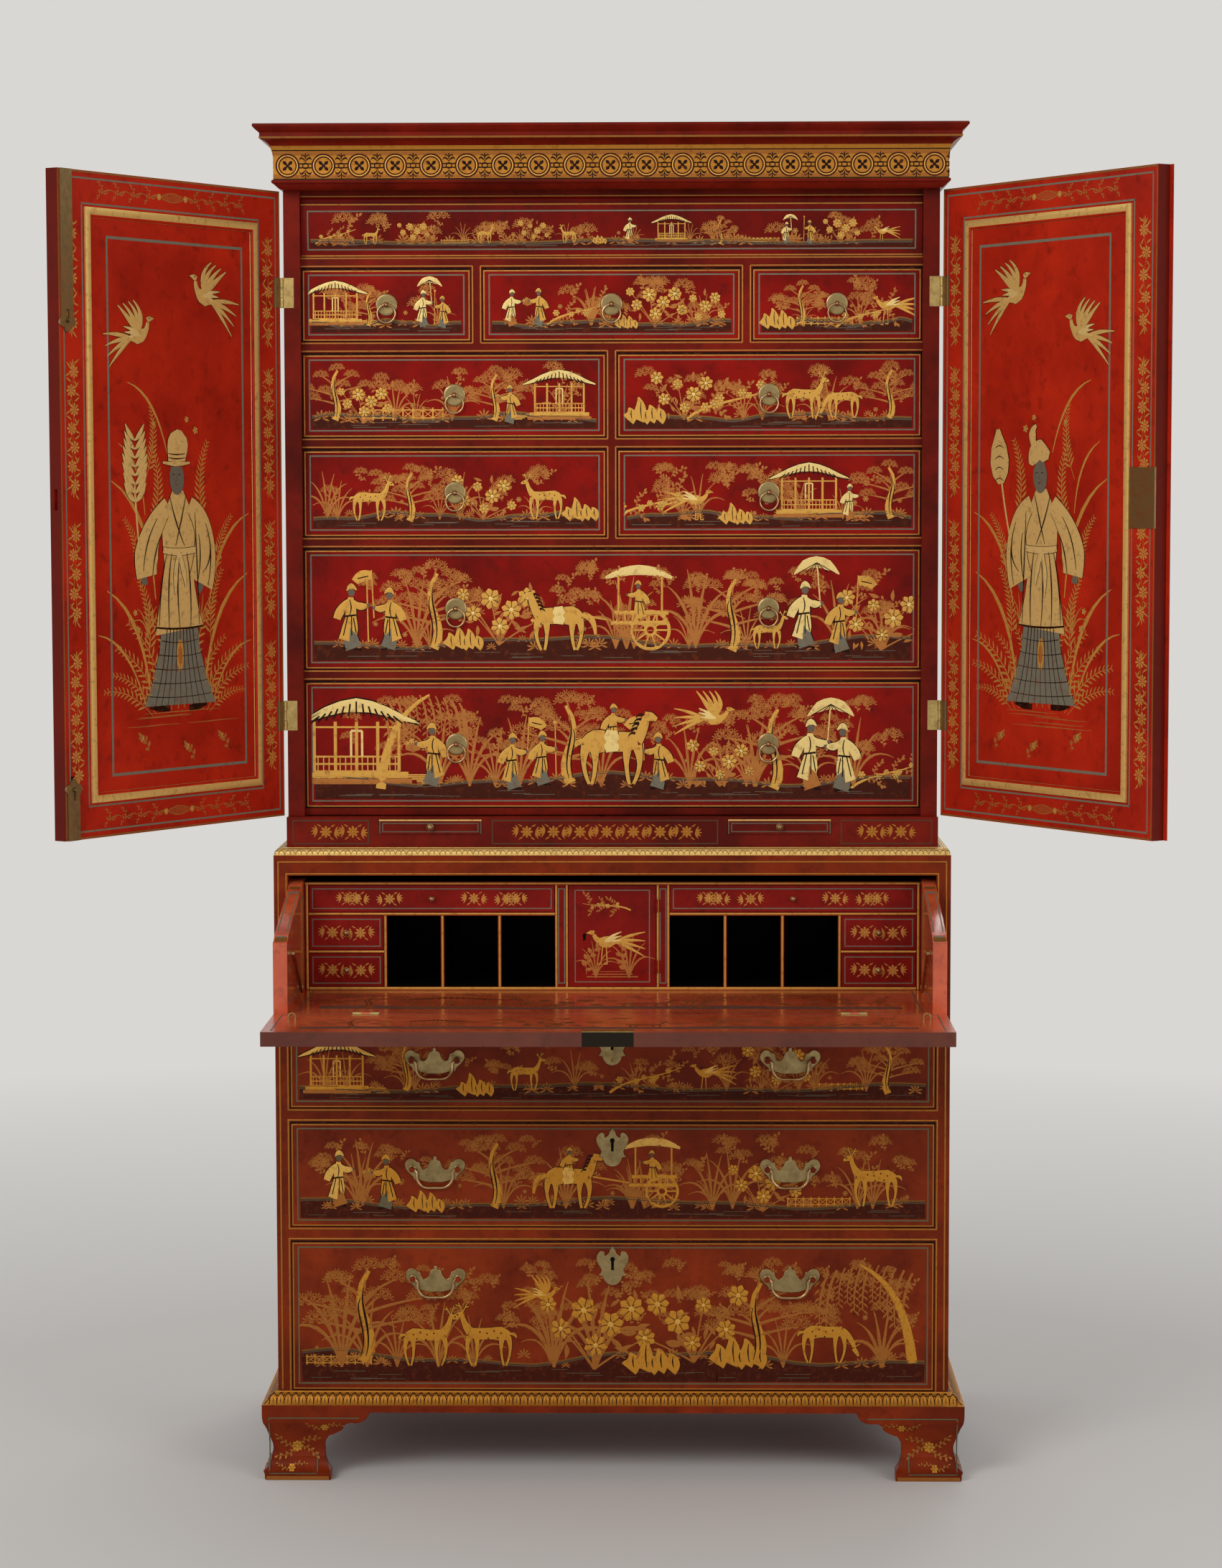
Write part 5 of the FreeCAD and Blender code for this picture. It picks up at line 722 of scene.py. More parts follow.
def peony(seed):
    """A bush of large flowers among long leaves."""
    rng = np.random.default_rng(seed)
    x = np.array([-0.4, -0.12, 0.2, 0.45, 0.02, -0.55, 0.62])
    y = np.array([0.45, 0.72, 0.5, 0.78, 0.28, 0.8, 0.35]) + rng.uniform(-0.05, 0.05, 7)
    stems = [brush([(0, 0), (a * 0.4, b * 0.5), (a, b)], (0.014, 0.008), COPPER) for a, b in zip(x, y)]
    leaf = brush([(0, 0), (0.5, 0.12), (1, 0)], (0.01, 0.13, 0.17, 0.1, 0.01), COPPER)
    n = 26
    leaves = copies(leaf, rng.uniform(-0.6, 0.6, n), rng.uniform(0.1, 0.85, n), rng.uniform(0.12, 0.22, n),
                    rng.uniform(0, 2 * np.pi, n))
    flowers = copies(blossom(7), x, y, rng.uniform(0.1, 0.17, 7), rng.uniform(0, 3, 7))
    return np.concatenate([*stems, leaves, flowers])


def fern(tone=COPPER):
    """Arching grass blades that rise from one root."""
    blades = [brush([(0, 0), (a * 0.3, 0.6), (a, b)], (0.012, 0.02, 0.004), tone)
              for a, b in ((-0.55, 0.4), (-0.35, 0.75), (-0.1, 0.95), (0.15, 0.9), (0.4, 0.7), (0.6, 0.35))]
    return np.concatenate(blades)


def house():
    """An open pavilion: stepped base, posts, lattice rail, doorway, and a tiled roof with swept eaves."""
    x = np.linspace(-0.46, 0.46, 5)
    posts = rods(np.column_stack([x, 0 * x + 0.14, x, 0 * x + 0.68]), 0.017)
    y = np.array([0.14, 0.22, 0.3, 0.62])
    rails = rods(np.column_stack([0 * y - 0.46, y, 0 * y + 0.46, y]), 0.01)
    x = np.linspace(-0.42, 0.42, 15)
    bars = rods(np.column_stack([x, 0 * x + 0.14, x, 0 * x + 0.3]), 0.006)
    roof = outlined(brush([(-0.68, 0.66), (-0.3, 0.76), (0, 1.06), (0.3, 0.76), (0.68, 0.66)],
                          (0.012, 0.05, 0.075, 0.05, 0.012), PALE_GOLD))
    x = np.linspace(-0.5, 0.5, 13)
    tiles = rods(np.column_stack([x, 0.66 + 0.1 * (1 - 2 * abs(x)), x * 0.8, 0.74 + 0.16 * (1 - 2 * abs(x))]),
                 0.009, INK, 2)
    base = np.concatenate([rods([(-0.56, 0.1, 0.56, 0.1)], 0.035),
                           rods([(-0.6, 0.03, 0.6, 0.03)], 0.03, COPPER)])
    down = np.arange(5)
    steps = rods(np.column_stack([0.5 + down * 0.05, 0.1 - down * 0.022, 0.86 + down * 0.02,
                                  0.1 - down * 0.022]), 0.008)
    door = rods([(-0.06, 0.3, -0.06, 0.58), (0.06, 0.3, 0.06, 0.58), (-0.06, 0.58, 0.06, 0.58)], 0.012,
                PALE_GOLD)
    return np.concatenate([posts, rails, bars, roof, tiles, base, steps, door])


def fence():
    """A run of low railing with crossed bars."""
    x = np.linspace(-1, 1, 9)
    posts = rods(np.column_stack([x, 0 * x, x, 0 * x + 0.32]), 0.018)
    rails = rods([(-1.04, 0.06, 1.04, 0.06), (-1.04, 0.26, 1.04, 0.26)], 0.014)
    cross = rods([(a, 0.06, a + 0.25, 0.26) for a in x[:-1]] + [(a + 0.25, 0.06, a, 0.26) for a in x[:-1]],
                 0.008)
    return np.concatenate([posts, rails, cross])


def person(carry="staff", robe=GOLD, skirt=GREY):
    """A robed figure seen from the side: skirt, coat with folds, sleeves, round head and cap."""
    parts = [
        outlined(brush([(0.06, 0), (-0.02, 0.22), (0.02, 0.45)], (0.13, 0.1, 0.08), skirt)),
        outlined(brush([(-0.05, 0.12), (0.06, 0.4), (0, 0.6), (0.02, 0.8)],
                       (0.13, 0.125, 0.085, 0.085, 0.04), robe)),
        outlined(brush([(-0.02, 0.74), (-0.14, 0.64), (-0.2, 0.46)], (0.035, 0.055, 0.07, 0.06), robe, 0.3)),
        outlined(brush([(0.04, 0.74), (0.14, 0.62), (0.27, 0.67)], (0.035, 0.05, 0.06, 0.03), robe, 0.3)),
        disc(0.29, 0.67, 0.03, 0.17, 0.9), disc(0.03, 0.87, 0.055, 0.17, 0.9),
        outlined(brush([(-0.04, 0.9), (0.02, 1.03), (0.11, 0.91)], (0.01, 0.05, 0.01), robe, 0.3), 0.01),
        rods([(-0.09, 0.5, 0.1, 0.52)], 0.014, INK, 2), rods([(0.03, 0.5, 0.03, 0.2)], 0.008, INK, 2),
        rods([(-0.03, 0.5, -0.1, 0.2)], 0.008, INK, 2), rods([(0.06, 0.48, 0.1, 0.24)], 0.008, INK, 2),
        rods([(-0.12, 0.02, -0.02, -0.02), (0.06, 0.0, 0.18, -0.02)], 0.02, INK),
        brush([(0.0, 0.76), (0.05, 0.64), (0.0, 0.52)], (0.006, 0.01, 0.006), INK, 2),
    ]
    if carry == "staff":
        parts += [rods([(0.29, 0.1, 0.27, 1.15)], 0.01, robe), disc(0.27, 1.17, 0.035, robe)]
    if carry == "banner":
        parts += [rods([(0.29, 0.5, 0.33, 1.3)], 0.01, robe),
                  brush([(0.33, 1.2), (0.5, 1.24), (0.6, 1.1)], (0.08, 0.1, 0.07), robe),
                  rods([(0.38, 1.2, 0.56, 1.16)], 0.01, INK, 1)]
    if carry == "parasol":
        ribs = np.linspace(-0.28, 0.28, 6)
        parts += [rods([(0.27, 0.6, 0.22, 1.22)], 0.01, robe),
                  brush([(-0.14, 1.12), (0.2, 1.5), (0.56, 1.12)], (0.01, 0.08, 0.09, 0.08, 0.01), PALE_GOLD),
                  rods(np.column_stack([0.21 + 0 * ribs, 0 * ribs + 1.3, 0.21 + ribs, 0 * ribs + 1.14]),
                       0.006, INK, 1)]
    if carry == "basket":
        parts += [brush([(0.22, 0.6), (0.34, 0.62), (0.46, 0.6)], (0.03, 0.08, 0.03), COPPER, 0.5),
                  copies(blossom(5), (0.28, 0.36, 0.43), (0.68, 0.72, 0.67), 0.05)]
    return np.concatenate(parts)


def deer(tone=GOLD, head_down=False):
    """A spotted deer with slender legs, standing or grazing."""
    body = brush([(-0.36, 0.5), (-0.2, 0.62), (0.1, 0.5), (0.32, 0.58)], (0.07, 0.12, 0.1, 0.1, 0.08), tone)
    neck = brush([(0.3, 0.58), (0.42, 0.72), (0.44, 0.88)], (0.08, 0.05, 0.035), tone)
    head = brush([(0.42, 0.9), (0.5, 0.88), (0.58, 0.84)], (0.035, 0.045, 0.02), tone)
    horns = rods([(0.43, 0.92, 0.36, 1.06), (0.45, 0.93, 0.5, 1.08), (0.39, 1.0, 0.33, 1.02),
                  (0.48, 1.02, 0.55, 1.05)], 0.01, tone)
    if head_down:
        neck = brush([(0.3, 0.56), (0.46, 0.5), (0.52, 0.28)], (0.08, 0.05, 0.035), tone)
        head = brush([(0.51, 0.26), (0.56, 0.2), (0.6, 0.12)], (0.04, 0.04, 0.02), tone)
        horns = rods([(0.53, 0.28, 0.62, 0.34), (0.5, 0.3, 0.56, 0.4)], 0.01, tone)
    legs = [brush([(a, 0.5), (a + b, 0.25), (a - b * 0.5, 0)], (0.05, 0.022, 0.016), tone)
            for a, b in ((-0.34, -0.08), (-0.24, 0.05), (0.2, -0.04), (0.32, 0.09))]
    tail = brush([(-0.38, 0.55), (-0.46, 0.56), (-0.48, 0.48)], (0.02, 0.03, 0.01), tone)
    spots = [disc(a, b, 0.014, INK, 1) for a, b in ((-0.22, 0.56), (-0.1, 0.6), (0.02, 0.56), (0.14, 0.58),
                                                    (-0.16, 0.48), (0.0, 0.47), (0.52, 0.88))]
    spots = np.concatenate(spots)
    spots[..., 4] = 2
    return np.concatenate([outlined(np.concatenate([body, neck, head, horns, *legs, tail]), 0.01), spots])


def seated():
    """The upper half of a robed figure: coat, sleeves, head
    and cap, without the strokes of skirt and shoes."""
    return person("none")[2:15]


def horse():
    """A sturdy horse with a saddle cloth, mane and swinging tail, walking. It starts from the deer's strokes,
    without their ink lines, horns and spots."""
    beast = deer()[12:24]
    beast = outlined(np.concatenate([beast[:3], beast[7:12]]) * [1, 1, 1.3, 1, 1], 0.012)
    cloth = outlined(brush([(0.0, 0.7), (-0.02, 0.56), (0.0, 0.42)], (0.07, 0.1, 0.1, 0.08), PALE_GOLD, 1.2),
                     0.012)
    mane = copies(brush([(0, 0), (-0.06, 0.02), (-0.09, -0.04)], (0.02, 0.012, 0.005), INK, 2),
                  np.linspace(0.3, 0.4, 5), np.linspace(0.66, 0.9, 5))
    tail = brush([(-0.4, 0.58), (-0.58, 0.55), (-0.6, 0.25)], (0.03, 0.05, 0.02))
    return np.concatenate([beast, cloth, mane, tail])


def rider():
    """A figure on a horse."""
    return np.concatenate([horse(), copies(seated(), 0, 0.44, 0.6)])


def cart():
    """A two-wheeled cart with a canopy, a seated figure and a shaft."""
    wheel = np.concatenate([circle(0, 0, 0.26, 0.022), circle(0, 0, 0.07, 0.02),
                            copies(rods([(0.06, 0, 0.25, 0)], 0.012), 0, 0, 1, np.arange(10) * np.pi / 5)])
    box_side = rods([(-0.45, 0.36, 0.35, 0.36), (-0.45, 0.5, 0.3, 0.5)], 0.03)
    bars = rods([(a, 0.36, a, 0.5) for a in np.linspace(-0.4, 0.26, 7)], 0.012)
    canopy = brush([(-0.5, 0.98), (-0.05, 1.2), (0.42, 0.98)], (0.02, 0.06, 0.07, 0.06, 0.02), PALE_GOLD)
    posts = rods([(-0.36, 0.5, -0.36, 1.0), (0.24, 0.5, 0.24, 1.02), (0.35, 0.4, 0.95, 0.5)], 0.014)
    return np.concatenate([canopy, posts, copies(seated(), -0.05, 0.36, 0.58), box_side, bars,
                           copies(wheel, -0.2, 0.26)])


def bird(tone=GOLD, flying=False):
    """A long-tailed bird, perched or in flight."""
    body = brush([(-0.2, 0.5), (0, 0.52), (0.2, 0.42), (0.3, 0.66)], (0.04, 0.13, 0.12, 0.06, 0.04), tone)
    head = brush([(0.29, 0.7), (0.35, 0.72), (0.46, 0.69)], (0.045, 0.045, 0.006), tone)
    tail = [brush([(-0.18, 0.5), (-0.5, 0.5 + a), (-0.85, 0.4 + 2 * a)], (0.03, 0.035, 0.008), tone)
            for a in (-0.12, -0.03, 0.06, 0.16)]
    wing = [brush([(0.05, 0.5), (-0.1, 0.56 + a), (-0.32, 0.6 + 1.6 * a)],
                  (0.02, 0.035, 0.006), PALE_GOLD, 0.7)
            for a in (-0.04, 0.02, 0.08)]
    legs = rods([(0.02, 0.4, 0.0, 0.0), (0.1, 0.4, 0.14, 0.0), (0.0, 0, 0.08, 0), (0.14, 0, 0.22, 0)], 0.012,
                tone)
    if flying:
        legs = np.concatenate([brush([(0.0, 0.55), (a, 0.8), (a - 0.25, 1.1)], (0.05, 0.05, 0.01), tone)
                               for a in (-0.12, 0.02, 0.16, 0.28)])
    return np.concatenate([body, head, *tail, *wing, legs, disc(0.34, 0.72, 0.012, INK, 1)])


def blooming_branch(seed):
    """A branch that sweeps sideways with side shoots, leaves and open flowers."""
    rng = np.random.default_rng(seed)
    bough = brush([(-0.8, 0), (-0.4, 0.35), (0.2, 0.3), (0.9, 0.6)], (0.03, 0.022, 0.008), GOLD)
    at = bough[0, [2, 3, 4, 5, 6, 7], :2]
    shoots = copies(leafy(7, 0.24, 0.07, COPPER, seed), at[:, 0], at[:, 1], rng.uniform(0.3, 0.5, 6),
                    np.where(np.arange(6) % 2, 1.2, -0.5) + rng.uniform(-0.3, 0.3, 6))
    flowers = copies(blossom(6), at[:, 0] + rng.uniform(-0.1, 0.1, 6), at[:, 1] + rng.uniform(-0.1, 0.14, 6),
                     rng.uniform(0.06, 0.1, 6))
    return np.concatenate([bough, shoots, flowers])


MOTIFS = {
    "pine": pine(3), "old pine": pine(8), "willow": willow(5), "rock": rock(2), "stones": rock(9),
    "peony": peony(4), "roses": peony(11), "fern": fern(), "house": house(), "fence": fence(),
    "walker": person("staff"), "bearer": person("banner"), "lady": person("parasol", PALE_GOLD),
    "gardener": person("basket"), "sage": person("none", PALE_GOLD, COPPER), "deer": deer(),
    "grazing deer": deer(GOLD, True), "rider": rider(), "cart": cart(), "horse": horse(), "bird": bird(),
    "flying bird": bird(GOLD, True), "branch": blooming_branch(6), "long branch": blooming_branch(15),
}


def landscape(width, height, seed, scene, busy=1.0):
    """A drawer's picture in its own frame from 0 to width and height. A dark bank with
    a worn gilt crest and fine streaks comes first, then clouds of foliage and small
    growth, and last the motifs of the scene. Each is written as its name, its place
    and its height in hundredths of the picture, and < where it faces the other way."""
    rng = np.random.default_rng(seed)
    low = height * 0.1
    parts = []
    cuts = np.linspace(0, width, 4)
    for start, end in zip(cuts[:-1], cuts[1:]):
        x = np.linspace(start, end, STEPS)
        top = low + height * (0.09 + 0.045 * np.sin(x / width * 11 + seed) + 0.02 * np.sin(x / width * 29))
        parts.append(np.stack([band(x, top / 2, top / 2, UMBER, -0.15), band(x, top - 3.2, 1.5, 0.14),
                               band(x, top, 1.2, DULL, 0.1)]))
    count = int(width / 40)
    streak = rods([(-24, 0, 24, 0)], 0.5, GREY) * [1, 1, 1, 0.8, 1]
    parts.append(copies(streak, rng.uniform(26, width - 26, count), rng.uniform(2, low, count),
                        rng.uniform(0.5, 1.1, count)))
    count = int(width * height / 3300 * busy)
    x = rng.uniform(24, width - 24, count)
    y = height * rng.uniform(0.42, 0.9, count)
    parts.append(copies(cloud(), x, y, rng.uniform(11, 19, count), rng.uniform(-0.2, 0.2, count)))
    parts.append(copies(leafy(6, 0.26, 0.08, COPPER, seed), x + 8, y - 12, rng.uniform(14, 26, count),
                        rng.uniform(0.5, 2.6, count)))
    x = rng.uniform(30, width - 30, int(width / 120 * busy))
    parts.append(copies(fern(), x, low + 2, height * rng.uniform(0.4, 0.75, len(x)), 0,
                        np.where(x % 2 > 1, 1, -1)))
    count = int(width / 34 * busy)
    x = rng.uniform(12, width - 12, count)
    parts.append(copies(lobe(7), x, low + height * rng.uniform(0.02, 0.1, count), rng.uniform(7, 13, count)))
    parts.append(copies(blossom(6, COPPER), x[::3] + 5, height * rng.uniform(0.2, 0.5, len(x[::3])),
                        rng.uniform(3, 5, len(x[::3]))))
    for entry in scene.split(", "):
        *name, place, size = entry.removesuffix(" <").split()
        name, place, size = " ".join(name), int(place) / 100, int(size) / 100
        raised = 0.42 if name == "flying bird" else rng.uniform(-0.02, 0.05)
        way = -1 if entry.endswith("<") else 1
        parts.append(copies(MOTIFS[name], place * width, low + raised * height, size * height, 0, way))
    drawing = np.concatenate(parts)
    drawing[..., 2] = np.where(drawing[..., 2] > 0.2, np.maximum(drawing[..., 2], 0.42), drawing[..., 2])
    return drawing


def border(x0, y0, x1, y1, half, tone=GREY):
    """Four straight strokes that meet at the corners of a rectangle."""
    sides = [(x0 - half, y0, x1 + half, y0), (x1, y0, x1, y1),
             (x1 + half, y1, x0 - half, y1), (x0, y1, x0, y0)]
    return rods(sides, half, tone)


def drawer_front(name, body, x0, z0, x1, z1, y, seed, scene, paint, busy=1.0, face=None):
    """The gilt edge, grey line and picture of one drawer, on the flat or rounded face of its front."""
    width, height = x1 - x0, z1 - z0
    edge = carried(frame_path(x0 + 2.3, z0 + 2.1, x1 - 2.3, z1 - 4.4, y), half_round(2.4, 0.8), -Y)
    if face is None:
        plain_gold(f"{name}_gilt_edge", [edge], body, 0.5, paint)
        shade = rods([(0, height - 1.5, width, height - 1.5)], 1.5, INK, -0.15)
        rim = np.concatenate([shade, border(0.5, 0.5, width - 0.5, height - 0.5, 0.5, INK)])
        gild(f"{name}_shadow_line", rim, (x0, y, z0), X, Z, body, paint)
    inset = 10.5
    picture = landscape(width - 2 * inset - 8, height - 2 * inset - 6, seed, scene, busy)
    picture = copies(picture, inset + 4, inset + 3)
    drawing = np.concatenate([border(inset, inset, width - inset, height - inset, 1.1), picture])
    gild(f"{name}_picture", drawing, (x0, y, z0), X, Z, body, paint, face,
         (inset - 1.1, inset - 1.1, width - inset + 1.1, height - inset + 1.1))


# Three long drawers: pine fronts lacquered brick red on oak sides and bottoms, dovetailed. The front is
# lacquered and gilt over its face, and the oak of the box shows only when the drawer is out.
LOWER_FACE = -73.7
lower_drawer_red = lacquer("brick_red_lacquer_before_oak", "8c3210", "641f0a", LOWER_FACE + 20)
dress(lower_drawer_red, "deep_drawer", "middle_drawer", "shallow_drawer")
lower_scenes = {
    "deep": "old pine 10 80, deer 20 42, deer 30 44 <, flying bird 39 26, fence 6 24, peony 47 62, "
        "rock 56 40, roses 63 60 <, pine 73 72, willow 93 78 <, grazing deer 84 42, stones 70 40, "
        "fern 40 40",
    "middle": "sage 6 62, gardener 14 60 <, fern 10 80, stones 20 40, old pine 31 85, rider 43 66, "
        "cart 56 68 <, fern 66 70, peony 74 60, fence 83 35, deer 92 62 <",
    "shallow": "house 6 80, pine 17 80, rock 28 50, deer 36 50, fern 44 60, branch 55 60, bird 65 50 <, "
        "roses 76 70, fence 86 35, pine 94 80 <",
}
for seed, (name, scene) in enumerate(lower_scenes.items()):
    low, high = lower_rows[name]
    drawer_front(f"{name}_drawer", f"{name}_box", -502.4, low + 0.6, 502.4, high - 0.6, LOWER_FACE, 20 + seed,
                 scene, dim_gold, 1.25)


# Brass: handles, keyhole plates and bolts, cast in sand, filed and once lacquered. The eye sees
# brown and green tarnish over the flats, with brighter metal along the edges and where fingers rub.
def tarnished(name, bright, dull, rough=0.36):
    """Aged metal whose tarnish gathers in clouds."""
    material, tree, place = new_material(name)
    cloud = add(tree, "TexNoise", {"Vector": place, "Scale": 60.0, "Detail": 6.0, "Roughness": 0.7})
    spread = add(tree, "MapRange", {0: cloud.outputs[0], 1: 0.36, 2: 0.66})
    colour = add(tree, "Mix", {0: spread.outputs[0], 6: linear(bright), 7: linear(dull)}, data_type="RGBA")
    dull_shine = add(tree, "MapRange", {0: cloud.outputs[0], 1: 0.3, 2: 0.7,
                                        3: rough - 0.08, 4: rough + 0.16})
    file_marks = add(tree, "TexNoise", {"Vector": place, "Scale": 420.0, "Detail": 3.0})
    bump = add(tree, "Bump", {"Height": file_marks.outputs[0], "Strength": 0.12, "Distance": 0.0004})
    shader = add(tree, "BsdfPrincipled", {
        "Base Color": colour.outputs[2], "Metallic": 1.0, "Roughness": dull_shine.outputs[0],
        "Normal": bump.outputs[0],
    })
    add(tree, "OutputMaterial", {0: shader.outputs[0]})
    return material


plate_brass = tarnished("tarnished_cast_brass", "a38d60", "826f4a")
wire_brass = tarnished("rubbed_bronze_wire", "cfae80", "8c6c45", 0.26)
pale_brass = tarnished("cleaned_sheet_brass", "c4a869", "94794a", 0.34)
# Keyhole openings: a near-black finish that is painted shade, standing for the dark hole behind the brass.
black_shade, tree, place = new_material("painted_shade_of_a_keyhole_opening")
shade_mottle = add(tree, "TexNoise", {"Vector": place, "Scale": 200.0})
dark = add(tree, "Mix", {0: shade_mottle.outputs[0], 6: linear("050404"), 7: linear("15100c")}, data_type="RGBA")
shader = add(tree, "BsdfPrincipled", {"Base Color": dark.outputs[2], "Roughness": 0.9,
                                      "Specular IOR Level": 0.1})
add(tree, "OutputMaterial", {0: shader.outputs[0]})


def brass_piece(name, parts, body, paint=None, nodes=(), angle=40):
    """Welded metalwork that rides on a body and may stand for CAD nodes."""
    piece = solid(name, *together(parts), weld=True, angle=angle)
    piece.data.materials.append(paint or plate_brass)
    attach(piece, body)
    if nodes:
        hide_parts(*nodes)
    return piece


def turned(profile, place, out=-Y, sides=28):
    """A turned shape: radii and distances along out, carried round a circle about the place."""
    profile = np.asarray(profile, float)
    out = np.asarray(out, float)
    first = np.cross(out, Z if abs(out[2]) < 0.9 else X)
    second = np.cross(out, first)
    turn = np.arange(sides) * 2 * np.pi / sides
    around = np.cos(turn)[:, None] * first + np.sin(turn)[:, None] * second
    points = np.asarray(place, float) + profile[:, None, :1] * around + profile[:, None, 1:] * out
    return points, [grid(len(profile), sides, False, True)]


def cut_plate(outline, place, thick, bevel=0.7, out=-Y, across=X, up=Z):
    """A flat plate from a closed outline: an upright wall, a filed bevel and a flat front, all closed."""
    outline = np.asarray(outline, float)
    ahead = np.roll(outline, -1, 0) - np.roll(outline, 1, 0)
    ahead /= np.maximum(np.linalg.norm(ahead, axis=1), 1e-6)[:, None]
    inward = np.column_stack([-ahead[:, 1], ahead[:, 0]])
    area = np.sum(outline[:, 0] * np.roll(outline[:, 1], -1) - np.roll(outline[:, 0], -1) * outline[:, 1])
    inward *= np.sign(area)
    rings = [(outline, 0.0), (outline, thick - bevel * 0.7), (outline + inward * bevel, thick)]
    points = [np.asarray(place, float) + o[:, :1] * across + o[:, 1:] * up + d * np.asarray(out, float)
              for o, d in rings]
    n = len(outline)
    return np.concatenate(points), [grid(3, n, False, True), np.arange(n)[None], np.arange(n)[None] + 2 * n]


def soft_outline(half):
    """A half outline closed with its mirror image and smoothed by cutting its corners twice."""
    half = np.asarray(half, float)
    whole = np.concatenate([half, (half * [-1, 1])[::-1][1:-1]])
    for _ in range(2):
        after = np.roll(whole, -1, 0)
        whole = np.stack([0.75 * whole + 0.25 * after, 0.25 * whole + 0.75 * after], 1).reshape(-1, 2)
    return whole


def wire(path, radius, closed=False):
    """A round wire along a path that faces the front."""
    turn = np.arange(10) * 2 * np.pi / 10
    return carried(path, np.column_stack([np.cos(turn), np.sin(turn)]) * radius, -Y, closed, wide=False)


def keyhole(x, z, radius, slot, y):
    """The painted shade of a keyhole's opening: a round eye over a narrow slot that spreads a little at its
    foot.
    """
    turn = np.linspace(-0.3 * np.pi, 1.3 * np.pi, 15)
    eye = np.column_stack([radius * np.cos(turn), radius * np.sin(turn)])
    foot = np.array([(-radius * 0.55, -slot), (radius * 0.55, -slot)])
    outline = np.concatenate([eye, foot])
    return cut_plate(outline, (x, y, z), 0.12, 0.02)


# Handles and keyhole plates of the long drawers: flat brass cut to a shaped outline with bevelled edges, two
# turned posts with ball heads, and a cast bail that hangs from them.
handle_half = [(0, 21), (3.3, 17.5), (2, 14.5), (6.8, 13.5), (8.8, 9.5), (11.8, 1.5), (16.8, -1.5),
               (21.8, 0.5), (23.3, 5.5), (24.3, 11), (28.8, 11), (32.8, 15), (37.8, 16.5), (43.8, 13.5),
               (47.3, 7.5), (46.3, 0.5), (41.8, -5.5), (35.8, -10.5), (32.8, -14.5), (32.8, -18),
               (27.8, -16.5), (20, -19), (12, -21.5), (0, -21.5)]
escutcheon_half = [(0, 0), (1.6, -2.3), (2, -4.3), (4, -4.6), (4.6, -8.9), (6.3, -12.3), (9.7, -14.6),
                   (12.3, -16.3), (12.3, -10.6), (14.3, -8), (16.6, -7.1), (20, -8.9), (22.8, -11.7),
                   (25.1, -16.8), (24.8, -22.6), (22.8, -27.7), (20, -32.3), (17.7, -36.3), (17.1, -39.1),
                   (18.8, -43.1), (21.7, -45.7), (19.4, -47.4), (15.1, -47.1), (14.6, -50.5), (12, -55.7),
                   (7.4, -60.2), (0, -62.2)]
ball = [(0, 9.8), (2.4, 9.3), (4.2, 7.6), (4.9, 5.4), (4.2, 3.6), (3.2, 2.6), (5.4, 1.7), (5.8, 0), (0, 0)]
turn = np.linspace(0, np.pi / 2, 9)
shoulder = np.column_stack([28.2 - 18 + 18 * np.sin(turn), -28.6 + 18 - 18 * np.cos(turn)])
bail_half = np.concatenate([[(0, -28.6)], shoulder, [(28.2, -4.5), (31.5, 0.2), (36.5, 0.6)]])
bail_path = np.concatenate([(bail_half * [-1, 1])[::-1], bail_half[1:]])
HANDLE_AT, POST_AT, PLATE, BAIL_WIRE = 277.0, 35.5, 1.9, 2.3
PLATE_FRONT = LOWER_FACE - PLATE
for name, level in (("deep", 317.0), ("middle", 490.6), ("shallow", 662.0)):
    top = lower_rows[name][1] - 8.8
    plates, bails = [], []
    for x in (-HANDLE_AT, HANDLE_AT):
        plates.append(cut_plate(soft_outline(handle_half), (x, LOWER_FACE, level), PLATE))
        plates += [turned(ball, (post, LOWER_FACE - 1.8, level)) for post in (x - POST_AT, x + POST_AT)]
        path = np.column_stack([x + bail_path[:, 0], np.full(len(bail_path), LOWER_FACE - 9.0),
                                level + bail_path[:, 1]])
        bails.append(wire(path, BAIL_WIRE))
        for foot, way in ((path[0], 1), (path[-1], -1)):
            bails.append(turned([(0, 2.4), (2.3, 1.2), (2.6, 0), (2.3, -1.2), (0, -2.4)], foot, way * X, 12))
    plates.append(cut_plate(soft_outline(escutcheon_half)[::-1], (0, LOWER_FACE, top), PLATE))
    for pin_x, pin_z in ((-18.9, -15.7), (18.9, -15.7), (0, -54)):
        plates.append(turned([(0, 1.0), (1.3, 0.5), (1.7, 0)], (pin_x, PLATE_FRONT, top + pin_z), -Y, 12))
    brass_piece(f"{name}_drawer_plates", plates, f"{name}_box", angle=28)
    brass_piece(f"{name}_drawer_bails_cast", bails, f"{name}_bail", wire_brass, (f"{name}_drawer_bails",))
    hole = keyhole(0, top - 20.5, 3.8, 17, PLATE_FRONT - 0.05)
    brass_piece(f"{name}_drawer_keyhole", [hole], f"{name}_box", black_shade)


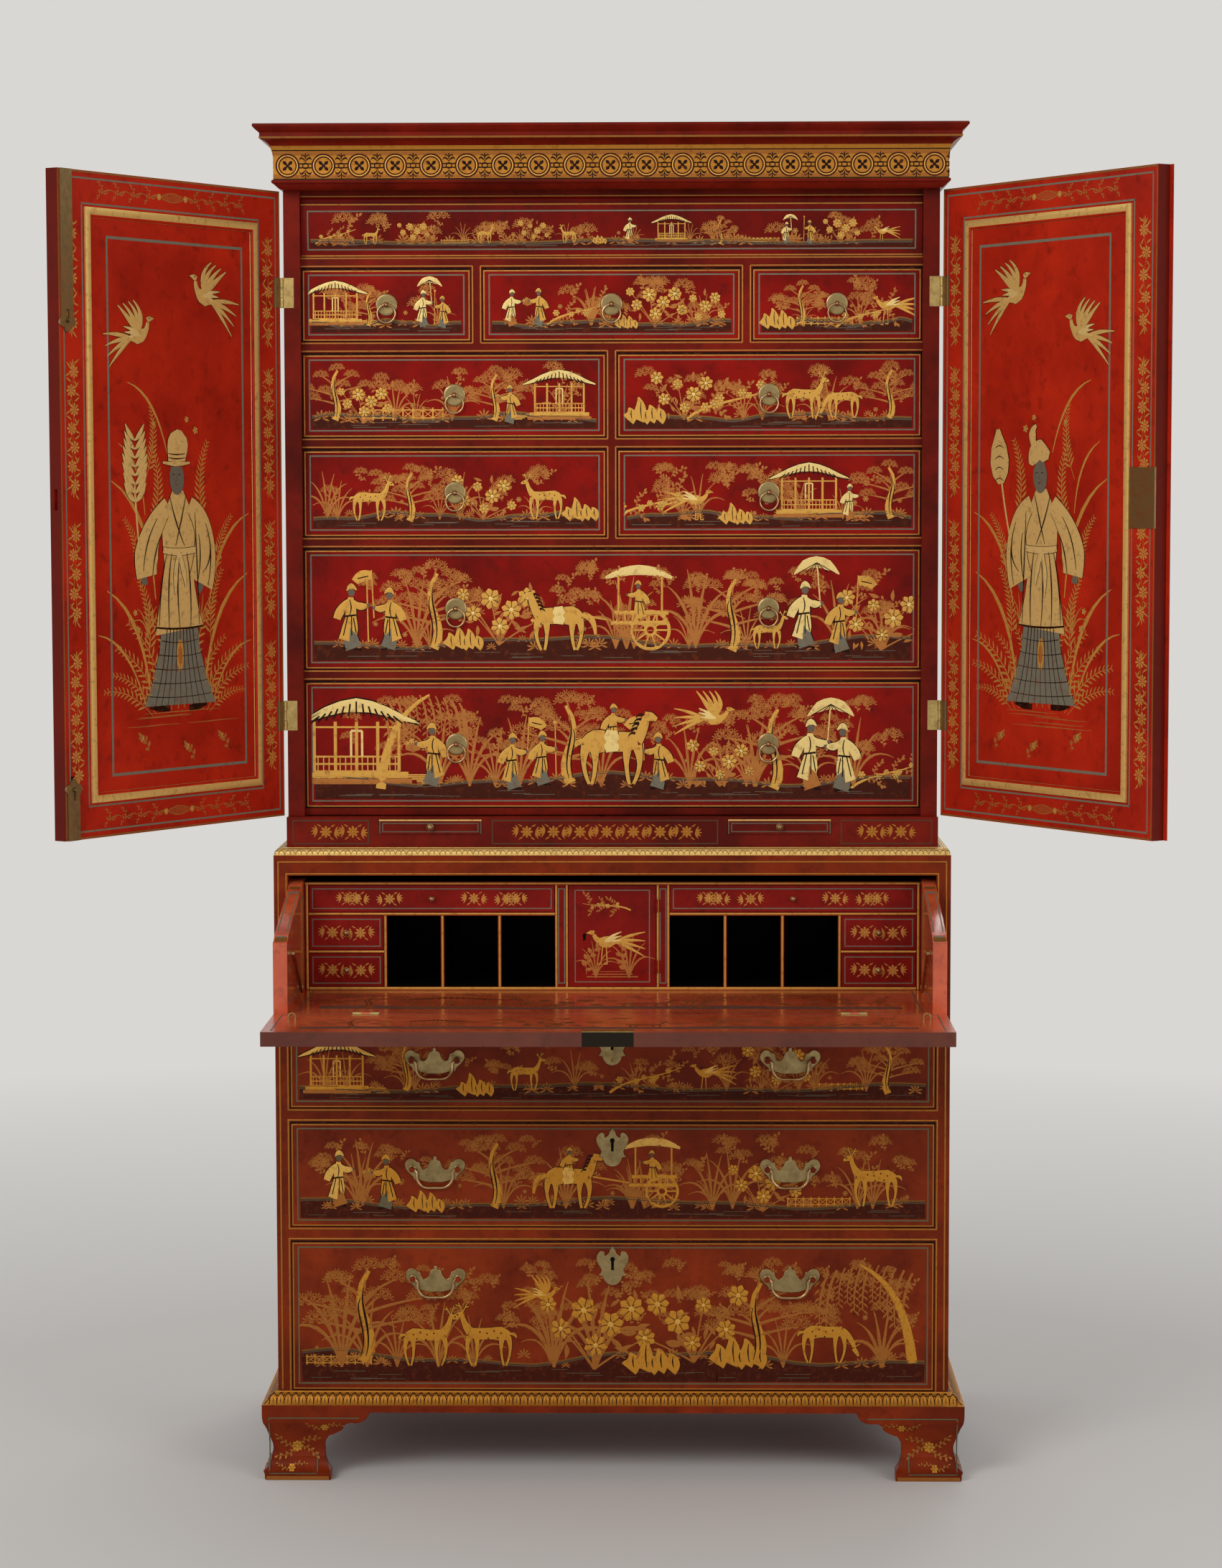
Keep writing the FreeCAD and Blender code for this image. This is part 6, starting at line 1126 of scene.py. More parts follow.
# Upper drawers: nine with flat fronts and ring pulls and a rounded one on top, pine lacquered deep crimson
# over oak boxes. They are the most finely gilt parts of the cabinet.
UPPER_FACE, GAP, RING = -7.7, 0.6, 14
drawer_red = lacquer("deep_crimson_lacquer_before_oak", "981309", "6c0d06", UPPER_FACE + 19)
cushion_red = lacquer("deep_crimson_lacquer_on_a_rounded_front", "861309", "5c0d06", UPPER_FACE + 19)
upper_drawers = {
    "long_lower": ((-243.9, 243.9), "house 7 84, willow 16 90, gardener 20 56 <, fern 26 70, bearer 33 50, "
        "walker 38 48, pine 43 82 <, rider 50 70, bearer 58 50 <, fern 63 60, flying bird 67 42, "
        "roses 68 44, old pine 77 84, sage 83 62, lady 89 60 <, branch 96 40"),
    "long_upper": ((-243.9, 243.9), "walker 6 62, bearer 13 58 <, pine 20 84, stones 25 36, peony 31 62, "
        "horse 41 60 <, cart 54 70 <, fern 64 80, old pine 70 80, deer 76 34, lady 82 62, bearer 88 56, "
        "roses 95 60"),
    "pair_lower_left": ((-244.3,), "fern 5 70, deer 20 60, pine 34 80, roses 60 66, deer 82 60 <, "
        "rock 94 50"),
    "pair_lower_right": ((244.3,), "branch 8 70, bird 24 56, rock 38 46, house 64 84, sage 78 50, "
        "old pine 93 84 <"),
    "pair_upper_left": ((-244.3,), "old pine 8 86, peony 18 60, fence 32 60, pine 64 80, gardener 70 56 <, "
        "house 87 80 <"),
    "pair_upper_right": ((244.3,), "rock 6 60, roses 20 74, long branch 36 80, deer 62 66, "
        "grazing deer 76 58 <, pine 92 84"),
    "trio_left": ((-349.1,), "house 16 86, pine 38 70, lady 74 64, walker 88 56 <"),
    "trio_middle": ((0.0,), "sage 8 64, gardener 20 66 <, branch 36 70, peony 68 80, roses 86 70, "
        "stones 56 40"),
    "trio_right": ((349.1,), "stones 10 60, old pine 26 80, fence 42 50, bird 84 66 <, branch 70 70"),
}
ring_plate = [(0, 1.7), (12.2, 1.7), (14.6, 1.95), (16.4, 1.5), (17.3, 0.7), (17.4, 0), (0, 0)]
ring_ball = [(0, 9.6), (2.0, 9.2), (3.3, 7.7), (3.6, 6.0), (3.0, 4.4), (2.2, 3.4),
             (3.6, 2.6), (4.4, 1.6), (0, 1.6)]
turn = np.linspace(0, 2 * np.pi, 41)[:-1]
for seed, (opening, (name, (rings, scene))) in enumerate(zip(upper_openings, upper_drawers.items())):
    x0, z0, x1, z1 = np.round(np.add(opening, (GAP, GAP, -GAP, -GAP)), 1)
    level = round((z0 + z1) / 2, 2)
    dress(drawer_red, f"{name}_drawer")
    drawer_front(f"{name}_drawer", f"{name}_box", x0, z0, x1, z1, UPPER_FACE,
                 40 + seed, scene, old_gold, 1.35)
    plates = [part for x in rings for part in (
        turned(ring_plate, (x, UPPER_FACE, level), -Y, 36),
        turned(ring_ball, (x, UPPER_FACE, level), -Y, 20))]
    brass_piece(f"{name}_ring_plates", plates, f"{name}_box")
    loops = []
    for x in rings:
        path = np.column_stack([
            x + RING * np.sin(turn), np.full(40, UPPER_FACE - 6.4), level - RING + RING * np.cos(turn),
        ])
        loops.append(wire(path, 1.6, closed=True))
    node = f"{name}_rings" if len(rings) > 1 else f"{name}_ring"
    brass_piece(f"{name}_cast_rings", loops, f"{name}_pull", wire_brass, (node,))

dress(cushion_red, "cushion_drawer")
belly_z = np.array([0, 6, 14, 24, 34, 44, 54, 64, 74, 79.3, 79.5, 88, 92.8])
belly_out = np.array([0, 1.62, 3.44, 5.19, 6.4, 7.14, 7.55, 7.66, 7.4, 7.0, 2.1, 2.1, 0])


def on_cushion(px, py):
    """How far the rounded front stands out at each height above the drawer's foot."""
    return np.interp(py, belly_z, belly_out) + 0.35


cushion_scene = (
    "branch 4 70, deer 10 50, peony 17 70, fence 24 40, deer 29 50, roses 37 66, deer 43 50 <, "
    "stones 48 40, sage 53 70, house 60 86, pine 68 80, fence 75 50, lady 79 60, walker 83 66 <, "
    "peony 88 80, bird 95 60 <"
)
drawer_front("cushion_drawer", "cushion_box", -480, 1907.3, 480, 1986.8, UPPER_FACE, 71, cushion_scene,
             old_gold, 1.4, on_cushion)
arris = [[(-480, UPPER_FACE - 7.6, 1986.6), (480, UPPER_FACE - 7.6, 1986.6)],
         [(-480, UPPER_FACE - 0.3, 1908.4), (480, UPPER_FACE - 0.3, 1908.4)]]
plain_gold("cushion_drawer_arris", [carried(path, half_round(2.6, 0.8), -Y, closed=False) for path in arris],
           "cushion_box", 0.5)


# Doors: mitred pine frames round a fielded panel, bright vermilion inside, where the light seldom
# reached, and darker on the edges and outside. The panel's border is a broad rounded bead, gilt all over.
def two_faced(material, facing, code):
    """Darken a lacquer on every face that looks away from a direction, such as a door's edges and outside."""
    tree = material.node_tree
    shader = next(node for node in tree.nodes if node.type == "BSDF_PRINCIPLED")
    way = add(tree, "TexCoord").outputs["Normal"]
    dot = add(tree, "VectorMath", {0: way, 1: tuple(facing)}, operation="DOT_PRODUCT")
    faces = add(tree, "Math", {0: dot.outputs["Value"], 1: 0.4}, operation="GREATER_THAN")
    colour = shader.inputs["Base Color"].links[0].from_socket
    shade = add(tree, "Mix", {0: 0.86, 6: colour, 7: linear(code)}, data_type="RGBA")
    both = add(tree, "Mix", {0: faces.outputs[0], 6: shade.outputs[2], 7: colour}, data_type="RGBA")
    tree.links.new(both.outputs[2], shader.inputs["Base Color"])
    return material


DOOR_LOW, DOOR_WIDE, DOOR_TALL = 1040.5, 505.6, 965.1
FINE = 29


def strokes(rows, steps):
    """Brush strokes from rows of x and y in turn, half widths, tone, lift
    and, where there is one, the width of the ink line round the stroke."""
    drawn = [brush(np.reshape(points, (-1, 2)), half, tone, lift, steps)
             for points, half, tone, lift, *_ in rows]
    drawn = [outlined(one, *row[4:]) if len(row) > 4 else one for one, row in zip(drawn, rows)]
    return np.concatenate(drawn)


def courtier(lean, hat, carry):
    """A robed figure about one unit high and the leaf fan that it holds, if any: bell skirt, folded
    coat, sash, wide sleeves and a high hat. The face is a plain dark oval with a few calm lines."""
    oval = np.sqrt(1 - np.linspace(-0.99, 0.99, FINE) ** 2)
    robe, skin, hair = 0.93, 0.17, (0.001, 0.003, 0.001)
    rows = [
        ((0, 0, 0, 0.13, 0, 0.26, 0, 0.4), (0.2, 0.15, 0.115, 0.1, 0.095), GREY, 0, 0.003),
        ((0, 0.27, 0.015, 0.4, -0.005, 0.52, 0, 0.62, lean * 0.3, 0.78),
         (0.135, 0.115, 0.1, 0.086, 0.08, 0.088, 0.092, 0.075, 0.03), robe, 0.2, 0.003),
        ((-0.06, 0.73, -0.15, 0.68, -0.17, 0.56, -0.12, 0.44),
         (0.03, 0.042, 0.05, 0.062, 0.07), robe, 1, 0.003),
        ((0.06, 0.73, 0.14, 0.66, 0.2, 0.58, 0.18, 0.47), (0.03, 0.042, 0.052, 0.064, 0.055), robe, 1, 0.003),
        ((0, 0.12, 0, 0.24), 0.028 * oval, GOLD, 0.6, 0.003), ((0, 0.145, 0, 0.215), 0.012 * oval, COPPER, 2),
        ((lean * 0.5, 0.765, lean, 0.885), 0.04 * oval, skin, 2),
    ]
    if hat == "tall":
        rows += [((lean, 0.875, lean - 0.01, 0.95, lean - 0.02, 1), (0.042, 0.05, 0.056, 0.056, 0.046, 0.012),
                  robe, 1.5, 0.003),
                 ((lean - 0.075, 0.882, lean, 0.872, lean + 0.075, 0.882),
                  (0.004, 0.009, 0.004), robe, 2.4, 0.002)]
        rows += [((lean - 0.05, y, lean, y - 0.008, lean + 0.045, y), (0.001, 0.0025, 0.001), INK, 4)
                 for y in (0.9, 0.915)]
    else:
        rows += [((lean - 0.05, 0.868, lean - 0.03, 0.93, lean + 0.055, 0.9),
                  (0.012, 0.042, 0.05, 0.014), robe, 1.5, 0.003),
                 ((lean - 0.03, 0.93, lean - 0.06, 0.99, lean - 0.02, 1.01),
                  (0.014, 0.02, 0.006), robe, 1.5, 0.003)]
    rows += [(fold, hair, INK, 3.4) for fold in (
        (-0.09, 0.7, -0.1, 0.5, -0.11, 0.29), (-0.04, 0.56, -0.07, 0.45, -0.06, 0.28),
        (0, 0.56, 0.02, 0.42, 0, 0.28), (0.04, 0.56, 0.07, 0.45, 0.06, 0.28),
        (0.07, 0.55, 0.11, 0.44, 0.115, 0.29), (0.05, 0.76, 0.02, 0.66, -0.03, 0.58),
        (-0.04, 0.76, -0.01, 0.66, 0.02, 0.58), (-0.15, 0.66, -0.2, 0.56, -0.16, 0.43),
        (-0.11, 0.62, -0.13, 0.54, -0.1, 0.44), (0.12, 0.68, 0.19, 0.6, 0.2, 0.49),
        (0.1, 0.62, 0.14, 0.56, 0.15, 0.47), (-0.17, 0.6, -0.19, 0.52, -0.13, 0.48))]
    rows += [((-0.09, 0.565, 0, 0.55, 0.09, 0.565), (0.011, 0.013, 0.011), PALE_GOLD, 2.4, 0.002),
             ((0, 0.555, 0.03, 0.47, 0.02, 0.4), (0.01, 0.013, 0.004), PALE_GOLD, 2.4, 0.002),
             ((0, 0.555, -0.03, 0.48, -0.035, 0.43), (0.01, 0.013, 0.004), PALE_GOLD, 2.4, 0.002),
             ((-0.13, 0.285, 0, 0.27, 0.135, 0.285), (0.003, 0.004, 0.003), INK, 2.6)]
    for y in (0.03, 0.08, 0.13, 0.18, 0.23):
        wide = 0.185 - 0.36 * y
        rows.append(((-wide, y + 0.006, 0, y - 0.012, wide, y + 0.006), (0.001, 0.0016), INK, 2))
    rows += [((x * 0.18, 0, x * 0.11, 0.13, x * 0.09, 0.28), (0.001, 0.002), INK, 2)
             for x in np.linspace(-0.8, 0.8, 9)]
    rows += [((x - 0.008, 0.837, x, 0.841, x + 0.008, 0.837), (0.0006, 0.0016, 0.0006), INK, 3)
             for x in (lean - 0.016, lean + 0.016)]
    rows += [((lean - 0.007, 0.803, lean, 0.8, lean + 0.007, 0.803), (0.0006, 0.0016, 0.0006), INK, 3),
             ((lean, 0.83, lean - 0.006, 0.818, lean + 0.001, 0.816), (0.0006, 0.001), INK, 3),
             ((-0.12, 0.44, -0.11, 0.405), (0.02, 0.016, 0.008), skin, 2),
             ((0.18, 0.46, 0.21, 0.45), (0.018, 0.016, 0.008), skin, 2),
             ((-0.15, -0.005, -0.05, -0.015), (0.004, 0.014, 0.01), INK, 0.3),
             ((0.06, -0.012, 0.17, -0.005), (0.01, 0.014, 0.004), INK, 0.3)]
    if carry == "leaf":
        rows.append(((0.2, 0.44, 0.235, 0.66, 0.24, 0.8), (0.004, 0.005), robe, 1))
        side = brush([(0, 0), (0.035, 0.02), (0.06, 0.07)], (0.003, 0.012, 0.011, 0.002), robe, 1)
        y = np.linspace(0.74, 0.96, 8)
        leaves = copies(side, 0.238, y, 1.15 - np.abs(y - 0.82) * 2.2)
        fan = outlined(np.concatenate([leaves, copies(leaves, 0.476, 0, 1, 0, -1)]), 0.002)
        return strokes(rows, FINE), fan
    rows += [((-0.11, 0.41, -0.2, 0.6, -0.24, 0.82), (0.004, 0.005), robe, 1.5),
             ((-0.24, 0.8, -0.25, 0.86, -0.26, 1), (0.016, 0.045, 0.055, 0.045, 0.01), robe, 1.5, 0.003)]
    rows += [((-0.275, y - 0.02, -0.25, y, -0.225, y - 0.02), (0.001, 0.002, 0.001), INK, 3.4)
             for y in (0.83, 0.87, 0.91, 0.95)]
    return strokes(rows, FINE), None


def frond(count):
    """A slim arching stem from 0 to 1 along X, with short
    pointed leaves in pairs that shorten towards its tip."""
    stem = brush([(0, 0), (0.4, 0.16), (0.75, 0.13), (1, 0)], (0.004, 0.006, 0.003), 0.62)
    t = np.linspace(0.15, 0.97, count)
    x, y = (np.interp(t, np.linspace(0, 1, STEPS), stem[0, :, axis]) for axis in (0, 1))
    size = np.linspace(0.15, 0.06, count)
    slope = np.arctan2(np.gradient(y), np.gradient(x))
    leaf = brush([(0, 0), (0.5, 0.12), (1, 0)], (0.01, 0.09, 0.1, 0.01), 0.62)
    return np.concatenate([stem, copies(leaf, x, y, size, slope + 0.8),
                           copies(leaf, x, y, size, slope - 0.8)])


def chain(length, seed):
    """An upright spray from 0 to length: a waving stem with open flowers in turn
    to either side, pairs of pointed leaves between them and a tuft at each end."""
    count = int(length / 27)
    y = (np.arange(count) + 0.5) * length / count
    x = 3.2 * np.where(np.arange(count) % 2, 1, -1)
    leaf = brush([(0, 0), (0.5, 0.12), (1, 0)], (0.02, 0.09, 0.11, 0.07, 0.01), 0.6)
    t = np.linspace(6, length - 6, STEPS)
    stem = band(2.5 * np.sin(t / 12 + seed), t, 0.45, 0.5)[None]
    return np.concatenate([stem, copies(petals(8, 1, 0.19, 0.66, 0.3), x, y, 10),
                           copies(petals(6, 1, 0.2, 0.8, 0.2), x, y, 4),
                           copies(leaf, -x, y + 3, 14, np.where(x > 0, 2.3, 0.85)),
                           copies(leaf, -x, y - 2, 13, np.where(x > 0, 3.5, -0.4)),
                           copies(leaf, x, y + 12, 13, np.where(x > 0, 0.5, 2.6)),
                           copies(leaf, x, y - 12, 12, np.where(x > 0, -0.9, 4.0)),
                           copies(leaf, 0, (length - 6, length - 8, length - 8), 11, (1.57, 1.0, 2.1)),
                           copies(leaf, 0, (6, 8, 8), 11, (-1.57, -1.0, -2.1))])


def scroll(width):
    """A rail border: flat scrolls running out from a hatched cartouche."""
    curl = np.concatenate([brush([(0, 0), (14, 9), (22, -9), (34, 2)], (0.4, 1.1, 0.5), COPPER),
                           brush([(10, 2), (16, -7), (24, -4), (20, 1)], (0.4, 1.0, 0.4), COPPER),
                           copies(leafy(4, 0.3, 0.1, COPPER, 8), 24, 0, 14, (0.9, -0.8))])
    x = np.arange(26, width / 2 - 30, 35)
    half = copies(curl, x, 0, 1, 0, 1)
    net = np.concatenate([brush([(-26, 0), (0, 13), (26, 0)], (0.6, 0.9), COPPER),
                          brush([(-26, 0), (0, -13), (26, 0)], (0.6, 0.9), COPPER)])
    bars = np.linspace(-18, 18, 9)
    hatch = rods([(b - 4, -4.5, b + 4, 4.5) for b in bars] + [(b + 4, -4.5, b - 4, 4.5) for b in bars], 0.45,
                 COPPER)
    return np.concatenate([half, copies(half, 0, 0, 1, 0, -1), net, hatch,
                           copies(blossom(8), (-30, 30), 0, 5)])


def door_picture(seed):
    """The painting of one door in its closed frame, x from
    the hinge edge: lines, borders, birds and plants."""
    rng = np.random.default_rng(seed)
    edging = [
        border(2, 2, DOOR_WIDE - 2, DOOR_TALL - 2, 1.1, DULL),
        border(11, 11, DOOR_WIDE - 11, DOOR_TALL - 11, 1.3), border(52, 47, 454, 918, 1.3),
        copies(scroll(330), 253, (27.5, 938)),
    ]
    edging += [copies(chain(high - low, seed), x, low) for x in (31, 478)
               for low, high in ((80, 270), (315, 455), (500, 690), (730, 890))]
    # the frame's gold lies thin and flat, because the bolts slide over it
    edging = np.concatenate(edging)
    edging[..., 4] = 0.1 * edging[..., 3] - 0.12
    root_x, root_y = 244.0, 190.0
    fan = np.linspace(0.35, 2.8, 12)
    left = fan > 1.57
    low_fronds = copies(frond(11), root_x + 70 * np.cos(fan), root_y - 22 + 12 * np.sin(fan),
                        rng.uniform(0.75, 1.0, 12) * (85 + 95 * np.sin(fan)),
                        np.where(left, fan - np.pi, fan), np.where(left, -1, 1))
    high_fronds = copies(frond(14), (172, 160, 186, 318, 334, 308, 322), (270, 370, 450, 250, 360, 440, 520),
                         (120, 105, 130, 130, 110, 130, 110), (-1.35, -1.2, -1.5, 1.4, 1.25, 1.6, 1.7),
                         (-1, -1, -1, 1, 1, 1, 1))
    blade = brush([(0, 0), (0.04, 0.45), (0.2, 0.85), (0.55, 1.0)], (0.006, 0.016, 0.02, 0.004), 0.66)
    blades = copies(blade, (190, 178, 312, 300, 270, 322, 330, 168), (190, 330, 185, 345, 560, 470, 200, 190),
                    (190, 150, 175, 175, 120, 105, 120, 110), (0, 0.1, 0, 0, -0.2, 0, -0.3, 0.3),
                    (-1, -1, 1, 1, 1, 1, 1, -1))
    grass = copies(fern(0.6), (178, 196, 300, 318), (186, 300, 186, 290), (70, 55, 70, 60))
    buds = copies(blossom(5, 0.72), (160, 150, 340, 352, 346, 205, 225, 300),
                  (420, 405, 300, 312, 326, 596, 612, 604), (5, 4, 6, 5, 5, 6, 5, 5))
    ground = brush([(-60, 0), (-20, 1.5), (20, -1.5), (60, 0)], (0.3, 0.8, 0.3), COPPER)
    ground = copies(ground, rng.uniform(170, 310, 6), rng.uniform(150, 176, 6))
    birds = copies(outlined(bird(0.85, True), 0.008), (196, 322), (752, 690),
                   (92, 88), (0.35, -0.25), (1, -1))
    parts = [edging, low_fronds, high_fronds, blades, grass, buds, ground, birds]
    for x, y in ((135, 112), (215, 100), (318, 118)):
        parts += [copies(leafy(5, 0.3, 0.09, COPPER, seed + 5), x, y, 30, 0.9),
                  copies(blossom(5), x + 16, y + 22, 6)]
    return np.concatenate(parts)


# OPEN_X and OPEN_Y are the cosine and sine of 57.5 degrees, the angle of the open doors to the front
DOOR_PIN, OPEN_X, OPEN_Y = np.array([509.4, -29.0, 0]), 0.5373, 0.8434
for word, sign, seed, (figure, leaf_fan) in (
    ("left", -1, 9, courtier(0.012, "tall", "leaf")), ("right", 1, 5, courtier(-0.014, "hood", "fan")),
):
    body, start = f"{word}_door", 0 if sign > 0 else DOOR_WIDE
    along = np.array([sign * OPEN_X, -OPEN_Y, 0])
    inward = np.array([-sign * OPEN_Y, -OPEN_X, 0])
    vermilion = two_faced(lacquer(f"vermilion_lacquer_of_the_{word}_door", "bf2a14", "9e1f10"), inward,
                          "4a130c")
    dress(vermilion, f"{body}_frame", f"{body}_panel")
    hinge_edge = DOOR_PIN * [sign, 1, 1] + 3.4 * along + DOOR_LOW * Z
    corner, back_corner = hinge_edge - 0.3 * inward, hinge_edge - 21.3 * inward
    across = sign * along
    origin = corner + start * along
    back_origin = back_corner + (DOOR_WIDE - start) * along

    ends = [(64, 59), (441.6, 59), (441.6, 906.1), (64, 906.1)][::sign]
    path = [corner + x * along + z * Z for x, z in ends]
    bead = [(-7.3, -0.2), (-7.3, 2.6), (-6.0, 3.25), (-1.5, 3.45), (3.2, 3.1), (6.2, 1.4),
            (7.3, -1.1), (6.0, -1.3)]
    plain_gold(f"{body}_gilt_beads", [carried(path, bead, inward)], body, 0.85)

    def on_face(px, py):
        """The field of the panel lies a little below the face of the frame."""
        x = px if sign > 0 else DOOR_WIDE - px
        inside = (x > 71) & (x < 435) & (py > 66) & (py < 899)
        return np.where(inside, -1.0, 0.0)

    drawings = {"painting": door_picture(seed), "field_line": border(92, 89.5, 399.6, 872.5, 2.1),
                "figure": copies(figure, 246, 186, 410)}
    if leaf_fan is not None:
        drawings["leaf_fan"] = copies(leaf_fan, 246, 186, 410)
    for name, drawing in drawings.items():
        gild(f"{body}_{name}", copies(drawing, start, 0, 1, 0, sign), origin, across, Z,
             body, old_gold, on_face)
    spray = copies(np.concatenate([MOTIFS["peony"], MOTIFS["branch"]]), 253, 420, 220)
    lines = [border(11, 11, DOOR_WIDE - 11, DOOR_TALL - 11, 1.2), border(60, 60, 446, 905, 1.6, COPPER)]
    gild(f"{body}_outside", np.concatenate([*lines, spray]), back_origin, -across, Z, body)
    dress(plate_brass, f"{body}_brass")
dress(plate_brass, "top_bolt", "bottom_bolt")


# Door hinges: leaves of sheet brass let into door and case, with round knuckles that turn on a pin. Their
# screws aren't shown.
HINGE_TALL = 46
dress(pale_brass, "case_hinge_leaves")
for word, sign in (("left", -1), ("right", 1)):
    for level in (1196.5, 1850.6):
        pin = DOOR_PIN * [sign, 1, 1]
        for first, last, body in ((0, 15.1, "case"), (15.5, 30.5, f"{word}_door"),
                                  (30.9, HINGE_TALL, "case")):
            low = level - HINGE_TALL / 2 + first
            tall = last - first
            profile = [(0, 0), (2.6, 0), (3.25, 0.5), (3.25, tall - 0.5), (2.6, tall), (0, tall)]
            part = turned(profile, pin + low * Z, Z, 20)
            brass_piece(f"{word}_hinge_knuckle_{int(low)}", [part], body, pale_brass)


# Writing drawer: a drawer whose front falls forward on two lapped hinges
# to lengthen the writing surface. All of it is lacquered red over pine and
# rubbed dull where arms rest, with grey lines and dim gold drawing inside.
SEAM, LEVEL, FALL_EDGE = -302.3, 767.0, -485.3
DESK_INSIDE, FALL_HALF = 481.1, 501.2
desk_red = lacquer("rubbed_red_lacquer_of_the_writing_surface", "d8623a", "ac3f20", polish=0.8)
fall_red = two_faced(lacquer("rubbed_red_lacquer_of_the_fall", "de6a42", "b04422", polish=0.5), (0, 0, 1),
                     "38160b")
tree = fall_red.node_tree
place = add(tree, "SeparateXYZ", {0: add(tree, "TexCoord").outputs["Object"]})
facing = add(tree, "SeparateXYZ", {0: add(tree, "TexCoord").outputs["Normal"]})
aside = add(tree, "Math", {0: place.outputs["X"]}, operation="ABSOLUTE")
within = add(tree, "Math", {0: aside.outputs[0], 1: 0.0375}, operation="LESS_THAN")
forward = add(tree, "Math", {0: facing.outputs["Y"], 1: -0.7}, operation="LESS_THAN")
at_lock = add(tree, "Math", {0: within.outputs[0], 1: forward.outputs[0]}, operation="MULTIPLY")
shader = next(node for node in tree.nodes if node.type == "BSDF_PRINCIPLED")
worn = shader.inputs["Base Color"].links[0].from_socket
lock = add(tree, "Mix", {0: at_lock.outputs[0], 6: worn, 7: linear("2c2720")}, data_type="RGBA")
tree.links.new(lock.outputs[2], shader.inputs["Base Color"])
tree.links.new(at_lock.outputs[0], shader.inputs["Metallic"])
outer = add(tree, "Math", {0: facing.outputs["Z"], 1: -0.7}, operation="LESS_THAN")
clouded = worn.node.inputs[7].links[0].from_socket
outside = add(tree, "HueSaturation", {"Saturation": 1.15, "Value": 0.42, "Color": clouded})
painted = add(tree, "Mix", {0: outer.outputs[0], 6: lock.outputs[2], 7: outside.outputs[0]}, data_type="RGBA")
tree.links.new(painted.outputs[2], shader.inputs["Base Color"])

dress(desk_red, "desk_drawer")
dress(fall_red, "fall_front")
dress(pale_brass, "fall_brass")
dress(wire_brass, "left_stay_hook", "right_stay_hook")


def shadow_scene(width, height, seed):
    """A thin, dim landscape for the writing surface, mostly worn away by use."""
    scene = "old pine 8 80, house 22 70, roses 40 60, deer 56 50, willow 70 80, branch 88 70"
    drawing = landscape(width, height, seed, scene, 0.5)
    drawing[..., 2] *= 0.7
    drawing[..., 3] = np.minimum(drawing[..., 3], 0.36)
    return drawing


worn_gold = gold_leaf("gold_worn_to_a_brown_shadow", (
    (0, "4a160e"), (0.2, "6c5a50"), (0.33, "86482a"), (0.45, "8f5230"), (0.7, "9c6a3c"), (1, "b58a55"),
), 0.3)
gild("fall_inside_painting", np.concatenate([
    border(14, 12, 989.6, 172, 1.2), copies(shadow_scene(900, 120, 31), 52, 30)]),
    (-501.8, FALL_EDGE, LEVEL), X, Y, "fall", worn_gold)
gild("writing_surface_painting", np.concatenate([
    border(14, 10, 948, 238, 1.2), copies(shadow_scene(880, 180, 32), 41, 36)]),
    (-DESK_INSIDE, SEAM + 12, LEVEL), X, Y, "desk", worn_gold)
fall_low = millimetres("fall_front")[0][2]
fall_tall = SEAM - FALL_EDGE
outer_scene = (
    "house 7 84, old pine 17 84, deer 27 50, deer 35 50 <, peony 46 70, roses 56 64 <, flying bird 66 34, "
    "cart 77 60 <, bearer 86 58, willow 94 80"
)
outer_picture = copies(landscape(977, fall_tall - 30, 33, outer_scene, 1.25), 13, 13)
gild("fall_outside_gilt_edge", border(2.5, 2.5, 1000, fall_tall - 4.5, 1.1, 0.5),
     (-FALL_HALF, SEAM, fall_low), X, -Y, "fall", dim_gold)
gild("fall_outside_picture", np.concatenate([border(10.5, 10.5, 992, fall_tall - 12, 1.1), outer_picture]),
     (-FALL_HALF, SEAM, fall_low), X, -Y, "fall", dim_gold, None, (9.4, 9.4, 993.1, fall_tall - 10.9))
arm_z = np.array([0, 105.6, 106.8, 108.2, 115.8, 140, 165, 172.9, 175.5])
arm_y = 262 * np.array([0.001, 0.001, 0.02, 0.04, 0.08, 0.46, 0.85, 0.93, 1.0])


def on_arm(px, py):
    """How far forward of the unit each height of the shaped side stands."""
    return -np.interp(py, arm_z, arm_y) + 0.3


for word, sign in (("left", -1), ("right", 1)):
    x = sign * 491.7
    lines = rods([(-7, 114, -7, 160), (7, 114, 7, 160), (-7, 114, 7, 114), (-7, 160, 7, 160)], 1.0, GREY)
    gild(f"{word}_desk_arm_lines", lines, (x, SEAM, LEVEL), X, Z, "desk", old_gold, on_arm)
    patch = rods([(x, low, x, high) for x in (-5.4, 0, 5.4) for low, high in ((164, 174.6), (107, 113))], 3.4,
                 DULL, 0.2)
    gild(f"{word}_desk_arm_gilt_end", patch, (x, SEAM, LEVEL), X, Z, "desk", dim_gold, on_arm)
    inner = rods([(14, 14, 236, 14), (236, 14, 236, 150), (236, 150, 150, 138), (150, 138, 30, 100),
                  (30, 100, 14, 92), (14, 92, 14, 14)], 1.1, GREY)
    gild(f"{word}_desk_side_lines", copies(inner, 0, 0, 1, 0, -sign),
         (sign * DESK_INSIDE, SEAM, LEVEL), -sign * Y, Z, "desk")


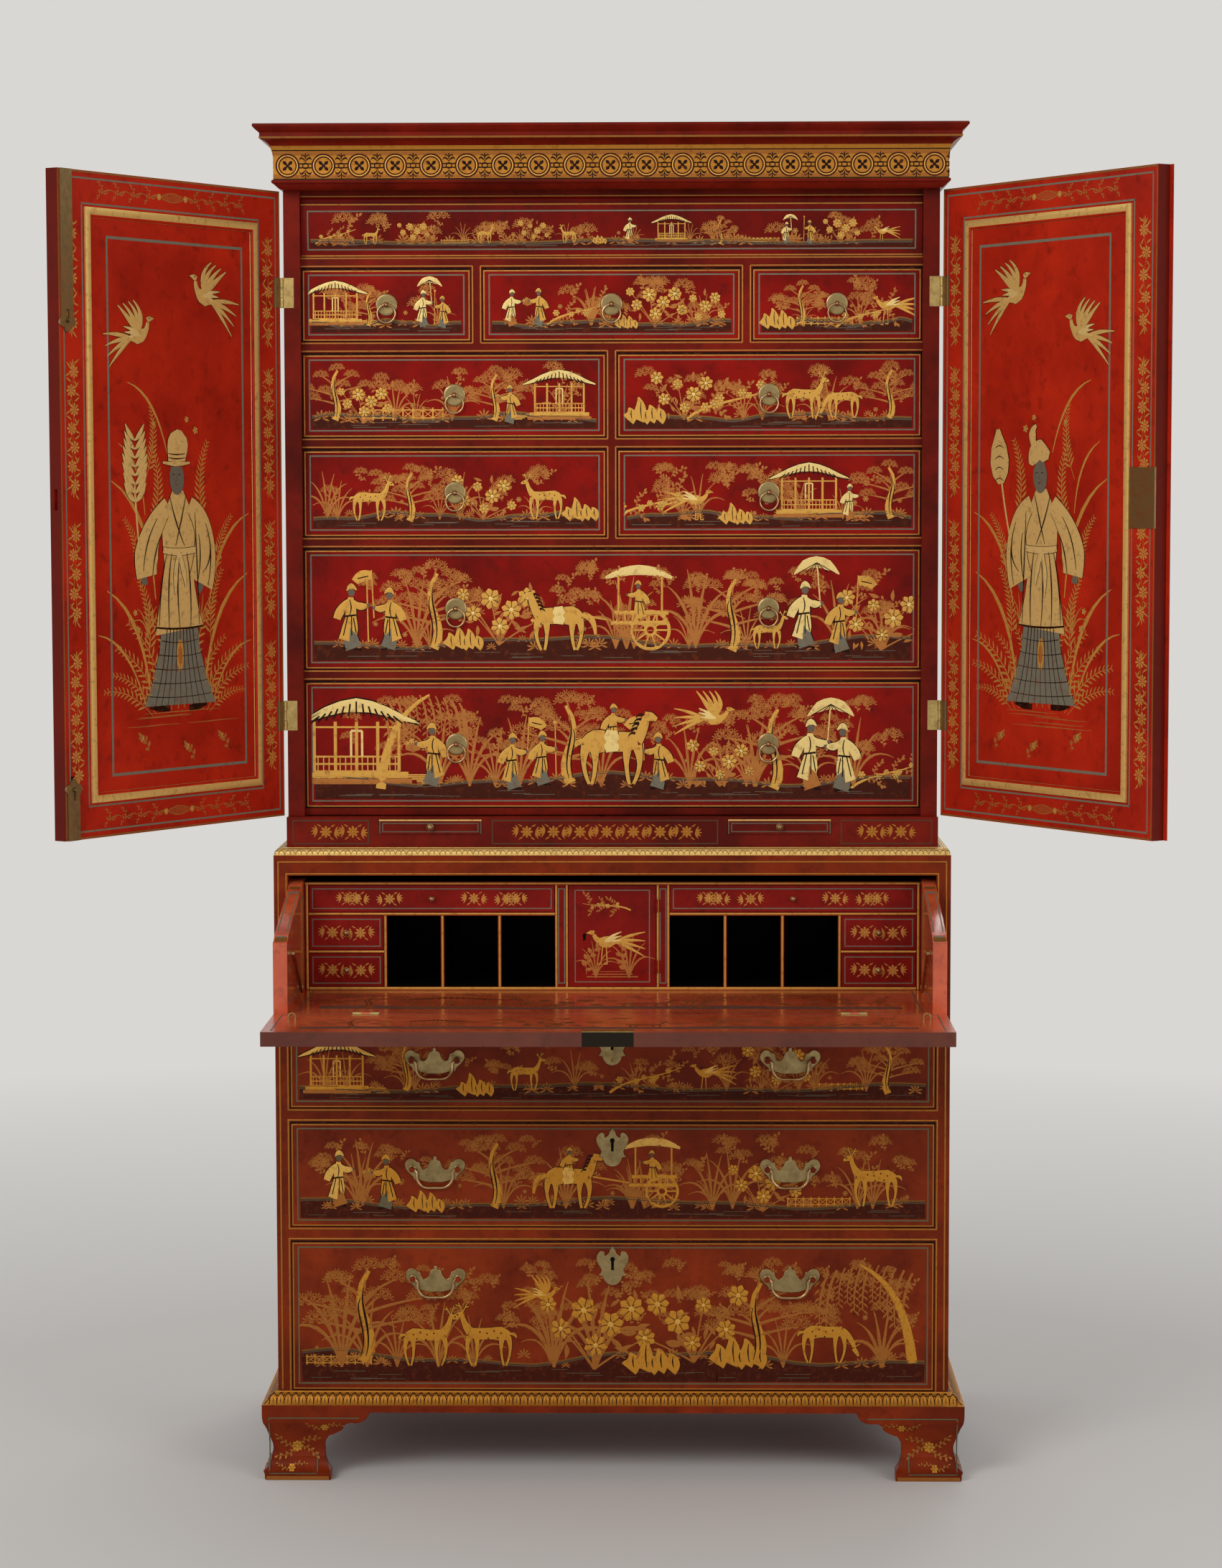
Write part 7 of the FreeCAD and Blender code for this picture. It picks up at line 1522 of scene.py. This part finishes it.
# Fall hinges: brass flaps let in flush with the writing surface and rubbed pale by use, with a round knuckle
# above the seam.
FALL_HINGE = 364
rubbed_flap = tarnished("rubbed_hinge_brass", "dcc08a", "b8965a", 0.55)
for word, sign in (("left", -1), ("right", 1)):
    start = np.array([sign * FALL_HINGE - 19.75, SEAM, LEVEL])
    for first, last, body in ((0, 9.6, "desk"), (10.0, 19.5, "fall"),
                              (19.9, 29.4, "desk"), (29.8, 39.5, "fall")):
        tall = last - first
        profile = [(0, 0), (1.6, 0), (2.0, 0.4), (2.0, tall - 0.4), (1.6, tall), (0, tall)]
        part = turned(profile, start + first * X, X, 16)
        brass_piece(f"{word}_fall_knuckle_{int(first)}", [part], body, pale_brass)
for body, y0, y1 in (("desk", SEAM + 2, SEAM + 17), ("fall", SEAM - 17, SEAM - 2)):
    flap = [(-19.7, 0), (19.7, 0), (19.7, y1 - y0), (-19.7, y1 - y0)]
    flaps = [cut_plate(flap, (sign * FALL_HINGE, y0, LEVEL), 0.3, 0.2, Z, X, Y) for sign in (-1, 1)]
    brass_piece(f"{body}_hinge_flaps", flaps, body, rubbed_flap)


# Pigeonhole unit: thin pine shelves and partitions, black inside, their front edges rounded and
# gilt. Flowers in pairs on the small drawers; a crane-like bird among rushes on the cupboard door.
UNIT_FRONT = -40.3
# More than 3 mm behind the unit's front edges, every face turns a flat near-black.
unit_red = lacquer("crimson_edges_before_near_black", "8a1912", "65110b", UNIT_FRONT + 3, black="060403")
small_red = lacquer("crimson_lacquer_of_the_small_drawers", "941a12", "70120c", UNIT_FRONT + 10)
dress(unit_red, "pigeonhole_unit")
dress(small_red, "centre_door")


def unit_bead(x0, z0, x1, z1, width=3.8):
    """One gilt half round along a front edge of the unit."""
    return carried([(x0, UNIT_FRONT, z0), (x1, UNIT_FRONT, z1)], half_round(width, 1.3), -Y, closed=False)


beads = [unit_bead(-480, 934.5, 480, 934.5), unit_bead(-474, 769.4, 474, 769.4, 4.6)]
for s in (-1, 1):
    beads += [unit_bead(s * 89.8, 886.7, s * 474, 886.7), unit_bead(s * 357, 827.3, s * 474, 827.3)]
    for x in (176.1, 265.4, 354.7):
        beads.append(unit_bead(s * x, 772, s * x, 884))
    beads += [unit_bead(s * 477.2, 768, s * 477.2, 934), unit_bead(s * 71.0, 772, s * 71.0, 932, 3.4),
              unit_bead(s * 87.4, 772, s * 87.4, 932, 3.4)]
plain_gold("unit_gilt_edges", beads, "desk", 0.62)
for s in (-1, 1):
    strip = border(s * 79.2 - 4.6, 778, s * 79.2 + 4.6, 926, 0.8)
    gild(f"unit_pilaster_line_{'left' if s < 0 else 'right'}", strip, (0, UNIT_FRONT, 0), X, Z, "desk")


def open_flower():
    """An open flower with a fan of five pointed leaves to either side and small leaves above and below."""
    leaf = brush([(0, 0), (0.5, 0.1), (1, 0)], (0.02, 0.11, 0.13, 0.08, 0.01), 0.55)
    fan = copies(leaf, 0, 0, 1, np.linspace(-1.1, 1.1, 5))
    flower = copies(petals(8, 1, 0.2, 0.55, 0.3), 0, 0, (0.9, 0.5), (0, 0.35))
    around = copies(leaf, (0.7, -0.7, 0.6, -0.6), (0.75, 0.75, -0.75, -0.75), 0.75, (0.5, 2.6, -0.6, 3.8))
    return np.concatenate([flower, disc(0, 0, 0.16, GOLD, 0.6), copies(fan, 1.25, 0.1, 1.05),
                           copies(fan, -1.25, -0.1, 1.05, np.pi), around])


def pair_of_sprays(gap, size):
    """Two open flowers that turn away from each other."""
    return copies(open_flower(), (-gap / 2, gap / 2), (0.4, -0.4), size, 0, (-1, 1))


def knob(x, z, y, radius=4.6):
    """A small turned knob: a collar, a thin neck and a flattened ball."""
    return turned([(0, 9.3), (radius * 0.55, 9.1), (radius, 7.2), (radius * 0.9, 5.0), (radius * 0.45, 3.6),
                   (2.2, 1.8), (radius * 0.75, 0.9), (radius * 0.8, 0), (0, 0)], (x, y, z), -Y, 18)


SMALL_FACE = UNIT_FRONT + 1
for word, s in (("left", -1), ("right", 1)):
    for name, x0, x1, z0, z1, gap, size in (
        ("pen_drawer", 90.3, 473.4, 890.2, 931.0, 260, 12.5),
        ("letter_drawer_upper", 358.2, 473.4, 830.8, 883.2, 44, 14),
        ("letter_drawer_lower", 358.2, 473.4, 772.7, 823.8, 44, 14),
    ):
        node = f"{word}_{name}"
        dress(small_red, node)
        middle, level = s * (x0 + x1) / 2, (z0 + z1) / 2
        wide, tall = (x1 - x0) / 2 - 5, (z1 - z0) / 2 - 5
        drawing = np.concatenate([border(-wide, -tall, wide, tall, 0.8), pair_of_sprays(gap, size * 0.72)])
        if name == "pen_drawer":
            drawing = np.concatenate([drawing, copies(pair_of_sprays(52, 9.4), (-92, 92), 0)])
        gild(f"{node}_painting", drawing, (middle, SMALL_FACE, level), X, Z, f"{node}_box")
        brass_piece(f"{node}_knob", [knob(middle, level, SMALL_FACE)], f"{node}_box")

crane = np.concatenate([
    border(-58, -72, 58, 72, 0.8),
    copies(bird(GOLD), -8, -44, 70, 0, -1), copies(fern(), (-26, 26), -66, (62, 74), 0, (1, -1)),
    copies(blooming_branch(21), -4, 34, 42, 0.2, -1),
    copies(leafy(7, 0.25, 0.08, COPPER, 3), (-40, 30), -60, 44, (1.2, 1.9)),
    copies(rods([(-40, 0, 40, 0)], 0.8, COPPER), 0, (-64, -60, -56), (1, 0.8, 0.5)),
])
door_middle = (772 + 931.7) / 2
gild("cupboard_door_painting", crane, (0, UNIT_FRONT, door_middle), X, Z, "cupboard_door")
hole = keyhole(-43, door_middle + 2, 2.6, 8, UNIT_FRONT - 0.1)
brass_piece("cupboard_keyhole", [hole], "cupboard_door", black_shade)


# Waist and candle plinth: a board painted with sprays of flowers between dark grey lines, with
# two slides that pull out to carry candlesticks, each with a gilt top edge and a small knob.
dress(crimson, "left_candle_slide", "right_candle_slide")
plinth_paint = []
for x0, x1 in ((-500, -375), (-190, 168), (352, 500)):
    plinth_paint.append(border(x0 + 4, 998.5, x1 - 4, 1034.5, 0.9, 0.14))
for x, wide, count in ((-424, 84, 2), (-8, 290, 7), (426, 90, 2)):
    places = (np.arange(count) - (count - 1) / 2) * wide / count
    plinth_paint.append(copies(copies(open_flower(), 0, 0.4, 10.5, 0, -1), x + places, 1016.5))
gild("candle_plinth_painting", np.concatenate(plinth_paint), (0, PLINTH, 0), X, Z, "case", dim_gold)
for word, x0, x1 in (("left", -362.7, -202.3), ("right", 180.0, 340.4)):
    face = PLINTH + 1
    middle = (x0 + x1) / 2
    edge = carried([(x0 + 0.5, face, 1034.8), (x1 - 0.5, face, 1034.8)],
                   half_round(2.8, 1.0), -Y, closed=False)
    ends = [carried([(x, face, 1013.5), (x, face, 1035)], half_round(2.2, 0.8), -Y, closed=False)
            for x in (x0 + 1.4, x1 - 1.4)]
    plain_gold(f"{word}_slide_gilt_edge", [edge], f"{word}_slide", 0.85)
    plain_gold(f"{word}_slide_worn_ends", ends, f"{word}_slide", 0.16)
    gild(f"{word}_slide_line", border(x0 + 6, 1017, x1 - 6, 1030, 0.8, 0.16),
         (0, face, 0), X, Z, f"{word}_slide")
    brass_piece(f"{word}_slide_knob", [knob(middle, 1024.5, face, 5.6)], f"{word}_slide")
